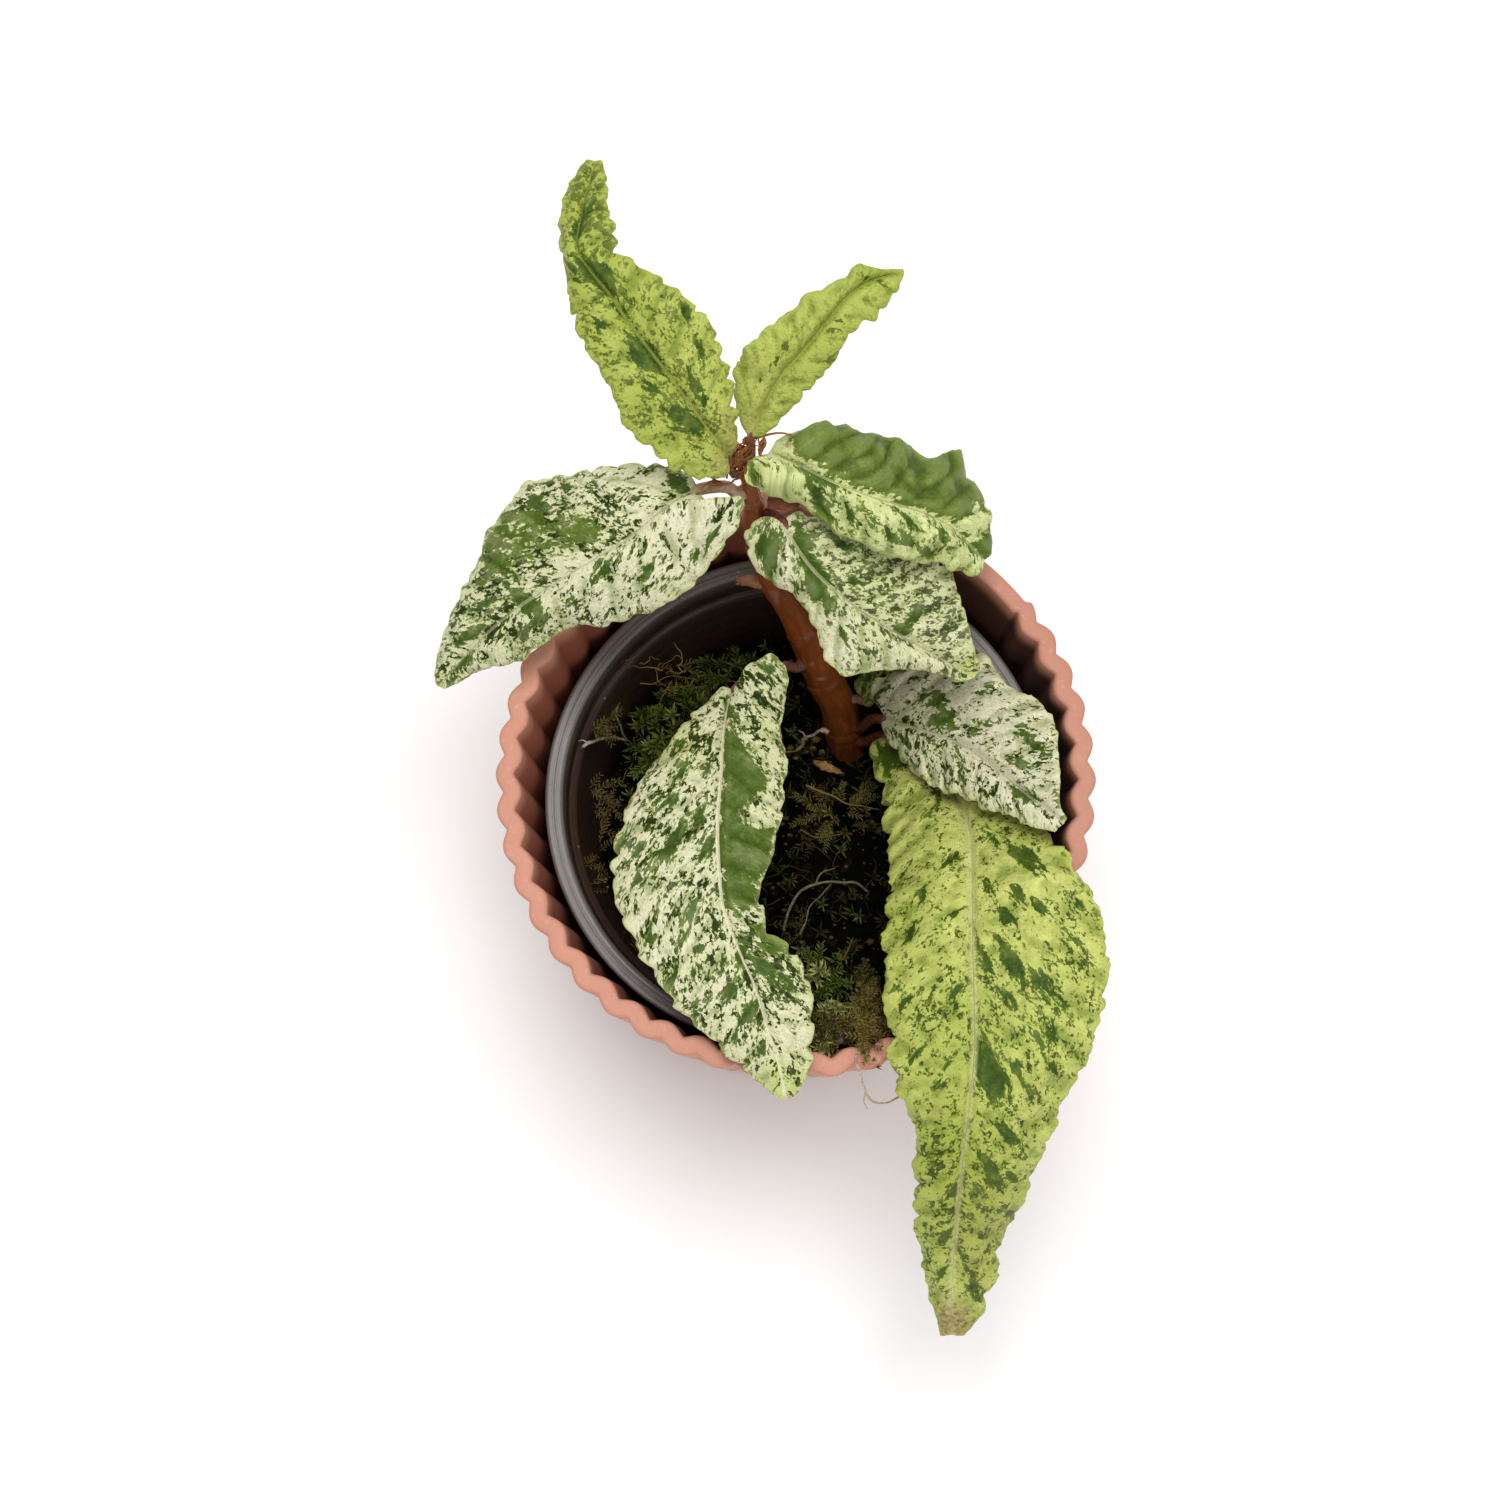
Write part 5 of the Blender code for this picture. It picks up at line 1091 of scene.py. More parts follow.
    # the stalk, which runs on under the blade as its midrib
    toward = place(*(spec["petiole"] + spec["mid"])[0])
    at, out, r_stem = stalk_start(spec["node"], toward)
    stalk = spec["stalk"] * (0.80 if look["red"] > 0.7 else 1.0)
    line = [at + out * (r_stem - 0.5), at + out * (r_stem + 0.7)]
    line += [place(*p) for p in spec["petiole"]]
    line = [p for p in line]
    under = []
    for q in np.linspace(0.0, 0.93, 26):
        row = min(rows - 2, int(round(q * (rows - 1))))
        rad = stalk * (0.92 - 0.80 * q ** 0.6)
        c = surf[row, half]
        drop = 0.05 if q == 0 else rad * 0.88 + 0.07
        under.append(c - n[row, half] * drop)
    path = spline(line + under, int(long / 0.55) + 24)
    run = length_of(path)
    joint = length_of(spline(line + under[:1], 80))[-1]
    q = np.clip((run - joint) / (run[-1] - joint), 0.0, 1.0)
    rad = stalk * np.where(run < joint, 1.0, 0.92 - 0.80 * q ** 0.6)
    rad = rad * (1.0 + 0.30 * np.exp(-(run / 0.9) ** 2))
    tv, tq, tt = tube(path, rad, 14, shape=lambda an, k: 1 + 0.03 * np.sin(3 * an + k * 0.2))
    m = len(tv)
    base = len(verts)
    ang = np.concatenate([np.tile(np.arange(14) / 14.0, len(path)), [0, 0]])
    pos = np.concatenate([np.repeat(run, 14), [0, run[-1]]])
    fade = np.concatenate([np.repeat(1 - smooth(joint, joint + 2.5, run), 14), [1, 0]])
    extra = dict(lc=np.stack([ang * 4 + seed % 17, pos * 0.8, ang * 0], -1), dens=np.full(m, -0.2),
                 solid=np.full(m, -2.0), soft=np.zeros(m), warm=np.full(m, look["warm"]),
                 dry=np.zeros(m), rib=np.full(m, 2.0), edge=np.full(m, 3.0), vein=np.full(m, 0.0),
                 ribpale=np.zeros(m), mild=np.zeros(m), fold=np.zeros(m), seam=np.zeros(m), stalk=0.35 + 0.65 * fade, red=look["red"] * (0.4 + 0.6 * fade))
    attrs = {k: np.concatenate([attrs[k], extra[k]]) for k in attrs}
    ob = build("foliage_" + name[5:], np.vstack([verts, tv]), np.vstack([quads, tq + base]),
               tt + base, attrs, 70.0, MATS[look["slot"]])
    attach(ob, "root")
    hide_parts(name)
    return ob


for leaf_name in LEAVES:
    leaf_piece(leaf_name)


# ------------------------------------------------------------------ cover pot
POT_HEIGHT, POT_TAPER, POT_FLOOR = 68.0, 5.05, 3.0
POT_BULGE_R, POT_NOTCH_R = 40.05, 39.0
POT_INNER_NOTCH_R, POT_INNER_BULGE_R = 37.7, 36.6
POT_FLUTES, POT_PHASE = 48, math.radians(-0.6)
PLAIN_FROM, PLAIN_TO = math.radians(36.9), math.radians(66.9)


def show(ob, *nodes, slot):
    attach(ob, "root")
    if nodes:
        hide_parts(*nodes)
    return ob


def cover_finish():
    m = Shade("cover_pot_matte_plastic", rough=0.60, spec=0.35)
    at = m.place_mm()
    cloud = m.noise(at, 0.035, 3.0, 0.55)
    fine = m.noise(at, 1.9, 3.0, 0.6)
    grain = m.noise(at, 7.0, 2.0, 0.5)
    col = m.mix(m.span(cloud, 0.3, 0.7), srgb(192, 132, 110), srgb(200, 142, 119))
    col = m.mix(m.span(fine, 0.45, 0.75, 0.0, 0.16), col, srgb(176, 112, 90))
    # a little dust and pale rubbing on the rim
    z = m.split(at, "Z")
    rim = m.span(z, 66.6, 68.0, 0.0, 1.0, "SMOOTHSTEP")
    wear = m.math("MULTIPLY", rim, m.span(m.noise(at, 0.9, 5.0, 0.7), 0.56, 0.66, 0.0, 0.38))
    col = m.mix(wear, col, srgb(216, 166, 146))
    # darker towards the bottom, inside and out, in soft clouds
    low = m.span(z, 4.0, 24.0, 0.45, 0.0, "SMOOTHSTEP")
    low = m.math("MULTIPLY", low, m.span(cloud, 0.35, 0.65, 0.4, 1.0))
    col = m.mix(low, col, srgb(150, 92, 72))
    # painted shade: below the rim the inside is coloured a deeper red brown the lower it lies, for the shade and red
    # bounce light down in the pot
    shade = m.math("MULTIPLY", m.attr("inner"), m.span(z, 67.2, 62.0, 0.0, 1.0, "SMOOTHSTEP"))
    col = m.mix(shade, col, m.mix(m.span(z, 62.0, 42.0), srgb(158, 92, 70), srgb(138, 75, 57)))
    # painted shadow: the inside wall on the right is coloured near black below the rim
    col = m.mix(m.math("MULTIPLY", m.attr("painted_shadow"), m.span(z, 67.4, 63.0, 0.0, 1.0, "SMOOTHSTEP")), col, srgb(60, 27, 18))
    # painted shade: the pot is coloured darker towards its right side (+X)
    col = m.mix(m.span(m.split(at, "X"), 8.0, 34.0, 0.0, 0.42, "SMOOTHSTEP"), col, m.mix(1.0, col, (0.72, 0.70, 0.68), "MULTIPLY"))
    # fine scratches
    stretched = m.vmath("MULTIPLY", at, (0.35, 2.4, 1.0))
    scratch = m.span(m.noise(stretched, 1.3, 5.0, 0.75), 0.688, 0.70, 0.0, 0.30)
    col = m.mix(scratch, col, srgb(232, 180, 162))
    height = m.math("MULTIPLY_ADD", grain, 0.35, fine)
    # faint lines round the wall from the making
    rings = m.math("SINE", m.math("MULTIPLY", z, 15.7))
    height = m.math("MULTIPLY_ADD", rings, 0.13, height)
    rough = m.span(m.noise(at, 0.25, 3.0), 0.3, 0.7, 0.54, 0.68)
    return m.finish(col, rough, m.bump(height, 0.05, 0.5))


def cover_pot():
    per = 14
    total = POT_FLUTES * per
    k = np.arange(total)
    p = (k % per) / per
    ang = POT_PHASE + 2 * math.pi * k / total
    soft = 0.0036
    outer = POT_NOTCH_R + (POT_BULGE_R - POT_NOTCH_R) * (
        np.sqrt(np.cos(math.pi * p) ** 2 + soft) / math.sqrt(1 + soft))
    inner = POT_INNER_NOTCH_R - (POT_INNER_NOTCH_R - POT_INNER_BULGE_R) * (
        np.sqrt(np.sin(math.pi * p) ** 2 + soft) / math.sqrt(1 + soft))
    around = np.mod(ang, 2 * math.pi)
    w = smooth(PLAIN_FROM, PLAIN_FROM + 0.016, around) * (1 - smooth(PLAIN_TO - 0.016, PLAIN_TO, around))
    outer = outer * (1 - w) + 39.45 * w
    inner = inner * (1 - w) + 37.1 * w
    # rings: which outline, z, how far in from it
    rings = [("o", 0.55, 6.0), ("o", 0.5, 5.2), ("o", 0.05, 4.6), ("o", 0.0, 4.2), ("o", 0.0, 0.9),
             ("o", 0.12, 0.42), ("o", 0.42, 0.12), ("o", 0.9, 0.0)]
    rings += [("o", z, 0.0) for z in np.linspace(3.0, POT_HEIGHT - 1.6, 22)]
    rr = 0.62
    for a in np.linspace(0.0, math.pi / 2, 6):
        rings.append(("o", POT_HEIGHT - rr + rr * math.sin(a), rr * (1 - math.cos(a))))
    rings += [("m", POT_HEIGHT + 0.015, 0.5)]
    for a in np.linspace(math.pi / 2, 0.0, 6):
        rings.append(("i", POT_HEIGHT - rr + rr * math.sin(a), rr * (1 - math.cos(a))))
    rings += [("i", z, 0.0) for z in np.linspace(POT_HEIGHT - 1.6, POT_FLOOR + 1.7, 22)]
    for a in np.linspace(0.0, math.pi / 2, 5)[1:]:
        rings.append(("i", POT_FLOOR + 1.6 * (1 - math.sin(a)), 1.6 * (1 - math.cos(a))))
    loops = []
    for kind, z, off in rings:
        taper = POT_TAPER * (1.0 - z / POT_HEIGHT)
        if kind == "o":
            r = outer - taper - off
        elif kind == "i":
            r = inner - taper + off * (1 if z > 60 else -1)
        else:
            r = (outer + inner) / 2 - taper
        loops.append(np.stack([np.cos(ang) * r, np.sin(ang) * r, np.full(total, z)], -1))
    loops = np.array(loops)
    # closing discs: the underside's recess and the floor
    def disc(last, z, turns):
        out = []
        r0 = np.linalg.norm(last[:, :2], axis=1)
        for f in turns:
            r = r0 * f + 0.0
            r = r * (1 - smooth(1.0, 0.8, np.full(1, f))) + (r0.mean() * f) * smooth(1.0, 0.8, np.full(1, f))
            out.append(np.stack([np.cos(ang) * r, np.sin(ang) * r,
                                 z + 0.02 * noise2(np.cos(ang) * r / 6, np.sin(ang) * r / 6, 4)], -1))
        return out
    under = disc(loops[0], 0.55, (0.9, 0.7, 0.45, 0.2, 0.06))
    inside = disc(loops[-1], POT_FLOOR, (0.9, 0.7, 0.45, 0.2, 0.06))
    loops = np.concatenate([np.array(under[::-1]), loops, np.array(inside)])
    verts = loops.reshape(-1, 3)
    n = len(loops)
    quads = grid_faces(n, total, closed=True)
    centre = np.array([[0.0, 0.0, 0.55], [0.0, 0.0, POT_FLOOR]])
    j = np.arange(total)
    q = (j + 1) % total
    base = n * total
    tris = np.vstack([np.stack([np.full(total, base), q, j], -1),
                      np.stack([np.full(total, base + 1), (n - 1) * total + j, (n - 1) * total + q], -1)])
    kinds = {"o": 0.0, "m": 0.3, "i": 1.0}
    flags = [0.0] * len(under) + [kinds[kind] for kind, z, off in rings] + [1.0] * len(inside)
    inner_side = np.concatenate([np.repeat(flags, total), [0.0, 1.0]])
    # the arc of the inside wall that is given the painted shadow
    turn = np.mod(ang + math.pi, 2 * math.pi) - math.pi
    painted_shadow_arc = smooth(math.radians(-50), math.radians(-20), turn) * (1 - smooth(math.radians(75), math.radians(110), turn))
    painted_shadow = inner_side * np.concatenate([np.tile(painted_shadow_arc, len(loops)), [0.0, 0.0]]) * 0.95
    ob = build("fluted_cover_pot", np.vstack([verts, centre]), quads, tris, dict(inner=inner_side, painted_shadow=painted_shadow), 42.0,
               cover_finish())
    return show(ob, "cover_pot", slot="cover_pot_plastic")


# ---------------------------------------------------------------- nursery pot
NP_X, NP_Y = 0.4, -0.3


def nursery_finish():
    m = Shade("nursery_pot_smoke_plastic", rough=0.34, spec=0.5)
    at = m.place_mm()
    z = m.split(at, "Z")
    flat = m.vmath("SUBTRACT", at, (NP_X, NP_Y, 0.0))
    n = m.tree.nodes.new("ShaderNodeVectorMath")
    n.operation = "LENGTH"
    m.put(n.inputs[0], m.vmath("MULTIPLY", flat, (1.0, 1.0, 0.0)))
    r = n.outputs["Value"]
    # turning lines: noise read along the profile only
    comb = m.tree.nodes.new("ShaderNodeCombineXYZ")
    m.put(comb.inputs["X"], m.math("MULTIPLY", r, 4.5))
    m.put(comb.inputs["Y"], m.math("MULTIPLY", z, 3.0))
    lines = m.noise(comb.outputs[0], 1.3, 3.0, 0.7)
    cloud = m.noise(at, 0.06, 3.0, 0.6)
    # painted shade: below the rim the smoke-grey wall is coloured dark red brown, for the shade in the gap between the
    # pots and the red of the cover pot showing through
    high = m.span(z, 51.2, 55.0, 0.0, 1.0, "SMOOTHSTEP")
    wall = m.mix(m.span(cloud, 0.35, 0.65), srgb(42, 21, 13), srgb(58, 31, 21))
    rim = m.mix(m.span(cloud, 0.35, 0.65), srgb(94, 87, 82), srgb(109, 102, 96))
    col = m.mix(high, wall, rim)
    col = m.mix(m.span(lines, 0.5, 0.72, 0.0, 0.35), col, srgb(150, 144, 139))
    col = m.mix(m.span(lines, 0.44, 0.28, 0.0, 0.30), col, srgb(52, 48, 47))
    # dried splashes and dirt on the wall
    dirt = m.noise(at, 0.45, 5.0, 0.7)
    dirt = m.math("MULTIPLY", m.span(dirt, 0.54, 0.64, 0.0, 0.75), m.span(z, 30.0, 52.0, 1.0, 0.12))
    col = m.mix(dirt, col, srgb(58, 40, 25))
    speck = m.split_rgb(m.cells(at, 0.9), "Red")
    dot = m.math("MULTIPLY", m.math("GREATER_THAN", speck, 0.93),
                 m.math("LESS_THAN", m.cells(at, 0.9, "Distance"), 0.16))
    col = m.mix(m.math("MULTIPLY", dot, 0.55), col, srgb(176, 168, 154))
    dust = m.noise(at, 3.4, 3.0, 0.7)
    col = m.mix(m.span(dust, 0.56, 0.66, 0.0, 0.45), col, srgb(52, 47, 44))
    rough = m.math("ADD", m.span(lines, 0.3, 0.7, 0.27, 0.42), m.math("MULTIPLY", dirt, 0.25))
    height = m.math("MULTIPLY_ADD", dirt, 0.8, lines)
    return m.finish(col, rough, m.bump(height, 0.06, 0.6))


def nursery_pot():
    def arc(cx, cz, r, a0, a1, steps):
        return [(cx + r * math.cos(a), cz + r * math.sin(a))
                for a in np.radians(np.linspace(a0, a1, steps))]

    prof = [(0.0, 4.2), (6.0, 4.22), (12.0, 4.2), (18.0, 4.2), (22.0, 4.2)]
    prof += arc(23.9, 6.2, 2.0, -90, -8, 7)
    prof += [(25.6 + 5.3 * (z - 4.2) / 45.8, z) for z in np.linspace(8.0, 48.6, 26)]
    prof += [(30.85, 49.05), (31.05, 49.35), (31.5, 49.7), (31.78, 49.95), (31.9, 50.3)]
    prof += [(31.93 + 0.37 * f, 50.6 + 3.6 * f) for f in np.linspace(0.1, 1.0, 6)]
    prof += arc(32.8, 54.6, 0.5, 170, 100, 5)
    prof += [(r, 55.2 - 0.07 * abs(math.sin((r - 32.8) * 5.2)) + 0.03 * (r - 32.8))
             for r in np.linspace(32.95, 33.95, 13)]
    prof += [(34.12, 55.22), (34.32, 55.26)]
    prof += arc(34.42, 54.88, 0.36, 90, -10, 7)
    prof += [(34.74, 54.3), (34.66, 53.2), (34.56, 52.2)]
    prof += arc(34.1, 51.9, 0.42, 0, -150, 6)
    prof += [(33.66, 52.3), (33.72, 53.6), (33.6, 54.1), (33.2, 54.28), (33.0, 54.1), (32.85, 53.0),
             (32.75, 50.5), (32.6, 49.9), (32.1, 49.3), (31.85, 48.9), (31.75, 48.2)]
    prof += [(26.45 + 5.3 * (z - 4.2) / 45.8, z) for z in np.linspace(46.0, 7.0, 20)]
    prof += arc(24.9, 5.0, 1.7, 0, -90, 6)
    prof += [(23.6, 3.3), (22.6, 3.55), (20.0, 3.6), (14.0, 3.6), (7.0, 3.55), (0.0, 3.5)]
    prof = np.array(prof)
    around = 288
    ang = 2 * math.pi * np.arange(around) / around
    body = prof[1:-1]
    loops = np.stack([NP_X + body[:, None, 0] * np.cos(ang), NP_Y + body[:, None, 0] * np.sin(ang),
                      np.repeat(body[:, 1:2], around, 1)], -1)
    # the thin wall is not quite round
    out = 0.10 * np.sin(2 * ang + 0.7) + 0.05 * np.sin(5 * ang)
    push = smooth(20.0, 50.0, body[:, 1])[:, None] * out
    loops[..., 0] += push * np.cos(ang)
    loops[..., 1] += push * np.sin(ang)
    n = len(body)
    quads = grid_faces(n, around, closed=True, flip=True)
    ends = np.array([[NP_X, NP_Y, prof[0, 1]], [NP_X, NP_Y, prof[-1, 1]]])
    j = np.arange(around)
    q = (j + 1) % around
    base = n * around
    tris = np.vstack([np.stack([np.full(around, base), j, q], -1),
                      np.stack([np.full(around, base + 1), (n - 1) * around + q, (n - 1) * around + j], -1)])
    mat = nursery_finish()
    ob = build("smoke_nursery_pot", np.vstack([loops.reshape(-1, 3), ends]), quads, tris, None, None, mat)
    # drainage holes
    cut = Heap()
    for k in range(6):
        a = 2 * math.pi * (k + 0.5) / 6
        path = np.array([[NP_X + 16 * math.cos(a), NP_Y + 16 * math.sin(a), z] for z in (1.5, 3.9, 6.5)])
        v, qd, tr = tube(path, 2.6, 28)
        cut.add(v, qd, tr)
    tool = cut.finish("drain_holes", mat, None)
    mod = ob.modifiers.new("holes", "BOOLEAN")
    mod.object = tool
    mod.operation = "DIFFERENCE"
    mod.solver = "EXACT"
    bpy.context.view_layer.update()
    deps = bpy.context.evaluated_depsgraph_get()
    me = bpy.data.meshes.new_from_object(ob.evaluated_get(deps), depsgraph=deps)
    ob.modifiers.clear()
    old = ob.data
    ob.data = me
    bpy.data.meshes.remove(old)
    bpy.data.objects.remove(tool, do_unlink=True)
    me.shade_smooth()
    me.set_sharp_from_angle(angle=math.radians(40.0))
    return show(ob, "nursery_pot", slot="nursery_pot_plastic")


cover_pot()
nursery_pot()


# ----------------------------------------------------------------------- stem
def stem_finish():
    m = Shade("stem_succulent_skin", rough=0.38, spec=0.34, coat=0.10, coat_rough=0.3)
    at = m.attr("skin", "Vector")            # round the stem, along it, mm
    up = m.attr("up")                        # 0 low, 1 at the tip
    ring = m.attr("ring")                    # 1 on a node
    cloud = m.noise(at, 0.35, 4.0, 0.6)
    streak = m.noise(m.vmath("MULTIPLY", at, (1.0, 0.12, 1.0)), 1.9, 4.0, 0.65)
    col = m.mix(m.span(up, 0.0, 0.35), srgb(84, 44, 15), srgb(138, 72, 26))
    col = m.mix(m.span(up, 0.35, 0.75), col, srgb(138, 68, 32))
    col = m.mix(m.span(up, 0.75, 1.0), col, srgb(150, 88, 46))
    col = m.mix(m.span(cloud, 0.4, 0.7, 0.0, 0.45), col, srgb(104, 42, 18))
    col = m.mix(m.span(streak, 0.5, 0.72, 0.0, 0.40), col, srgb(172, 106, 56))
    col = m.mix(m.span(streak, 0.46, 0.30, 0.0, 0.40), col, srgb(70, 34, 20))
    col = m.mix(m.math("MULTIPLY", ring, 0.65), col, srgb(92, 44, 30))
    dots = m.cells(m.vmath("MULTIPLY", at, (1.0, 0.6, 1.0)), 1.1)
    gap = m.cells(m.vmath("MULTIPLY", at, (1.0, 0.6, 1.0)), 1.1, "Distance")
    pick = m.split_rgb(dots, "Red")
    pale = m.math("MULTIPLY", m.math("GREATER_THAN", pick, 0.80), m.span(gap, 0.07, 0.12, 1.0, 0.0))
    red = m.math("MULTIPLY", m.math("LESS_THAN", pick, 0.16), m.span(gap, 0.08, 0.15, 1.0, 0.0))
    col = m.mix(m.math("MULTIPLY", pale, 0.65), col, srgb(190, 142, 98))
    col = m.mix(m.math("MULTIPLY", red, 0.8), col, srgb(120, 22, 18))
    scar = m.attr("scar")
    col = m.mix(scar, col, srgb(196, 158, 134))
    height = m.math("MULTIPLY_ADD", streak, 0.9, cloud)
    height = m.math("MULTIPLY_ADD", pale, 0.7, height)
    rough = m.span(cloud, 0.3, 0.7, 0.30, 0.44)
    return m.finish(col, rough, m.bump(height, 0.09, 0.7))


def stem():
    count, sides = 300, 44
    pts, radii = stem_line(count)
    run = length_of(pts)
    ang = 2 * math.pi * np.arange(sides) / sides
    nodes = [7 / 33.0, 12 / 33.0, 17 / 33.0, 22 / 33.0, 26 / 33.0, 30 / 33.0]
    ring = np.zeros((count, sides))
    rad = np.repeat(radii[:, None], sides, 1)
    for k, f in enumerate(nodes):
        s0 = f * run[-1]
        tilt = 0.35 * np.sin(ang + 1.7 * k)[None, :]
        gap = run[:, None] - s0 - tilt
        rad += 0.20 * np.exp(-(gap / 0.55) ** 2) - 0.10 * np.exp(-((gap - 0.9) / 0.35) ** 2)
        rad += 0.10 * np.exp(-((gap + 1.6) / 1.6) ** 2)
        ring = np.maximum(ring, np.exp(-((gap - 0.35) / 0.22) ** 2))
    a2, r2 = np.meshgrid(ang, run)
    rad += 0.05 * np.sin(9 * a2 + 0.4 * np.sin(r2 / 6.0)) * smooth(0, 8, r2)
    rad += 0.09 * fractal(np.cos(a2) * 1.4 + r2 / 5.0, np.sin(a2) * 1.4 + r2 / 7.0, 3, 3)
    s, w, t = carried(pts)
    ring_pts = pts[:, None, :] + (s[:, None, :] * np.cos(a2)[..., None]
                                  + w[:, None, :] * np.sin(a2)[..., None]) * rad[..., None]
    # scars: where they lie on the plan sheet
    uv = sheet(ring_pts)
    scar = np.zeros((count, sides))
    for u, v, ru, rv, amount in ((821, 679, 4, 1.3, 0.6), (790, 661, 4, 6, 0.55), (776, 598, 3, 7, 0.30),
                                 (812, 664, 1.8, 1.8, 0.5)):
        scar = np.maximum(scar, amount * np.exp(-(((uv[..., 0] - u) / ru) ** 2 + ((uv[..., 1] - v) / rv) ** 2)))
    top_side = (ring_pts - pts[:, None, :])[..., 2] > 0
    scar = scar * top_side
    ring_pts = ring_pts + unit(ring_pts - pts[:, None, :]) * (0.22 * scar)[..., None]
    verts = ring_pts.reshape(-1, 3)
    skin = np.stack([a2 * radii.mean(), r2, a2 * 0], -1).reshape(-1, 3)
    quads = grid_faces(count, sides, closed=True)
    tips = np.vstack([pts[0] - t[0] * 0.9, pts[-1] + t[-1] * 0.5])
    j = np.arange(sides)
    k = (j + 1) % sides
    base = count * sides
    tris = np.vstack([np.stack([np.full(sides, base), k, j], -1),
                      np.stack([np.full(sides, base + 1), (count - 1) * sides + j,
                                (count - 1) * sides + k], -1)])
    end = lambda q: np.concatenate([q.ravel(), [q.ravel()[0], q.ravel()[-1]]])
    attrs = dict(skin=np.vstack([skin, skin[:1], skin[-1:]]), up=end(r2 / run[-1]),
                 ring=end(ring), scar=end(scar))
    ob = build("plant_stem", np.vstack([verts, tips]), quads, tris, attrs, 80.0, stem_finish())
    return show(ob, "stem", slot="stem_skin")


# -------------------------------------------------------- small dry pieces
def dry_finish(name, light, middle, deep, rough=0.75):
    m = Shade(name, rough=rough, spec=0.3)
    at = m.place_mm()
    a = m.noise(at, 1.6, 4.0, 0.65)
    b = m.noise(at, 6.0, 3.0, 0.6)
    col = m.mix(m.span(a, 0.36, 0.62), middle, light)
    col = m.mix(m.span(b, 0.42, 0.70, 0.0, 0.7), col, deep)
    col = m.mix(m.math("MULTIPLY", m.attr("tip"), 0.8), col, deep)
    return m.finish(col, m.span(a, 0.3, 0.7, rough - 0.1, rough + 0.1),
                    m.bump(m.math("MULTIPLY_ADD", b, 0.6, a), 0.10, 0.9))


DRY = dry_finish("dry_papery_scale", srgb(196, 134, 66), srgb(156, 88, 34), srgb(88, 44, 16))
RUDDY = dry_finish("ruddy_stipule_skin", srgb(150, 88, 62), srgb(122, 62, 42), srgb(66, 30, 20), 0.6)
STRAW = dry_finish("straw_scrap", srgb(196, 160, 98), srgb(150, 104, 52), srgb(84, 50, 26))
STUB = dry_finish("stalk_stub_skin", srgb(196, 142, 108), srgb(158, 102, 70), srgb(104, 60, 38))
MOSSY = dry_finish("mossy_root_skin", srgb(146, 146, 112), srgb(108, 108, 78), srgb(62, 60, 38), 0.7)
ROOT = dry_finish("pale_root_skin", srgb(216, 202, 180), srgb(176, 152, 122), srgb(112, 84, 60), 0.65)


def cupped(heap, base, tip, half, curl, seed, rows=20, cols=9, thick=0.16, ragged=0.12):
    """A dry pointed scale, cupped along its length."""
    along = tip - base
    side = unit(np.cross(along, [0.0, 0.0, 1.0]) + 1e-6)
    up = unit(np.cross(side, along))
    if up[2] < 0:
        up = -up
    f = np.linspace(0.0, 1.0, rows)[:, None]
    s = np.linspace(-1.0, 1.0, cols)[None, :]
    w = half * (0.55 + 0.9 * f) * (1.0 - f) ** 0.8 * 1.25 + 0.08
    w = w * (1.0 + ragged * noise2(f * 9.0, s * 1.5 + seed, seed))
    lift = curl * 4.0 * f * (1.0 - f) - 0.42 * w * s * s + 0.07 * noise2(f * 7, s * 3, seed + 2)
    lift = lift + 0.10 * np.exp(-(s / 0.15) ** 2) * (1 - f)
    mid = base + along * f[..., None] + side * (w * s)[..., None] + up * lift[..., None]
    th = thick * (1.0 - 0.6 * np.abs(s)) * (1.0 - 0.5 * f) + 0.03
    top, low = mid + up * th[..., None], mid - up * th[..., None]
    loops = np.concatenate([top, low[:, ::-1]], 1)
    n = cols * 2
    quads = grid_faces(rows, n, closed=True)
    j = np.arange(cols - 1)
    e0 = np.stack([j, j + 1, n - 2 - j, n - 1 - j], -1)[:, ::-1]
    e1 = np.stack([j, j + 1, n - 2 - j, n - 1 - j], -1) + (rows - 1) * n
    heap.add(loops.reshape(-1, 3), np.vstack([quads, e0, e1]),
             tip=np.repeat(smooth(0.55, 1.0, f[:, 0]), n))


def one(name, node, mat, slot, *args, **kw):
    heap = Heap()
    cupped(heap, *args, **kw)
    return show(heap.finish(name, mat), node, slot=slot)


def wander(path, amount, seed, count, period=2.2):
    """A strand's line with small natural bends."""
    line = spline(path, count)
    run = length_of(line)
    s, w, t = carried(line)
    env = np.minimum(1.0, run / 1.5)[:, None]
    return (line + s * (amount * noise2(run / period, run * 0 + seed, 11))[:, None] * env
            + w * (amount * noise2(run / period, run * 0 + seed + 5, 13))[:, None] * env)


def strand_piece(name, rads, lines, mat, nodes, slot, sides=10):
    heap = Heap()
    for k, (line, r0, r1) in enumerate(zip(lines, *rads)):
        count = max(8, int(length_of(np.asarray(line))[-1] / 0.28))
        path = wander(line, min(0.28, r0 * 1.2), k + len(name), count)
        f = np.linspace(0, 1, count)
        rad = (r0 + (r1 - r0) * f) * (1 + 0.16 * noise2(f * count / 4.0, f * 0 + k, 17))
        v, q, t = tube(path, rad, sides)
        heap.add(v, q, t, tip=np.concatenate([np.repeat(f ** 2 * 0.5, sides), [0, 0.5]]))
    return show(heap.finish(name, mat), *nodes, slot=slot)


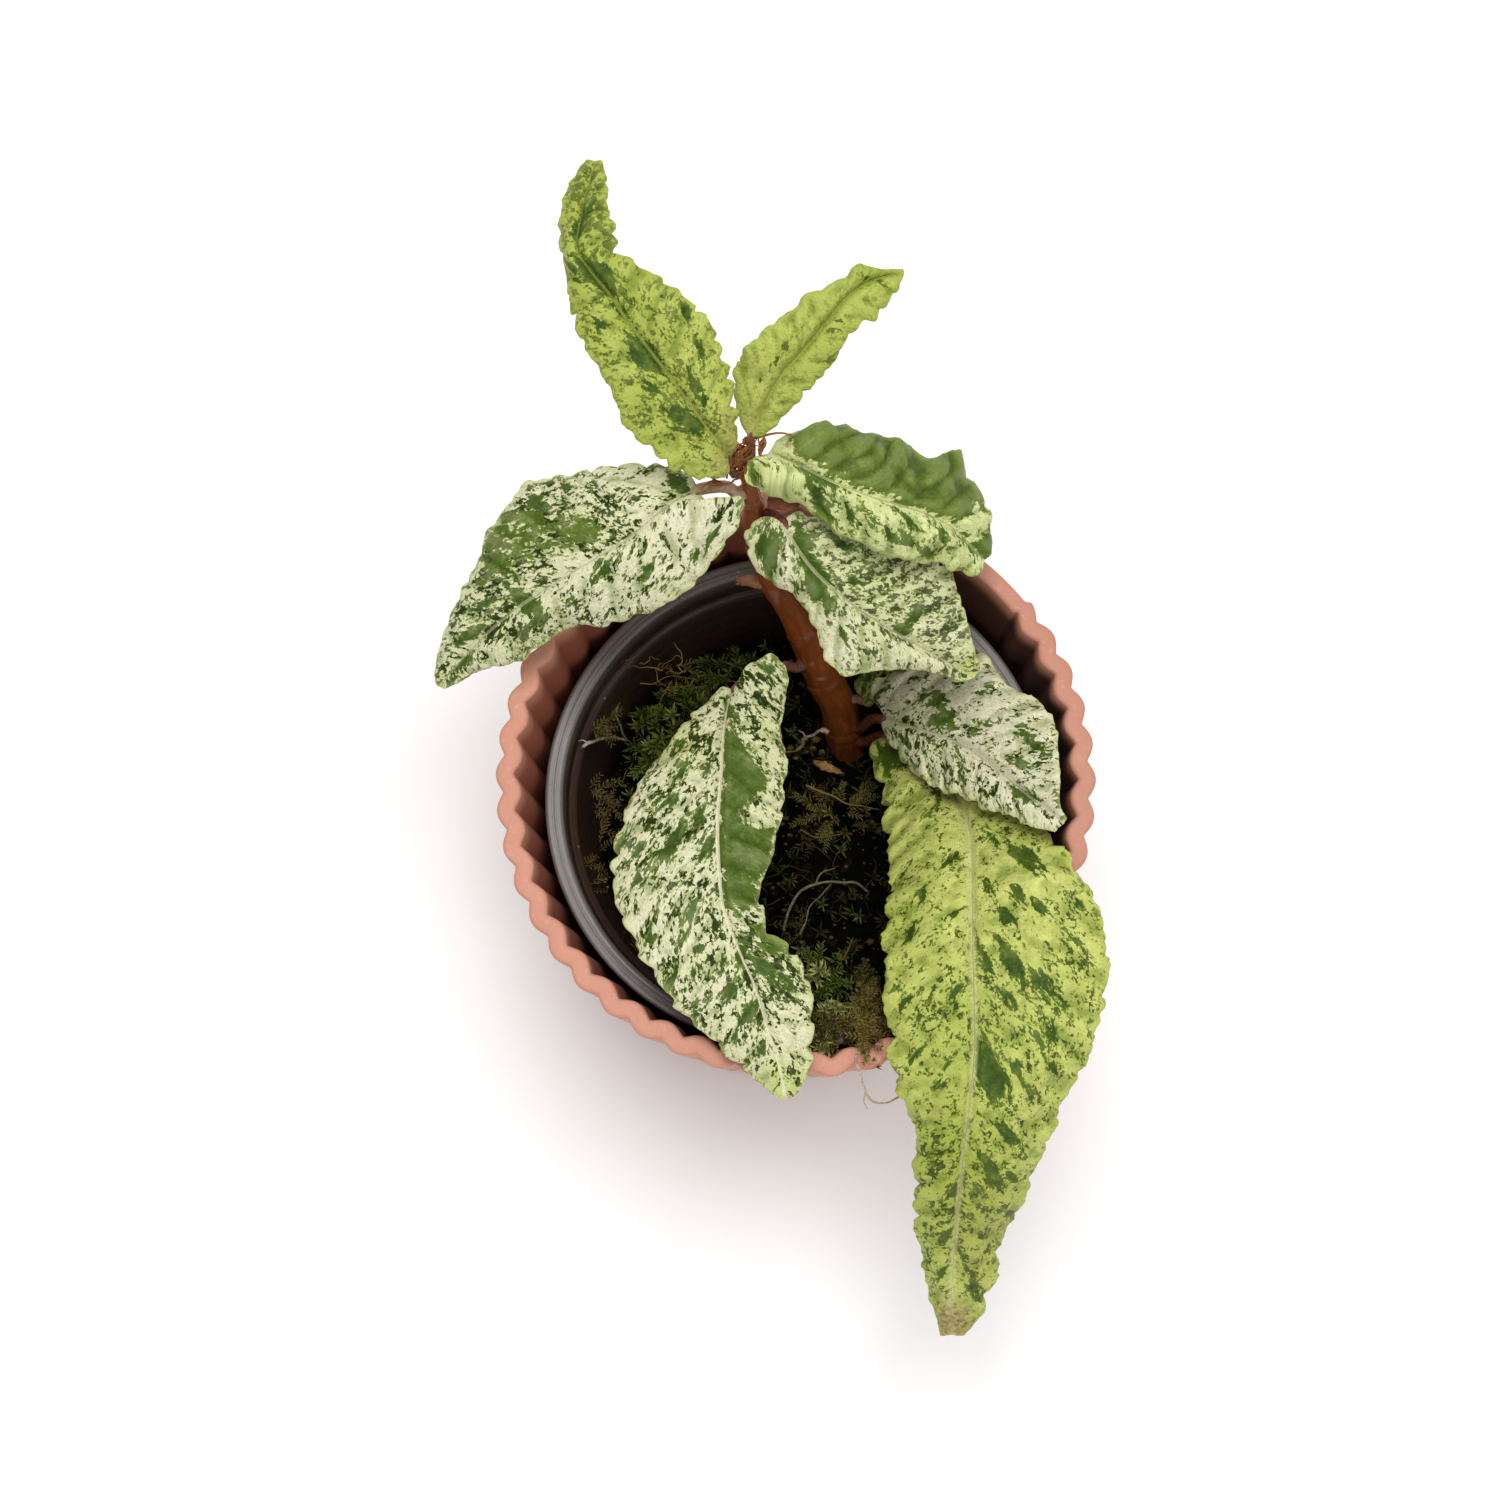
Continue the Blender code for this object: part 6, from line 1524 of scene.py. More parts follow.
def trims():
    one("stipule_blade", "stipule_right", RUDDY, "dry_scale",
        place(768, 500, 86.3), place(801, 503, 87.5), 1.35, 0.2, 3, rows=26, cols=11)
    for name, node, b, t in (("scale_back", "bud_scale_back", (760, 452, 93.2), (764, 444, 96.6)),
                             ("scale_front", "bud_scale_front", (748, 476, 92.6), (744, 468, 96.2))):
        one(name, node, DRY, "dry_scale", place(*b), place(*t), 0.9, 0.2, len(name))
    # growing tip: a ribbed spindle wrapped in two papery scales
    base, tip = place(740.5, 465, 92.9), place(738.5, 453, 97.0)
    f = np.linspace(0.0, 1.0, 24)
    rad = np.interp(f, (0, .2, .45, .7, .9, 1), (0.34, 0.5, 0.58, 0.52, 0.34, 0.10))
    heap = Heap()
    v, q, t = tube(base + (tip - base) * f[:, None], rad, 20,
                   shape=lambda a, k: 1 + 0.12 * np.cos(5 * a + k * 0.12))
    heap.add(v, q, t, tip=np.concatenate([np.repeat(f, 20), [0, 1]]))
    show(heap.finish("growing_tip", DRY), "terminal_bud", slot="dry_scale")
    # stub of a dropped leaf stalk, its end torn open
    toward = place(741, 581, 67.6)
    at, out, r = stalk_start((772, 580, 68.2), toward)
    heap = Heap()
    path = spline([at + out * (r - 0.4), at + out * (r + 0.6), at * 0.3 + toward * 0.7, toward], 16)
    rad = np.linspace(0.95, 0.66, 16)
    v, q, t = tube(path, rad, 20, shape=lambda a, k: 1 + 0.08 * np.sin(4 * a + k))
    heap.add(v, q, t, tip=np.concatenate([np.repeat(np.linspace(0, 0.6, 16), 20), [0, 1]]))
    ax = unit(path[-1] - path[-2])
    for k in range(9):
        a = 2 * math.pi * k / 9
        s, w, _ = carried(path[-2:])
        d = s[0] * math.cos(a) + w[0] * math.sin(a)
        v, q, t = blade(path[-1] + d * 0.45, ax + d * 0.35, d, 0.5 + 0.35 * ((k * 7) % 4) / 4, 0.34)
        heap.add(v, q, t, tip=0.6)
    show(heap.finish("stalk_stub", STUB), "petiole_stub", slot="dry_scale")
    # scrap of withered leaf
    run = spline(run_of(((813, 762, 34.8), (822, 766, 35.3), (832, 770, 35.3), (842, 774, 34.9))), 26)
    s, w, t = carried(run)
    f = np.linspace(0, 1, 26)
    half = np.interp(f, np.linspace(0, 1, 7), (0.2, 0.5, 0.7, 0.78, 0.66, 0.42, 0.12))
    half = half * (1 + 0.25 * noise2(f * 8, f * 0, 31))
    c = np.linspace(-1, 1, 9)
    lift = 0.30 + 0.45 * c[None, :] ** 2 + 0.12 * noise2(f[:, None] * 9, c[None, :] * 2, 37)
    top = run[:, None, :] + s[:, None, :] * (half[:, None] * c)[..., None] + np.array([0, 0, 1.0]) * lift[..., None]
    low = top - np.array([0, 0, 0.22])
    loops = np.concatenate([top, low[:, ::-1]], 1)
    quads = grid_faces(26, 18, closed=True)
    j = np.arange(8)
    e0 = np.stack([j, j + 1, 16 - j, 17 - j], -1)[:, ::-1]
    e1 = np.stack([j, j + 1, 16 - j, 17 - j], -1) + 25 * 18
    heap = Heap()
    heap.add(loops.reshape(-1, 3), np.vstack([quads, e0, e1]), tip=np.repeat(np.abs(2 * f - 1) ** 3, 18) * 0.6)
    show(heap.finish("withered_scrap", STRAW), "leaf_litter", slot="dry_scale")
    # loose roots and threads
    pt = lambda *runs: [run_of(r) for r in runs]
    strand_piece("hooked_root", ((0.26, 0.34, 0.16), (0.22, 0.44, 0.08)),
                 pt(((797, 750, 34.6), (802, 743, 37.2), (809, 736, 39.8), (817, 731, 41.6), (824, 730, 42.3)),
                    ((822, 730, 42.2), (825, 731, 42.4), (828, 733, 42.4)),
                    ((806, 739, 38.8), (803, 733, 40.0), (799, 731, 40.4))),
                 ROOT, ("root_hook",), "root_pale")
    strand_piece("upper_left_root", ((0.25, 0.15, 0.13), (0.18, 0.06, 0.05)),
                 pt(((583, 747, 51.0), (592, 742, 49.6), (605, 738, 46.0), (615, 737, 42.6), (624, 741, 38.8)),
                    ((589, 744, 50.2), (583, 740, 50.8), (579, 741, 51.2)),
                    ((605, 738, 46.0), (608, 731, 45.0), (606, 725, 44.6))),
                 ROOT, ("root_left_upper",), "root_pale")
    strand_piece("lower_left_root", ((0.22, 0.13, 0.11), (0.15, 0.05, 0.05)),
                 pt(((629, 689, 41.6), (621, 700, 42.6), (616, 713, 42.4), (622, 727, 40.0), (628, 741, 37.2)),
                    ((626, 694, 42.2), (632, 688, 42.0), (634, 682, 41.6)),
                    ((620, 702, 42.6), (614, 697, 43.2), (611, 690, 43.6))),
                 MOSSY, ("root_left_lower",), "root_pale")
    strand_piece("front_root", ((0.24, 0.15, 0.13), (0.17, 0.08, 0.06)),
                 pt(((784, 930, 34.0), (789, 907, 35.8), (801, 890, 36.6), (820, 882, 36.8), (848, 882, 35.6),
                     (868, 890, 34.2)),
                    ((800, 934, 34.0), (812, 905, 36.2), (831, 884, 36.8)),
                    ((816, 883, 36.8), (822, 872, 37.2), (835, 868, 36.8))),
                 MOSSY, ("root_front",), "root_pale")
    strand_piece("rim_hair", ((0.2, 0.14), (0.12, 0.06)),
                 pt(((856, 1052, 67.4), (857, 1061, 69.0), (859, 1072, 69.7), (863, 1087, 68.0), (873, 1100, 66.0), (886, 1103, 65.0), (899, 1097, 64.6)),
                    ((866, 1090, 67.4), (864, 1100, 66.4), (868, 1108, 65.4))),
                 ROOT, ("rim_hair_root",), "root_pale", sides=8)
    strand_piece("crown_thread", ((0.22, 0.12), (0.12, 0.06)),
                 pt(((748, 441, 92.8), (757, 437, 93.4), (765, 434, 93.9), (773, 433, 94.2), (783, 433, 94.2),
                     (792, 434, 93.8)),
                    ((765, 434, 93.9), (768, 428, 94.6), (773, 425, 94.8))),
                 DRY, ("dry_thread",), "dry_scale", sides=8)
    # chaff: papery bits and hairs round the crown
    rng = np.random.default_rng(7)
    heap = Heap()
    for k in range(110):
        u, v = 745 + 7 * rng.normal(), 459 + 11 * rng.normal()
        if k % 3 == 0:
            u, v = 724 + 11 * rng.uniform(-1, 1), 472 + 10 * rng.uniform(-1, 1)
        z = 90.6 + 1.6 * rng.uniform(-1, 1) + (467 - v) * 0.05
        b = place(u, v, z)
        d = unit(np.array([rng.normal(), rng.normal() + 0.4, 0.5 + 0.5 * rng.random()]))
        if k % 2:
            n = 7
            bend = np.array([rng.normal(), rng.normal(), 0.3]) * 0.7
            f = np.linspace(0, 1, n)[:, None]
            p = b + d * f * (1.3 + 1.6 * rng.random()) + bend * f * f
            q = tube(p, np.linspace(0.13, 0.04, n), 6)
        else:
            q = blade(b, d, np.array([0.3, 0.2, 1.0]), 1.0 + 1.3 * rng.random(), 0.5 + 0.6 * rng.random(),
                      0.4, 0.25, 6)
        heap.add(*q, tip=float(rng.random() * 0.7))
    show(heap.finish("crown_chaff", DRY), slot="dry_scale")


stem()
trims()


# -------------------------------------------------------------- moss and mix
def moss_finish(name, dark, bright, lime, brown, tan, rough=0.7):
    """Attributes: tone 0 dull to 1 bright, dead 0 green to 1 brown, tip."""
    m = Shade(name, rough=rough, spec=0.13)
    at = m.place_mm()
    cloud = m.noise(at, 1.1, 3.0, 0.6)
    grain = m.noise(at, 7.0, 2.0, 0.6)
    tone, dead, tip = m.attr("tone"), m.attr("dead"), m.attr("tip")
    green = m.mix(tone, dark, bright)
    green = m.mix(m.math("MULTIPLY", tip, m.math("MULTIPLY", tone, 0.8)), green, lime)
    woody = m.mix(m.math("MULTIPLY", m.math("ADD", tone, tip), 0.5), brown, tan)
    col = m.mix(dead, green, woody)
    col = m.mix(m.span(cloud, 0.38, 0.66, 0.0, 0.45), col, m.mix(0.5, col, dark))
    col = m.mix(m.span(grain, 0.5, 0.75, 0.0, 0.30), col, m.mix(0.6, col, tan))
    return m.finish(col, m.span(cloud, 0.3, 0.7, rough - 0.12, rough + 0.12),
                    m.bump(grain, 0.05, 0.6))


def soil_finish():
    m = Shade("dark_growing_mix", rough=0.95, spec=0.05)
    at = m.place_mm()
    a = m.noise(at, 0.5, 5.0, 0.7)
    b = m.noise(at, 2.6, 4.0, 0.7)
    chip = m.split_rgb(m.cells(at, 1.3), "Red")
    col = m.mix(m.span(a, 0.38, 0.62), srgb(3, 3, 2), srgb(9, 8, 5))
    col = m.mix(m.span(b, 0.54, 0.72, 0.0, 0.6), col, srgb(15, 17, 7))
    col = m.mix(m.span(chip, 0.90, 0.92, 0.0, 0.5), col, srgb(40, 29, 17))
    return m.finish(col, m.span(b, 0.3, 0.7, 0.8, 1.0), m.bump(m.math("MULTIPLY_ADD", b, 0.5, a), 0.5, 1.0))


GREEN = moss_finish("star_moss_green", srgb(12, 18, 5), srgb(66, 88, 24), srgb(150, 168, 66),
                    srgb(50, 34, 15), srgb(120, 94, 50))
PALE_TIPS = moss_finish("star_moss_pale_tips", srgb(14, 20, 5), srgb(100, 112, 30), srgb(206, 206, 130),
                        srgb(50, 34, 15), srgb(120, 94, 50))
BRIGHT = moss_finish("star_moss_bright", srgb(40, 52, 12), srgb(158, 172, 56), srgb(232, 236, 158),
                     srgb(50, 34, 15), srgb(120, 94, 50))
BROWN = moss_finish("feather_moss_brown", srgb(11, 13, 3), srgb(62, 68, 20), srgb(164, 162, 78),
                    srgb(42, 31, 12), srgb(152, 128, 66))
SOIL = soil_finish()
BED_R = 27.9


def bump_of_part(x, y, size=5.0):
    return (np.sin(x * 0.61 / size + 1.3) * np.cos(y * 0.53 / size - 0.4)
            + 0.6 * np.sin((x + y) * 1.07 / size + 2.1)
            + 0.4 * np.cos((x - 1.7 * y) * 1.31 / size)) / 2.0


def bed_height(x, y):
    return (33.0 + 0.45 * bump_of_part(x, y) + 0.55 * fractal(x / 2.3, y / 2.3, 51, 3)
            + 0.25 * fractal(x / 0.7, y / 0.7, 57, 2))


def wall_radius(z):
    return 25.6 + 5.3 * (z - 4.2) / 45.8


def plug(name, mat, low, wall, top, around=220, across=84):
    """A round plug of growing mix: low and wall are (radius, z); top(x, y)."""
    ang = 2 * math.pi * np.arange(around) / around
    loops = []
    for f in (0.05, 0.35, 0.7, 0.93, 1.0):
        loops.append((low[0] * f, np.full(around, low[1])))
    for z in np.linspace(low[1] + 0.4, wall[1], 8):
        g = (z - low[1]) / (wall[1] - low[1])
        loops.append((low[0] + (wall[0] - low[0]) * g, np.full(around, z)))
    pts = []
    for r, z in loops:
        r = r - 0.12 * (1 + noise2(ang * 9, z * 1.3, 71)) * (r > low[0] * 0.8)
        pts.append(np.stack([NP_X + r * np.cos(ang), NP_Y + r * np.sin(ang), z], -1))
    for f in np.linspace(0.985, 0.012, across):
        r = wall[0] * f
        x, y = NP_X + r * np.cos(ang), NP_Y + r * np.sin(ang)
        z = top(x, y)
        z = np.where(f > 0.94, z - (f - 0.94) * 18.0, z)
        pts.append(np.stack([x, y, np.maximum(z, wall[1] - 0.2)], -1))
    pts = np.array(pts)
    n = len(pts)
    verts = np.vstack([pts.reshape(-1, 3), pts[0].mean(0), pts[-1].mean(0)])
    quads = grid_faces(n, around, closed=True)
    j = np.arange(around)
    q = (j + 1) % around
    base = n * around
    tris = np.vstack([np.stack([np.full(around, base), q, j], -1),
                      np.stack([np.full(around, base + 1), (n - 1) * around + j, (n - 1) * around + q], -1)])
    return build(name, verts, quads, tris, None, None, mat)


def rosette(heap, at, axis, size, leaves, rng, tone, dead, slim=0.22):
    """A star of moss seen from its tip."""
    axis = unit(np.asarray(axis, float))
    s = unit(np.cross(axis, [0.31, 0.9, 0.2]))
    w = np.cross(axis, s)
    for k in range(leaves):
        tier = k / max(1, leaves - 1)
        a = 2.399963 * k + rng.uniform(-0.3, 0.3)
        spread = 1.15 - 0.85 * tier + rng.uniform(-0.12, 0.12)
        d = (s * math.cos(a) + w * math.sin(a)) * math.sin(spread) + axis * math.cos(spread)
        long = size * (1.0 - 0.34 * tier) * rng.uniform(0.8, 1.2)
        v, q, t = blade(at + axis * (tier * size * 0.28), d, axis, long, long * slim, 0.5, 0.10, 4)
        heap.add(v, q, t, tone=tone * rng.uniform(0.75, 1.15), dead=dead,
                 tip=np.repeat(np.linspace(0.1, 1.0, 4), 3))


def feather(heap, path, size, rng, tone, dead, gap=0.36, stalk=0.09):
    """A creeping shoot with small leaves along both sides."""
    run = length_of(path)
    count = max(6, int(run[-1] / 0.5))
    line = spline(path, count)
    v, q, t = tube(line, np.linspace(stalk, stalk * 0.4, count), 5)
    heap.add(v, q, t, tone=tone * 0.6, dead=min(1.0, dead + 0.3), tip=0.2)
    fine = spline(path, max(5, int(run[-1] / gap)))
    s, w, tang = carried(fine)
    for k in range(1, len(fine)):
        f = k / len(fine)
        for side in (-1, 1):
            lean = rng.uniform(0.2, 1.0)
            d = tang[k] * 0.75 + s[k] * side * rng.uniform(0.5, 0.95) + w[k] * lean * 0.5 + np.array([0, 0, 0.18])
            long = size * (1.15 - 0.55 * f) * rng.uniform(0.7, 1.2)
            v, q, t = blade(fine[k], d, [0.05, 0.02, 1.0], long, long * 0.20, 0.4, -0.1, 4)
            heap.add(v, q, t, tone=tone * rng.uniform(0.7, 1.2), dead=dead,
                     tip=np.repeat(np.linspace(0.0, 1.0, 4), 3))


def chip(heap, at, size, rng, tone, dead):
    """A small broken crumb with uneven faces."""
    ring = []
    turn = rng.uniform(0, 6.28)
    for level, r in ((-0.55, 0.6), (0.0, 1.0), (0.5, 0.65)):
        for k in range(5):
            a = turn + 2 * math.pi * k / 5 + level
            rr = size * r * rng.uniform(0.7, 1.2)
            ring.append([rr * math.cos(a), 0.75 * rr * math.sin(a), size * level * rng.uniform(0.7, 1.1)])
    v = np.array(ring) + at
    q = grid_faces(3, 5, closed=True)
    t = [[0, 2, 1], [0, 3, 2], [0, 4, 3], [10, 11, 12], [10, 12, 13], [10, 13, 14]]
    heap.add(v, q, np.array(t), tone=tone, dead=dead, tip=0.3)


STEM_AT = place(844, 734, 34.5)


def painted_light_at(u, v):
    """Painted shade: how bright the moss is coloured at a place on the sheet, dull in the middle under the leaves."""
    left = smooth(790.0, 660.0, np.array([float(u)]))[0]
    low = smooth(760.0, 900.0, np.array([float(v)]))[0]
    return 0.14 + 0.55 * left * (1 - 0.5 * low)


def clear(p, margin=0.0):
    return (math.hypot(p[0] - NP_X, p[1] - NP_Y) < BED_R - margin
            and math.hypot(p[0] - STEM_AT[0], p[1] - STEM_AT[1]) > 3.6)


def on_bed(u, v, lift=0.0):
    p = place(u, v, 33.5)
    z = float(bed_height(p[0], p[1]))
    p = place(u, v, z + lift)
    return p


def on_wall(u, v, off=0.5):
    """Where a sheet point meets the inside of the nursery pot's wall."""
    for z in np.arange(53.5, 32.0, -0.1):
        p = place(u, v, z)
        if math.hypot(p[0] - NP_X, p[1] - NP_Y) <= wall_radius(z) - off:
            return p
    return on_bed(u, v)


def moss():
    mix = plug("packed_growing_mix", SOIL, (wall_radius(4.9) - 2.1, 4.6), (wall_radius(29.0) - 0.75, 29.0),
               lambda x, y: 29.5 + 0.3 * fractal(x / 2, y / 2, 81, 3), 160, 40)
    show(mix, "growing_mix", slot="growing_mix")
    bed = plug("moss_bed", SOIL, (wall_radius(30.4) - 0.65, 30.4), (wall_radius(32.0) - 0.6, 32.0), bed_height)
    show(bed, "moss_mat", slot="moss_green")

    rng = np.random.default_rng(11)
    # named clumps: centre, half width, half depth, height
    def clump(name, node, slot, mat, centre, hw, hd, height, count, size, tone, dead, plumes):
        heap = Heap()
        c = place(*centre, 33.9)
        for k in range(count):
            a, f = rng.uniform(0, 2 * math.pi), math.sqrt(rng.uniform(0, 1))
            x, y = c[0] + hw * f * math.cos(a), c[1] + hd * f * math.sin(a)
            z = 33.9 + height * (1 - f * f) ** 0.6 * rng.uniform(0.35, 0.92)
            if not clear((x, y), 0.4):
                continue
            up = np.array([0.5 * f * math.cos(a), 0.5 * f * math.sin(a), 1.0])
            rosette(heap, np.array([x, y, z]), up, size * rng.uniform(0.75, 1.2), 12, rng,
                    tone * rng.uniform(0.35, 1.3), dead, 0.17)
            # its stalk down into the bed
            foot = np.array([x * 0.7 + c[0] * 0.3, y * 0.7 + c[1] * 0.3, 32.6])
            feather(heap, np.array([foot, (foot + [x, y, z]) / 2 + rng.normal(0, 0.25, 3), [x, y, z]]),
                    size * 0.55, rng, tone * 0.5, dead, 0.55)
        for k in range(plumes):
            a = rng.uniform(0, 2 * math.pi)
            f = rng.uniform(0.2, 0.9)
            p0 = np.array([c[0] + hw * f * math.cos(a), c[1] + hd * f * math.sin(a),
                           33.4 + height * 0.5 * (1 - f)])
            d = np.array([math.cos(a), math.sin(a), 0.35]) * rng.uniform(2.0, 3.4)
            path = np.array([p0, p0 + d * 0.5 + [0, 0, 0.7], p0 + d])
            if clear(path[-1], 0.3):
                feather(heap, path, size * 0.65, rng, tone, dead)
        show(heap.finish(name, mat, 50.0), node, slot=slot)

    clump("star_moss_left", "moss_clump_left", "moss_green", GREEN, (674, 730), 6.6, 7.4, 5.2, 44, 2.2,
          0.62, 0.0, 8)
    clump("star_moss_back", "moss_clump_back", "moss_green", GREEN, (738, 676), 5.8, 4.0, 4.0, 28, 1.9,
          0.55, 0.05, 6)
    clump("feather_moss_middle", "moss_clump_brown", "moss_brown", BROWN, (838, 812), 5.6, 3.6, 3.6, 10, 1.5,
          0.55, 0.3, 22)
    clump("star_moss_front", "moss_clump_front", "moss_green", GREEN, (816, 980), 4.2, 4.2, 5.0, 18, 2.0,
          0.55, 0.0, 6)

    # carpet of small dull stars and shoots over the bed
    heap = Heap()
    made = 0
    while made < 150:
        u, v = rng.uniform(590, 900), rng.uniform(600, 1040)
        p = on_bed(u, v, 0.2)
        if not clear(p, 0.9):
            continue
        made += 1
        tone = painted_light_at(u, v) * rng.uniform(0.5, 1.2)
        rosette(heap, p + np.array([0, 0, rng.uniform(0, 1.2)]), [rng.normal() * 0.4, rng.normal() * 0.4, 1.0],
                rng.uniform(1.3, 2.3), 9, rng, 1.25 * tone, 0.2 * rng.random(), 0.15)
    show(heap.finish("moss_carpet_stars", GREEN, 50.0), slot="moss_green")

    # stars and tufts that stand out; their tones are lower in the middle as painted shade
    heap = Heap()
    for u, v, size, tone, leaves, lift in ((816, 974, 2.5, 1.0, 16, 4.2), (673, 716, 2.2, 0.45, 16, 3.4),
                                           (648, 746, 2.1, 0.5, 15, 2.6), (656, 752, 1.8, 0.4, 14, 2.2),
                                           (689, 689, 1.9, 0.25, 14, 2.4), (720, 664, 1.9, 0.2, 13, 2.4),
                                           (766, 648, 1.5, 0.2, 11, 1.6), (792, 734, 1.7, 0.3, 12, 1.4),
                                           (700, 700, 1.8, 0.3, 13, 2.6), (634, 770, 1.7, 0.25, 12, 2.0),
                                           (844, 955, 1.8, 0.2, 9, 1.6), (800, 950, 1.6, 0.25, 11, 1.6),
                                           (822, 905, 1.6, 0.12, 11, 1.6), (790, 880, 1.7, 0.1, 11, 1.2),
                                           (840, 850, 1.6, 0.1, 11, 1.4), (860, 915, 1.6, 0.12, 11, 1.6),
                                           (806, 1010, 1.5, 0.3, 11, 1.4), (850, 985, 1.5, 0.3, 11, 1.8)):
        rosette(heap, on_bed(u, v, lift), [rng.normal() * 0.25, -0.12 + rng.normal() * 0.2, 1.0], size, leaves,
                rng, tone, 0.0, 0.17)
    for u, v, count, tone in ((831, 1010, 14, 1.0), (863, 1003, 9, 0.8), (846, 1016, 9, 0.6), (818, 974, 5, 0.9)):
        for k in range(count):
            p = on_bed(u + rng.uniform(-9, 9), v + rng.uniform(-9, 9), rng.uniform(2.4, 5.0))
            if clear(p, 0.5):
                rosette(heap, p, [rng.normal() * 0.5, rng.normal() * 0.5, 1.0], rng.uniform(1.1, 1.9), 8, rng,
                        tone * rng.uniform(0.7, 1.3), 0.0, 0.16)
    show(heap.finish("moss_bright_tufts", BRIGHT, 50.0), slot="moss_green")

    heap = Heap()
    made = 0
    while made < 74:
        u, v = rng.uniform(590, 900), rng.uniform(600, 1040)
        p = on_bed(u, v, 0.3)
        a = rng.uniform(0, 2 * math.pi)
        d = np.array([math.cos(a), math.sin(a), 0.0]) * rng.uniform(2.0, 4.5)
        bend = np.array([-math.sin(a), math.cos(a), 0.0]) * rng.normal() * 0.8
        q = p + d
        if not (clear(p, 0.8) and clear(q, 0.8)):
            continue
        made += 1
        m1 = p + d * 0.5 + bend
        path = np.array([p, [m1[0], m1[1], float(bed_height(m1[0], m1[1])) + rng.uniform(0.4, 1.6)],
                         [q[0], q[1], float(bed_height(q[0], q[1])) + rng.uniform(0.3, 2.0)]])
        left = u < 720
        feather(heap, path, rng.uniform(0.8, 1.35), rng, painted_light_at(u, v) * rng.uniform(0.6, 1.5),
                0.75 if (rng.random() < 0.22 or (left and v < 700)) else 0.1, 0.60, 0.07)
    show(heap.finish("moss_carpet_shoots", BROWN, 50.0), slot="moss_brown")

    # crumbs of mix and bits of bark
    heap = Heap()
    made = 0
    while made < 700:
        r, a = BED_R * math.sqrt(rng.random()), rng.uniform(0, 2 * math.pi)
        x, y = NP_X + r * math.cos(a), NP_Y + r * math.sin(a)
        if not clear((x, y), 0.5):
            continue
        made += 1
        size = 0.16 + 0.5 * rng.random() ** 3
        chip(heap, np.array([x, y, float(bed_height(x, y)) + size * 0.3]), size, rng,
             0.02 + 0.3 * rng.random() ** 5, 1.0)
    for u, v in ((800, 742), (806, 752), (796, 758), (812, 748), (790, 748), (822, 752), (816, 740)):
        p = on_bed(u, v, 0.9)
        chip(heap, p, 0.5 + 0.3 * rng.random(), rng, 0.9, 1.0)
    show(heap.finish("mix_crumbs", BROWN, 30.0), slot="growing_mix")

    # strands: straw-coloured roots and dead moss stems
    heap = Heap()
    runs = [(((616, 713, 36.6), (640, 712, 35.6), (661, 713, 35.4)), 0.13, 0.9),
            (((636, 714, 36.4), (648, 719, 36.0), (657, 723, 35.4)), 0.11, 0.7),
            (((632, 716, 37.0), (636, 730, 36.6), (646, 741, 35.4)), 0.10, 0.6),
            (((782, 752, 34.6), (791, 751, 34.9), (801, 749, 34.6)), 0.17, 1.0),
            (((806, 785, 37.0), (828, 795, 37.4), (850, 804, 37.0), (879, 809, 35.6)), 0.15, 1.0),
            (((636, 690, 36.8), (660, 672, 36.2), (690, 662, 35.6), (704, 657, 35.2)), 0.16, 0.9),
            (((640, 664, 36.5), (664, 661, 36.4), (690, 668, 35.6)), 0.13, 0.8),
            (((652, 684, 37.0), (672, 676, 36.4), (696, 680, 35.6)), 0.12, 0.8),
            (((607, 938, 44.0), (616, 934, 42.0), (625, 931, 40.0)), 0.13, 1.0),
            (((800, 830, 35.6), (820, 838, 35.8), (842, 834, 35.4)), 0.12, 0.5),
            (((852, 940, 35.6), (846, 955, 36.2), (836, 971, 35.6)), 0.16, 0.4)]
    for k, (run, r, tone) in enumerate(runs):
        line = wander(run_of(run), 0.2, 40 + k, 18)
        v, q, t = tube(line, np.linspace(r, r * 0.5, 18), 6)
        heap.add(v, q, t, tone=tone, dead=1.0, tip=0.8 * tone)
    for k in range(34):
        u, v = rng.uniform(632, 700), rng.uniform(655, 694)
        p = on_wall(u, v, 0.9) if k % 2 else on_bed(u, v, 1.5)
        d = np.array([rng.normal(), 0.5 * rng.normal(), 0.5 * rng.normal()])
        line = np.array([p, p + d * 1.2 + [0, 0, 0.6], p + unit(d) * rng.uniform(2.0, 5.0)])
        if math.hypot(line[-1][0] - NP_X, line[-1][1] - NP_Y) > wall_radius(line[-1][2]) - 0.5:
            continue
        line = wander(line, 0.5, 90 + k, 18, 1.1)
        verts, quads, tris = tube(line, np.linspace(rng.uniform(0.07, 0.13), 0.03, 18), 5)
        heap.add(verts, quads, tris, tone=rng.uniform(0.4, 1.0), dead=1.0, tip=rng.uniform(0.3, 0.9))
    made = 0
    while made < 110:
        u, v = rng.uniform(585, 900), rng.uniform(600, 1040)
        p = on_bed(u, v, 0.3)
        a = rng.uniform(0, 2 * math.pi)
        q = p + np.array([math.cos(a), math.sin(a), 0.0]) * rng.uniform(2.5, 8.0)
        if not (clear(p, 0.6) and clear(q, 0.6)):
            continue
        made += 1
        mid = (p + q) / 2 + rng.normal(0, 0.8, 3)
        line = np.array([p, [mid[0], mid[1], float(bed_height(mid[0], mid[1])) + rng.uniform(0.5, 2.4)],
                         [q[0], q[1], float(bed_height(q[0], q[1])) + 0.2]])
        line = wander(line, 0.35, made, 16, 1.5)
        tone = min(1.0, painted_light_at(u, v) * rng.uniform(0.4, 1.5))
        verts, quads, tris = tube(line, np.linspace(rng.uniform(0.05, 0.12), 0.03, 16), 5)
        heap.add(verts, quads, tris, tone=tone, dead=1.0, tip=tone)
    show(heap.finish("dead_stems", BROWN, 60.0), slot="moss_brown")

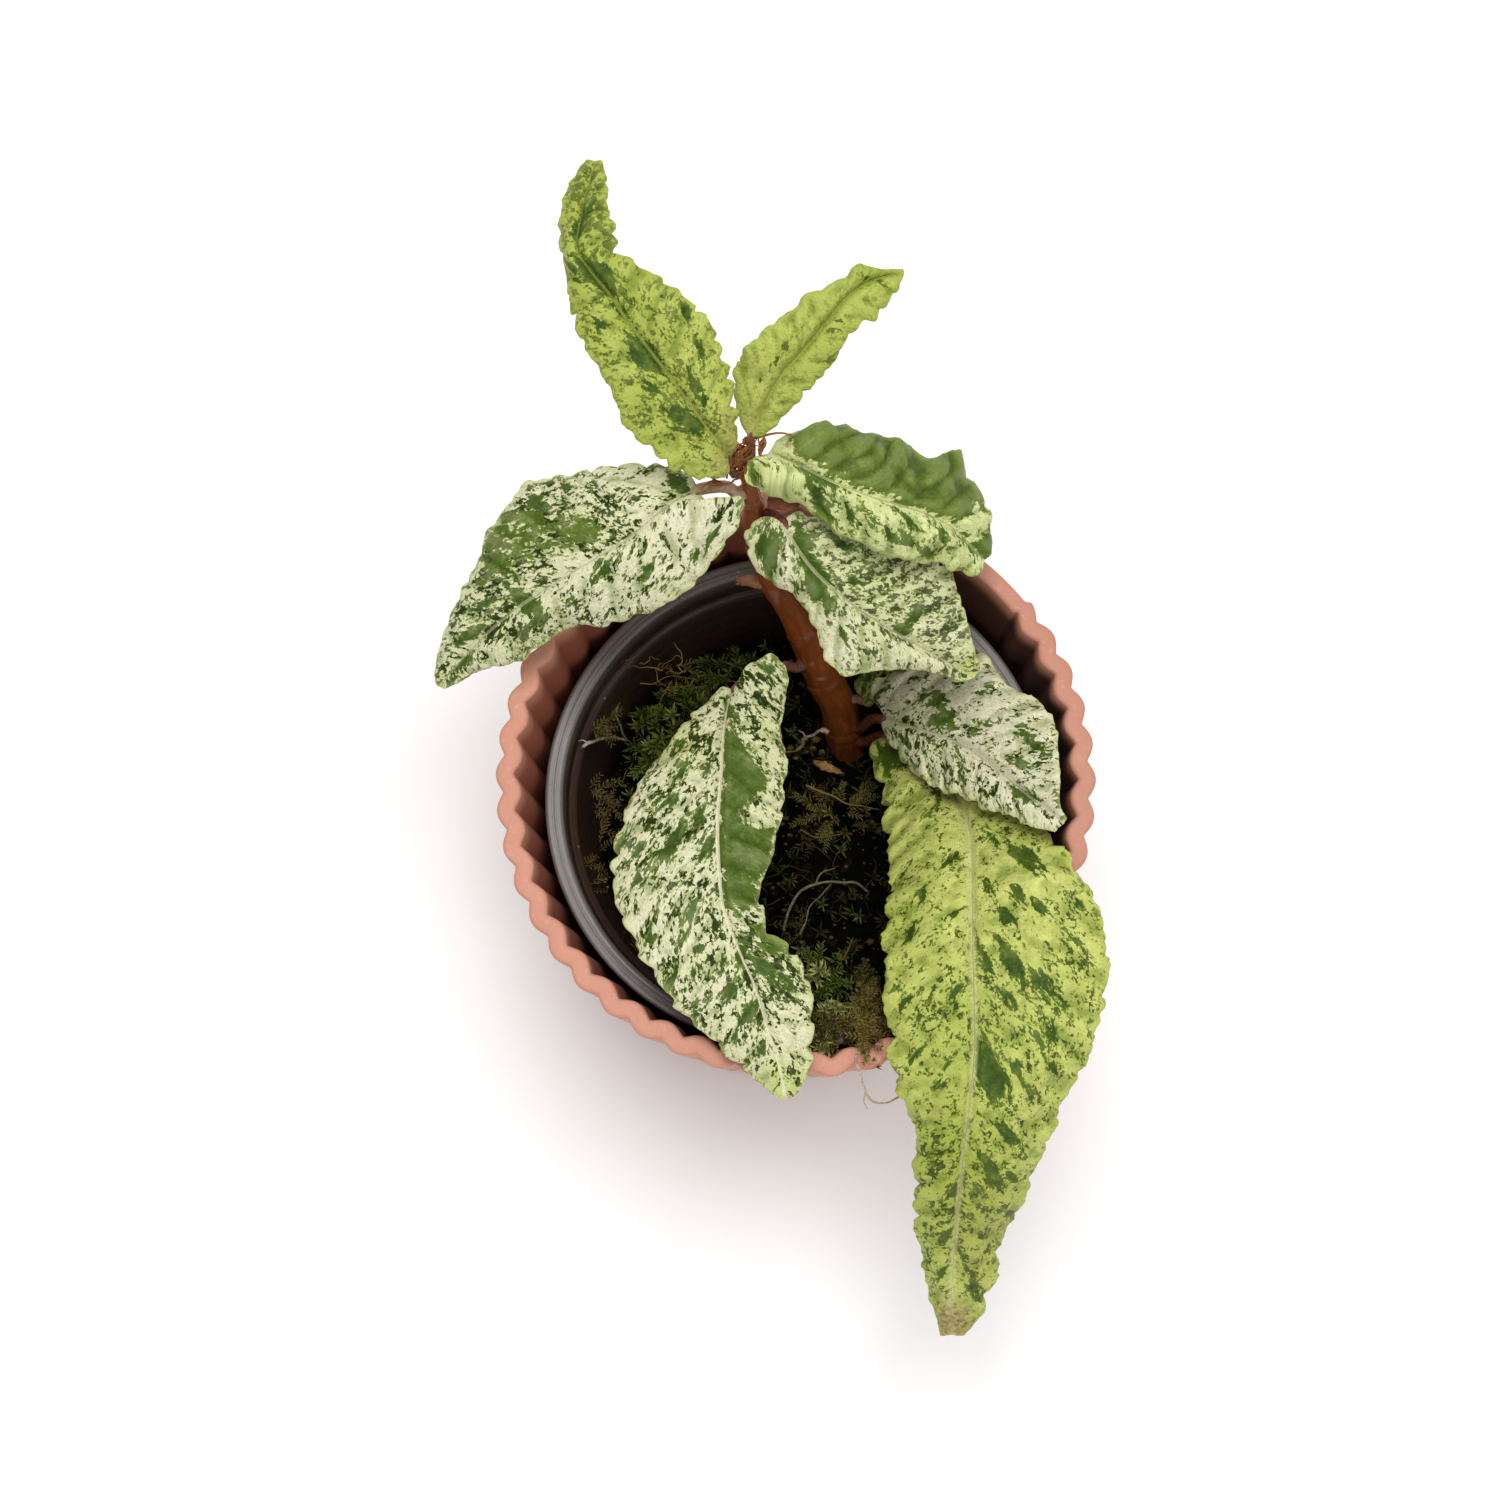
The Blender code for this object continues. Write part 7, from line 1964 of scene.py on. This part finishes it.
    # growth on the nursery pot's wall
    heap = Heap()
    for u0, v0, u1, v1, count, tone, dead in ((565, 862, 600, 892, 22, 0.16, 0.6), (589, 712, 611, 738, 14, 0.30, 0.35),
                                              (590, 784, 613, 815, 16, 0.16, 0.7), (622, 948, 638, 967, 12, 0.55, 0.1),
                                              (646, 664, 700, 690, 6, 0.3, 0.5), (596, 830, 616, 860, 8, 0.2, 0.6),
                                              (640, 960, 690, 1000, 10, 0.3, 0.3)):
        for k in range(count):
            u, v = rng.uniform(u0, u1), rng.uniform(v0, v1)
            p = on_wall(u, v, 0.35)
            inward = unit(np.array([NP_X - p[0], NP_Y - p[1], 0.0]))
            side = np.array([-inward[1], inward[0], 0.0])
            d = inward * 0.5 + side * rng.normal() + np.array([0, 0, rng.uniform(-0.6, 0.9)])
            path = np.array([p, p + unit(d) * 1.1 + inward * 0.2, p + unit(d) * 2.1 + inward * 0.45])
            feather(heap, path, rng.uniform(0.6, 1.1), rng, tone * rng.uniform(0.6, 1.3), dead, 0.45)
    for u, v in ((605, 882), (608, 887), (606, 879)):
        chip(heap, on_wall(u, v, 0.3), 0.22, rng, 1.0, 1.0)
    show(heap.finish("wall_moss", BROWN, 50.0), slot="moss_brown")

    # the tuft that climbs the front wall and leans over the rims
    heap = Heap()
    run = ((866, 968, 36.5, 2.2), (867, 980, 44.0, 2.0), (867, 991, 51.0, 1.7), (866, 1005, 58.2, 1.5),
           (867, 1026, 64.5, 1.2), (869, 1050, 70.2, 1.2), (872, 1065, 70.2, 1.0), (874, 1078, 69.8, 0.6))
    pts = spline(run_of(run), 60)
    rad = spline([(p[3], 0.0, i * 5.0) for i, p in enumerate(run)], 60)[:, 0]
    s, w, t = carried(pts)
    for k in range(120):
        i = int(rng.integers(6, 52))
        if i < 24 and k % 3:
            continue
        ang = rng.uniform(0, 6.28)
        out = s[i] * math.cos(ang) + w[i] * math.sin(ang)
        base = pts[i] + out * rad[i] * 0.3
        d = unit(out + t[i] * rng.uniform(-0.3, 0.7) + np.array([0.0, -0.1, 0.25]))
        reach = rng.uniform(1.0, 2.3) * (0.75 + 0.35 * (i > 22))
        tip_at = base + d * reach + rng.normal(0, 0.2, 3)
        if i < 22 and math.hypot(tip_at[0] - NP_X, tip_at[1] - NP_Y) > wall_radius(tip_at[2]) - 0.4:
            continue
        feather(heap, np.array([base, base + d * reach * 0.5 + rng.normal(0, 0.15, 3), tip_at]),
                rng.uniform(0.6, 1.0), rng, rng.uniform(0.25, 1.0) * (0.45 if i < 24 else 1.0),
                (0.1 if i < 24 else 0.55) + 0.35 * rng.random(), 0.42, 0.07)
    for k in range(34):
        i = rng.integers(0, 46)
        span = int(rng.integers(7, 15))
        a0, a1 = rng.uniform(0, 6.28, 2)
        r0 = rad[i] * rng.uniform(0.1, 0.9)
        idx = np.minimum(np.arange(i, i + span), 59)
        f = np.linspace(0, 1, span)
        ang = a0 + (a1 - a0) * f * 0.35
        r = r0 + (rad[idx[-1]] * rng.uniform(0.5, 1.25) - r0) * f
        path = pts[idx] + s[idx] * (np.cos(ang) * r)[:, None] + w[idx] * (np.sin(ang) * r)[:, None]
        if length_of(path)[-1] < 0.8:
            continue
        feather(heap, path, rng.uniform(0.55, 0.95), rng, rng.uniform(0.3, 0.95) * (0.5 if i < 22 else 1.0),
                0.2 if (i < 22 or rng.random() < 0.4) else 0.85, 0.45, 0.07)
    for k in range(30):
        i = rng.integers(20, 58)
        ang = rng.uniform(0, 6.28)
        d = s[i] * math.cos(ang) + w[i] * math.sin(ang)
        rosette(heap, pts[i] + d * rad[i] * 0.7, d + np.array([0, -0.2, 0.8]), rng.uniform(0.6, 0.95), 9, rng,
                rng.uniform(0.4, 1.0), 0.35)
    show(heap.finish("rim_moss_tuft", BROWN, 50.0), "moss_over_rim", slot="moss_brown")

    # moss that covers the nursery pot's rim on both sides of the tuft
    heap = Heap()
    for k in range(190):
        u = rng.uniform(806, 892)
        mid = 1.0 - abs(u - 852) / 46.0
        v = rng.uniform(1010, 1046) + 6 * mid
        z = 55.3 if v > 1016 else 52.0
        p = place(u, v, z)
        r = math.hypot(p[0] - NP_X, p[1] - NP_Y)
        if r < 30.4 or r > 34.6:
            continue
        p = p + np.array([0, 0, rng.uniform(-0.2, 0.8 + 1.2 * mid)])
        brown = float(np.clip((u - 826) / 40.0, 0.05, 0.8)) * rng.uniform(0.6, 1.2)
        tone = rng.uniform(0.15, 0.8)
        if k % 2:
            rosette(heap, p, [rng.normal() * 0.6, rng.normal() * 0.6 - 0.2, 1.0], rng.uniform(0.8, 1.6), 8, rng,
                    tone, min(1.0, brown), 0.17)
        else:
            a = rng.uniform(0, 6.28)
            d = np.array([math.cos(a), math.sin(a), rng.uniform(0.1, 0.7)]) * rng.uniform(1.2, 2.6)
            feather(heap, np.array([p, p + d * 0.5 + [0, 0, 0.3], p + d]), rng.uniform(0.6, 1.0), rng, tone,
                    min(1.0, brown), 0.45, 0.06)
    show(heap.finish("rim_moss_cover", BROWN, 50.0), slot="moss_brown")

    # pale-tipped tufts that stand up against the front wall
    heap = Heap()
    for u, v, z, count in ((831, 1014, 46.0, 11), (863, 1006, 46.0, 8), (845, 1010, 44.0, 6), (822, 1042, 55.6, 7),
                           (818, 972, 39.5, 4)):
        for k in range(count):
            p = place(u + rng.uniform(-8, 8), v + rng.uniform(-9, 9), z + rng.uniform(-1.5, 1.5))
            r = math.hypot(p[0] - NP_X, p[1] - NP_Y)
            if z < 54 and r > wall_radius(p[2]) - 0.9:
                p[:2] = [NP_X, NP_Y] + (p[:2] - [NP_X, NP_Y]) * (wall_radius(p[2]) - 0.9) / r
            foot = p - np.array([0.0, -0.9, rng.uniform(2.0, 4.5) if z < 54 else 0.8])
            feather(heap, np.array([foot, (foot + p) / 2 + rng.normal(0, 0.2, 3), p]), rng.uniform(0.7, 1.1), rng,
                    0.5, 0.1, 0.5, 0.06)
            rosette(heap, p, [rng.normal() * 0.45, rng.normal() * 0.45 - 0.25, 1.0], rng.uniform(1.2, 2.0), 8, rng,
                    1.25, 0.0, 0.15)
    show(heap.finish("pale_tipped_moss", PALE_TIPS, 50.0), slot="moss_green")


moss()


# ------------------------------------------------------------ floor and light
def floor():
    m = Shade("pale_floor", rough=0.9, spec=0.1)
    at = m.place_mm()
    col = m.mix(m.span(m.noise(at, 0.004, 2.0), 0.3, 0.7), (0.97, 0.97, 0.968), (0.98, 0.98, 0.978))
    mat = m.finish(col, None, m.bump(m.noise(at, 0.4, 2.0), 0.02, 0.2))
    ang = 2 * math.pi * np.arange(96) / 96
    radii = [0.0, 60.0, 200.0, 600.0, 1500.0]
    verts = [np.array([[0.0, 0.0, -0.25]])]
    for r in radii[1:]:
        verts.append(np.stack([r * np.cos(ang), r * np.sin(ang), ang * 0 - 0.25], -1))
    verts = np.vstack(verts)
    j = np.arange(96)
    tris = np.stack([j * 0, 1 + j, 1 + (j + 1) % 96], -1)
    quads = grid_faces(len(radii) - 1, 96, 1, closed=True, flip=True)
    ob = build("pale_floor", verts, quads, tris, None, None, mat)


floor()

world = bpy.data.worlds.new("studio")
bpy.context.scene.world = world
world.use_nodes = True
sky = world.node_tree.nodes["Background"]
sky.inputs["Color"].default_value = (1.0, 1.0, 1.0, 1.0)
sky.inputs["Strength"].default_value = 0.66


def softbox(name, at, size, power, aim=(0.0, 0.0, 45.0), colour=(1.0, 1.0, 1.0)):
    data = bpy.data.lights.new(name, "AREA")
    data.shape = "DISK"
    data.size = size * MM
    data.energy = power
    data.color = colour
    ob = bpy.data.objects.new(name, data)
    bpy.context.scene.collection.objects.link(ob)
    here = np.array(at, float)
    ob.location = here * MM
    from mathutils import Vector
    ob.rotation_euler = Vector(np.array(aim) - here).to_track_quat("-Z", "Y").to_euler()


softbox("key_softbox", (5.0, 90.0, 660.0), 290.0, 2.3)
softbox("fill_softbox", (380.0, -260.0, 420.0), 520.0, 0.45)

camera = bpy.data.cameras.new("camera")
camera.lens = 57.58
camera.sensor_width = 36.0
camera.clip_start = 0.01
camera.clip_end = 10.0
eye = bpy.data.objects.new("camera", camera)
eye.location = (-0.0061, -0.063, 0.381)
eye.rotation_euler = (math.radians(12.0), 0.0, 0.0)
bpy.context.scene.collection.objects.link(eye)
bpy.context.scene.camera = eye
bpy.context.scene.view_settings.view_transform = "Standard"
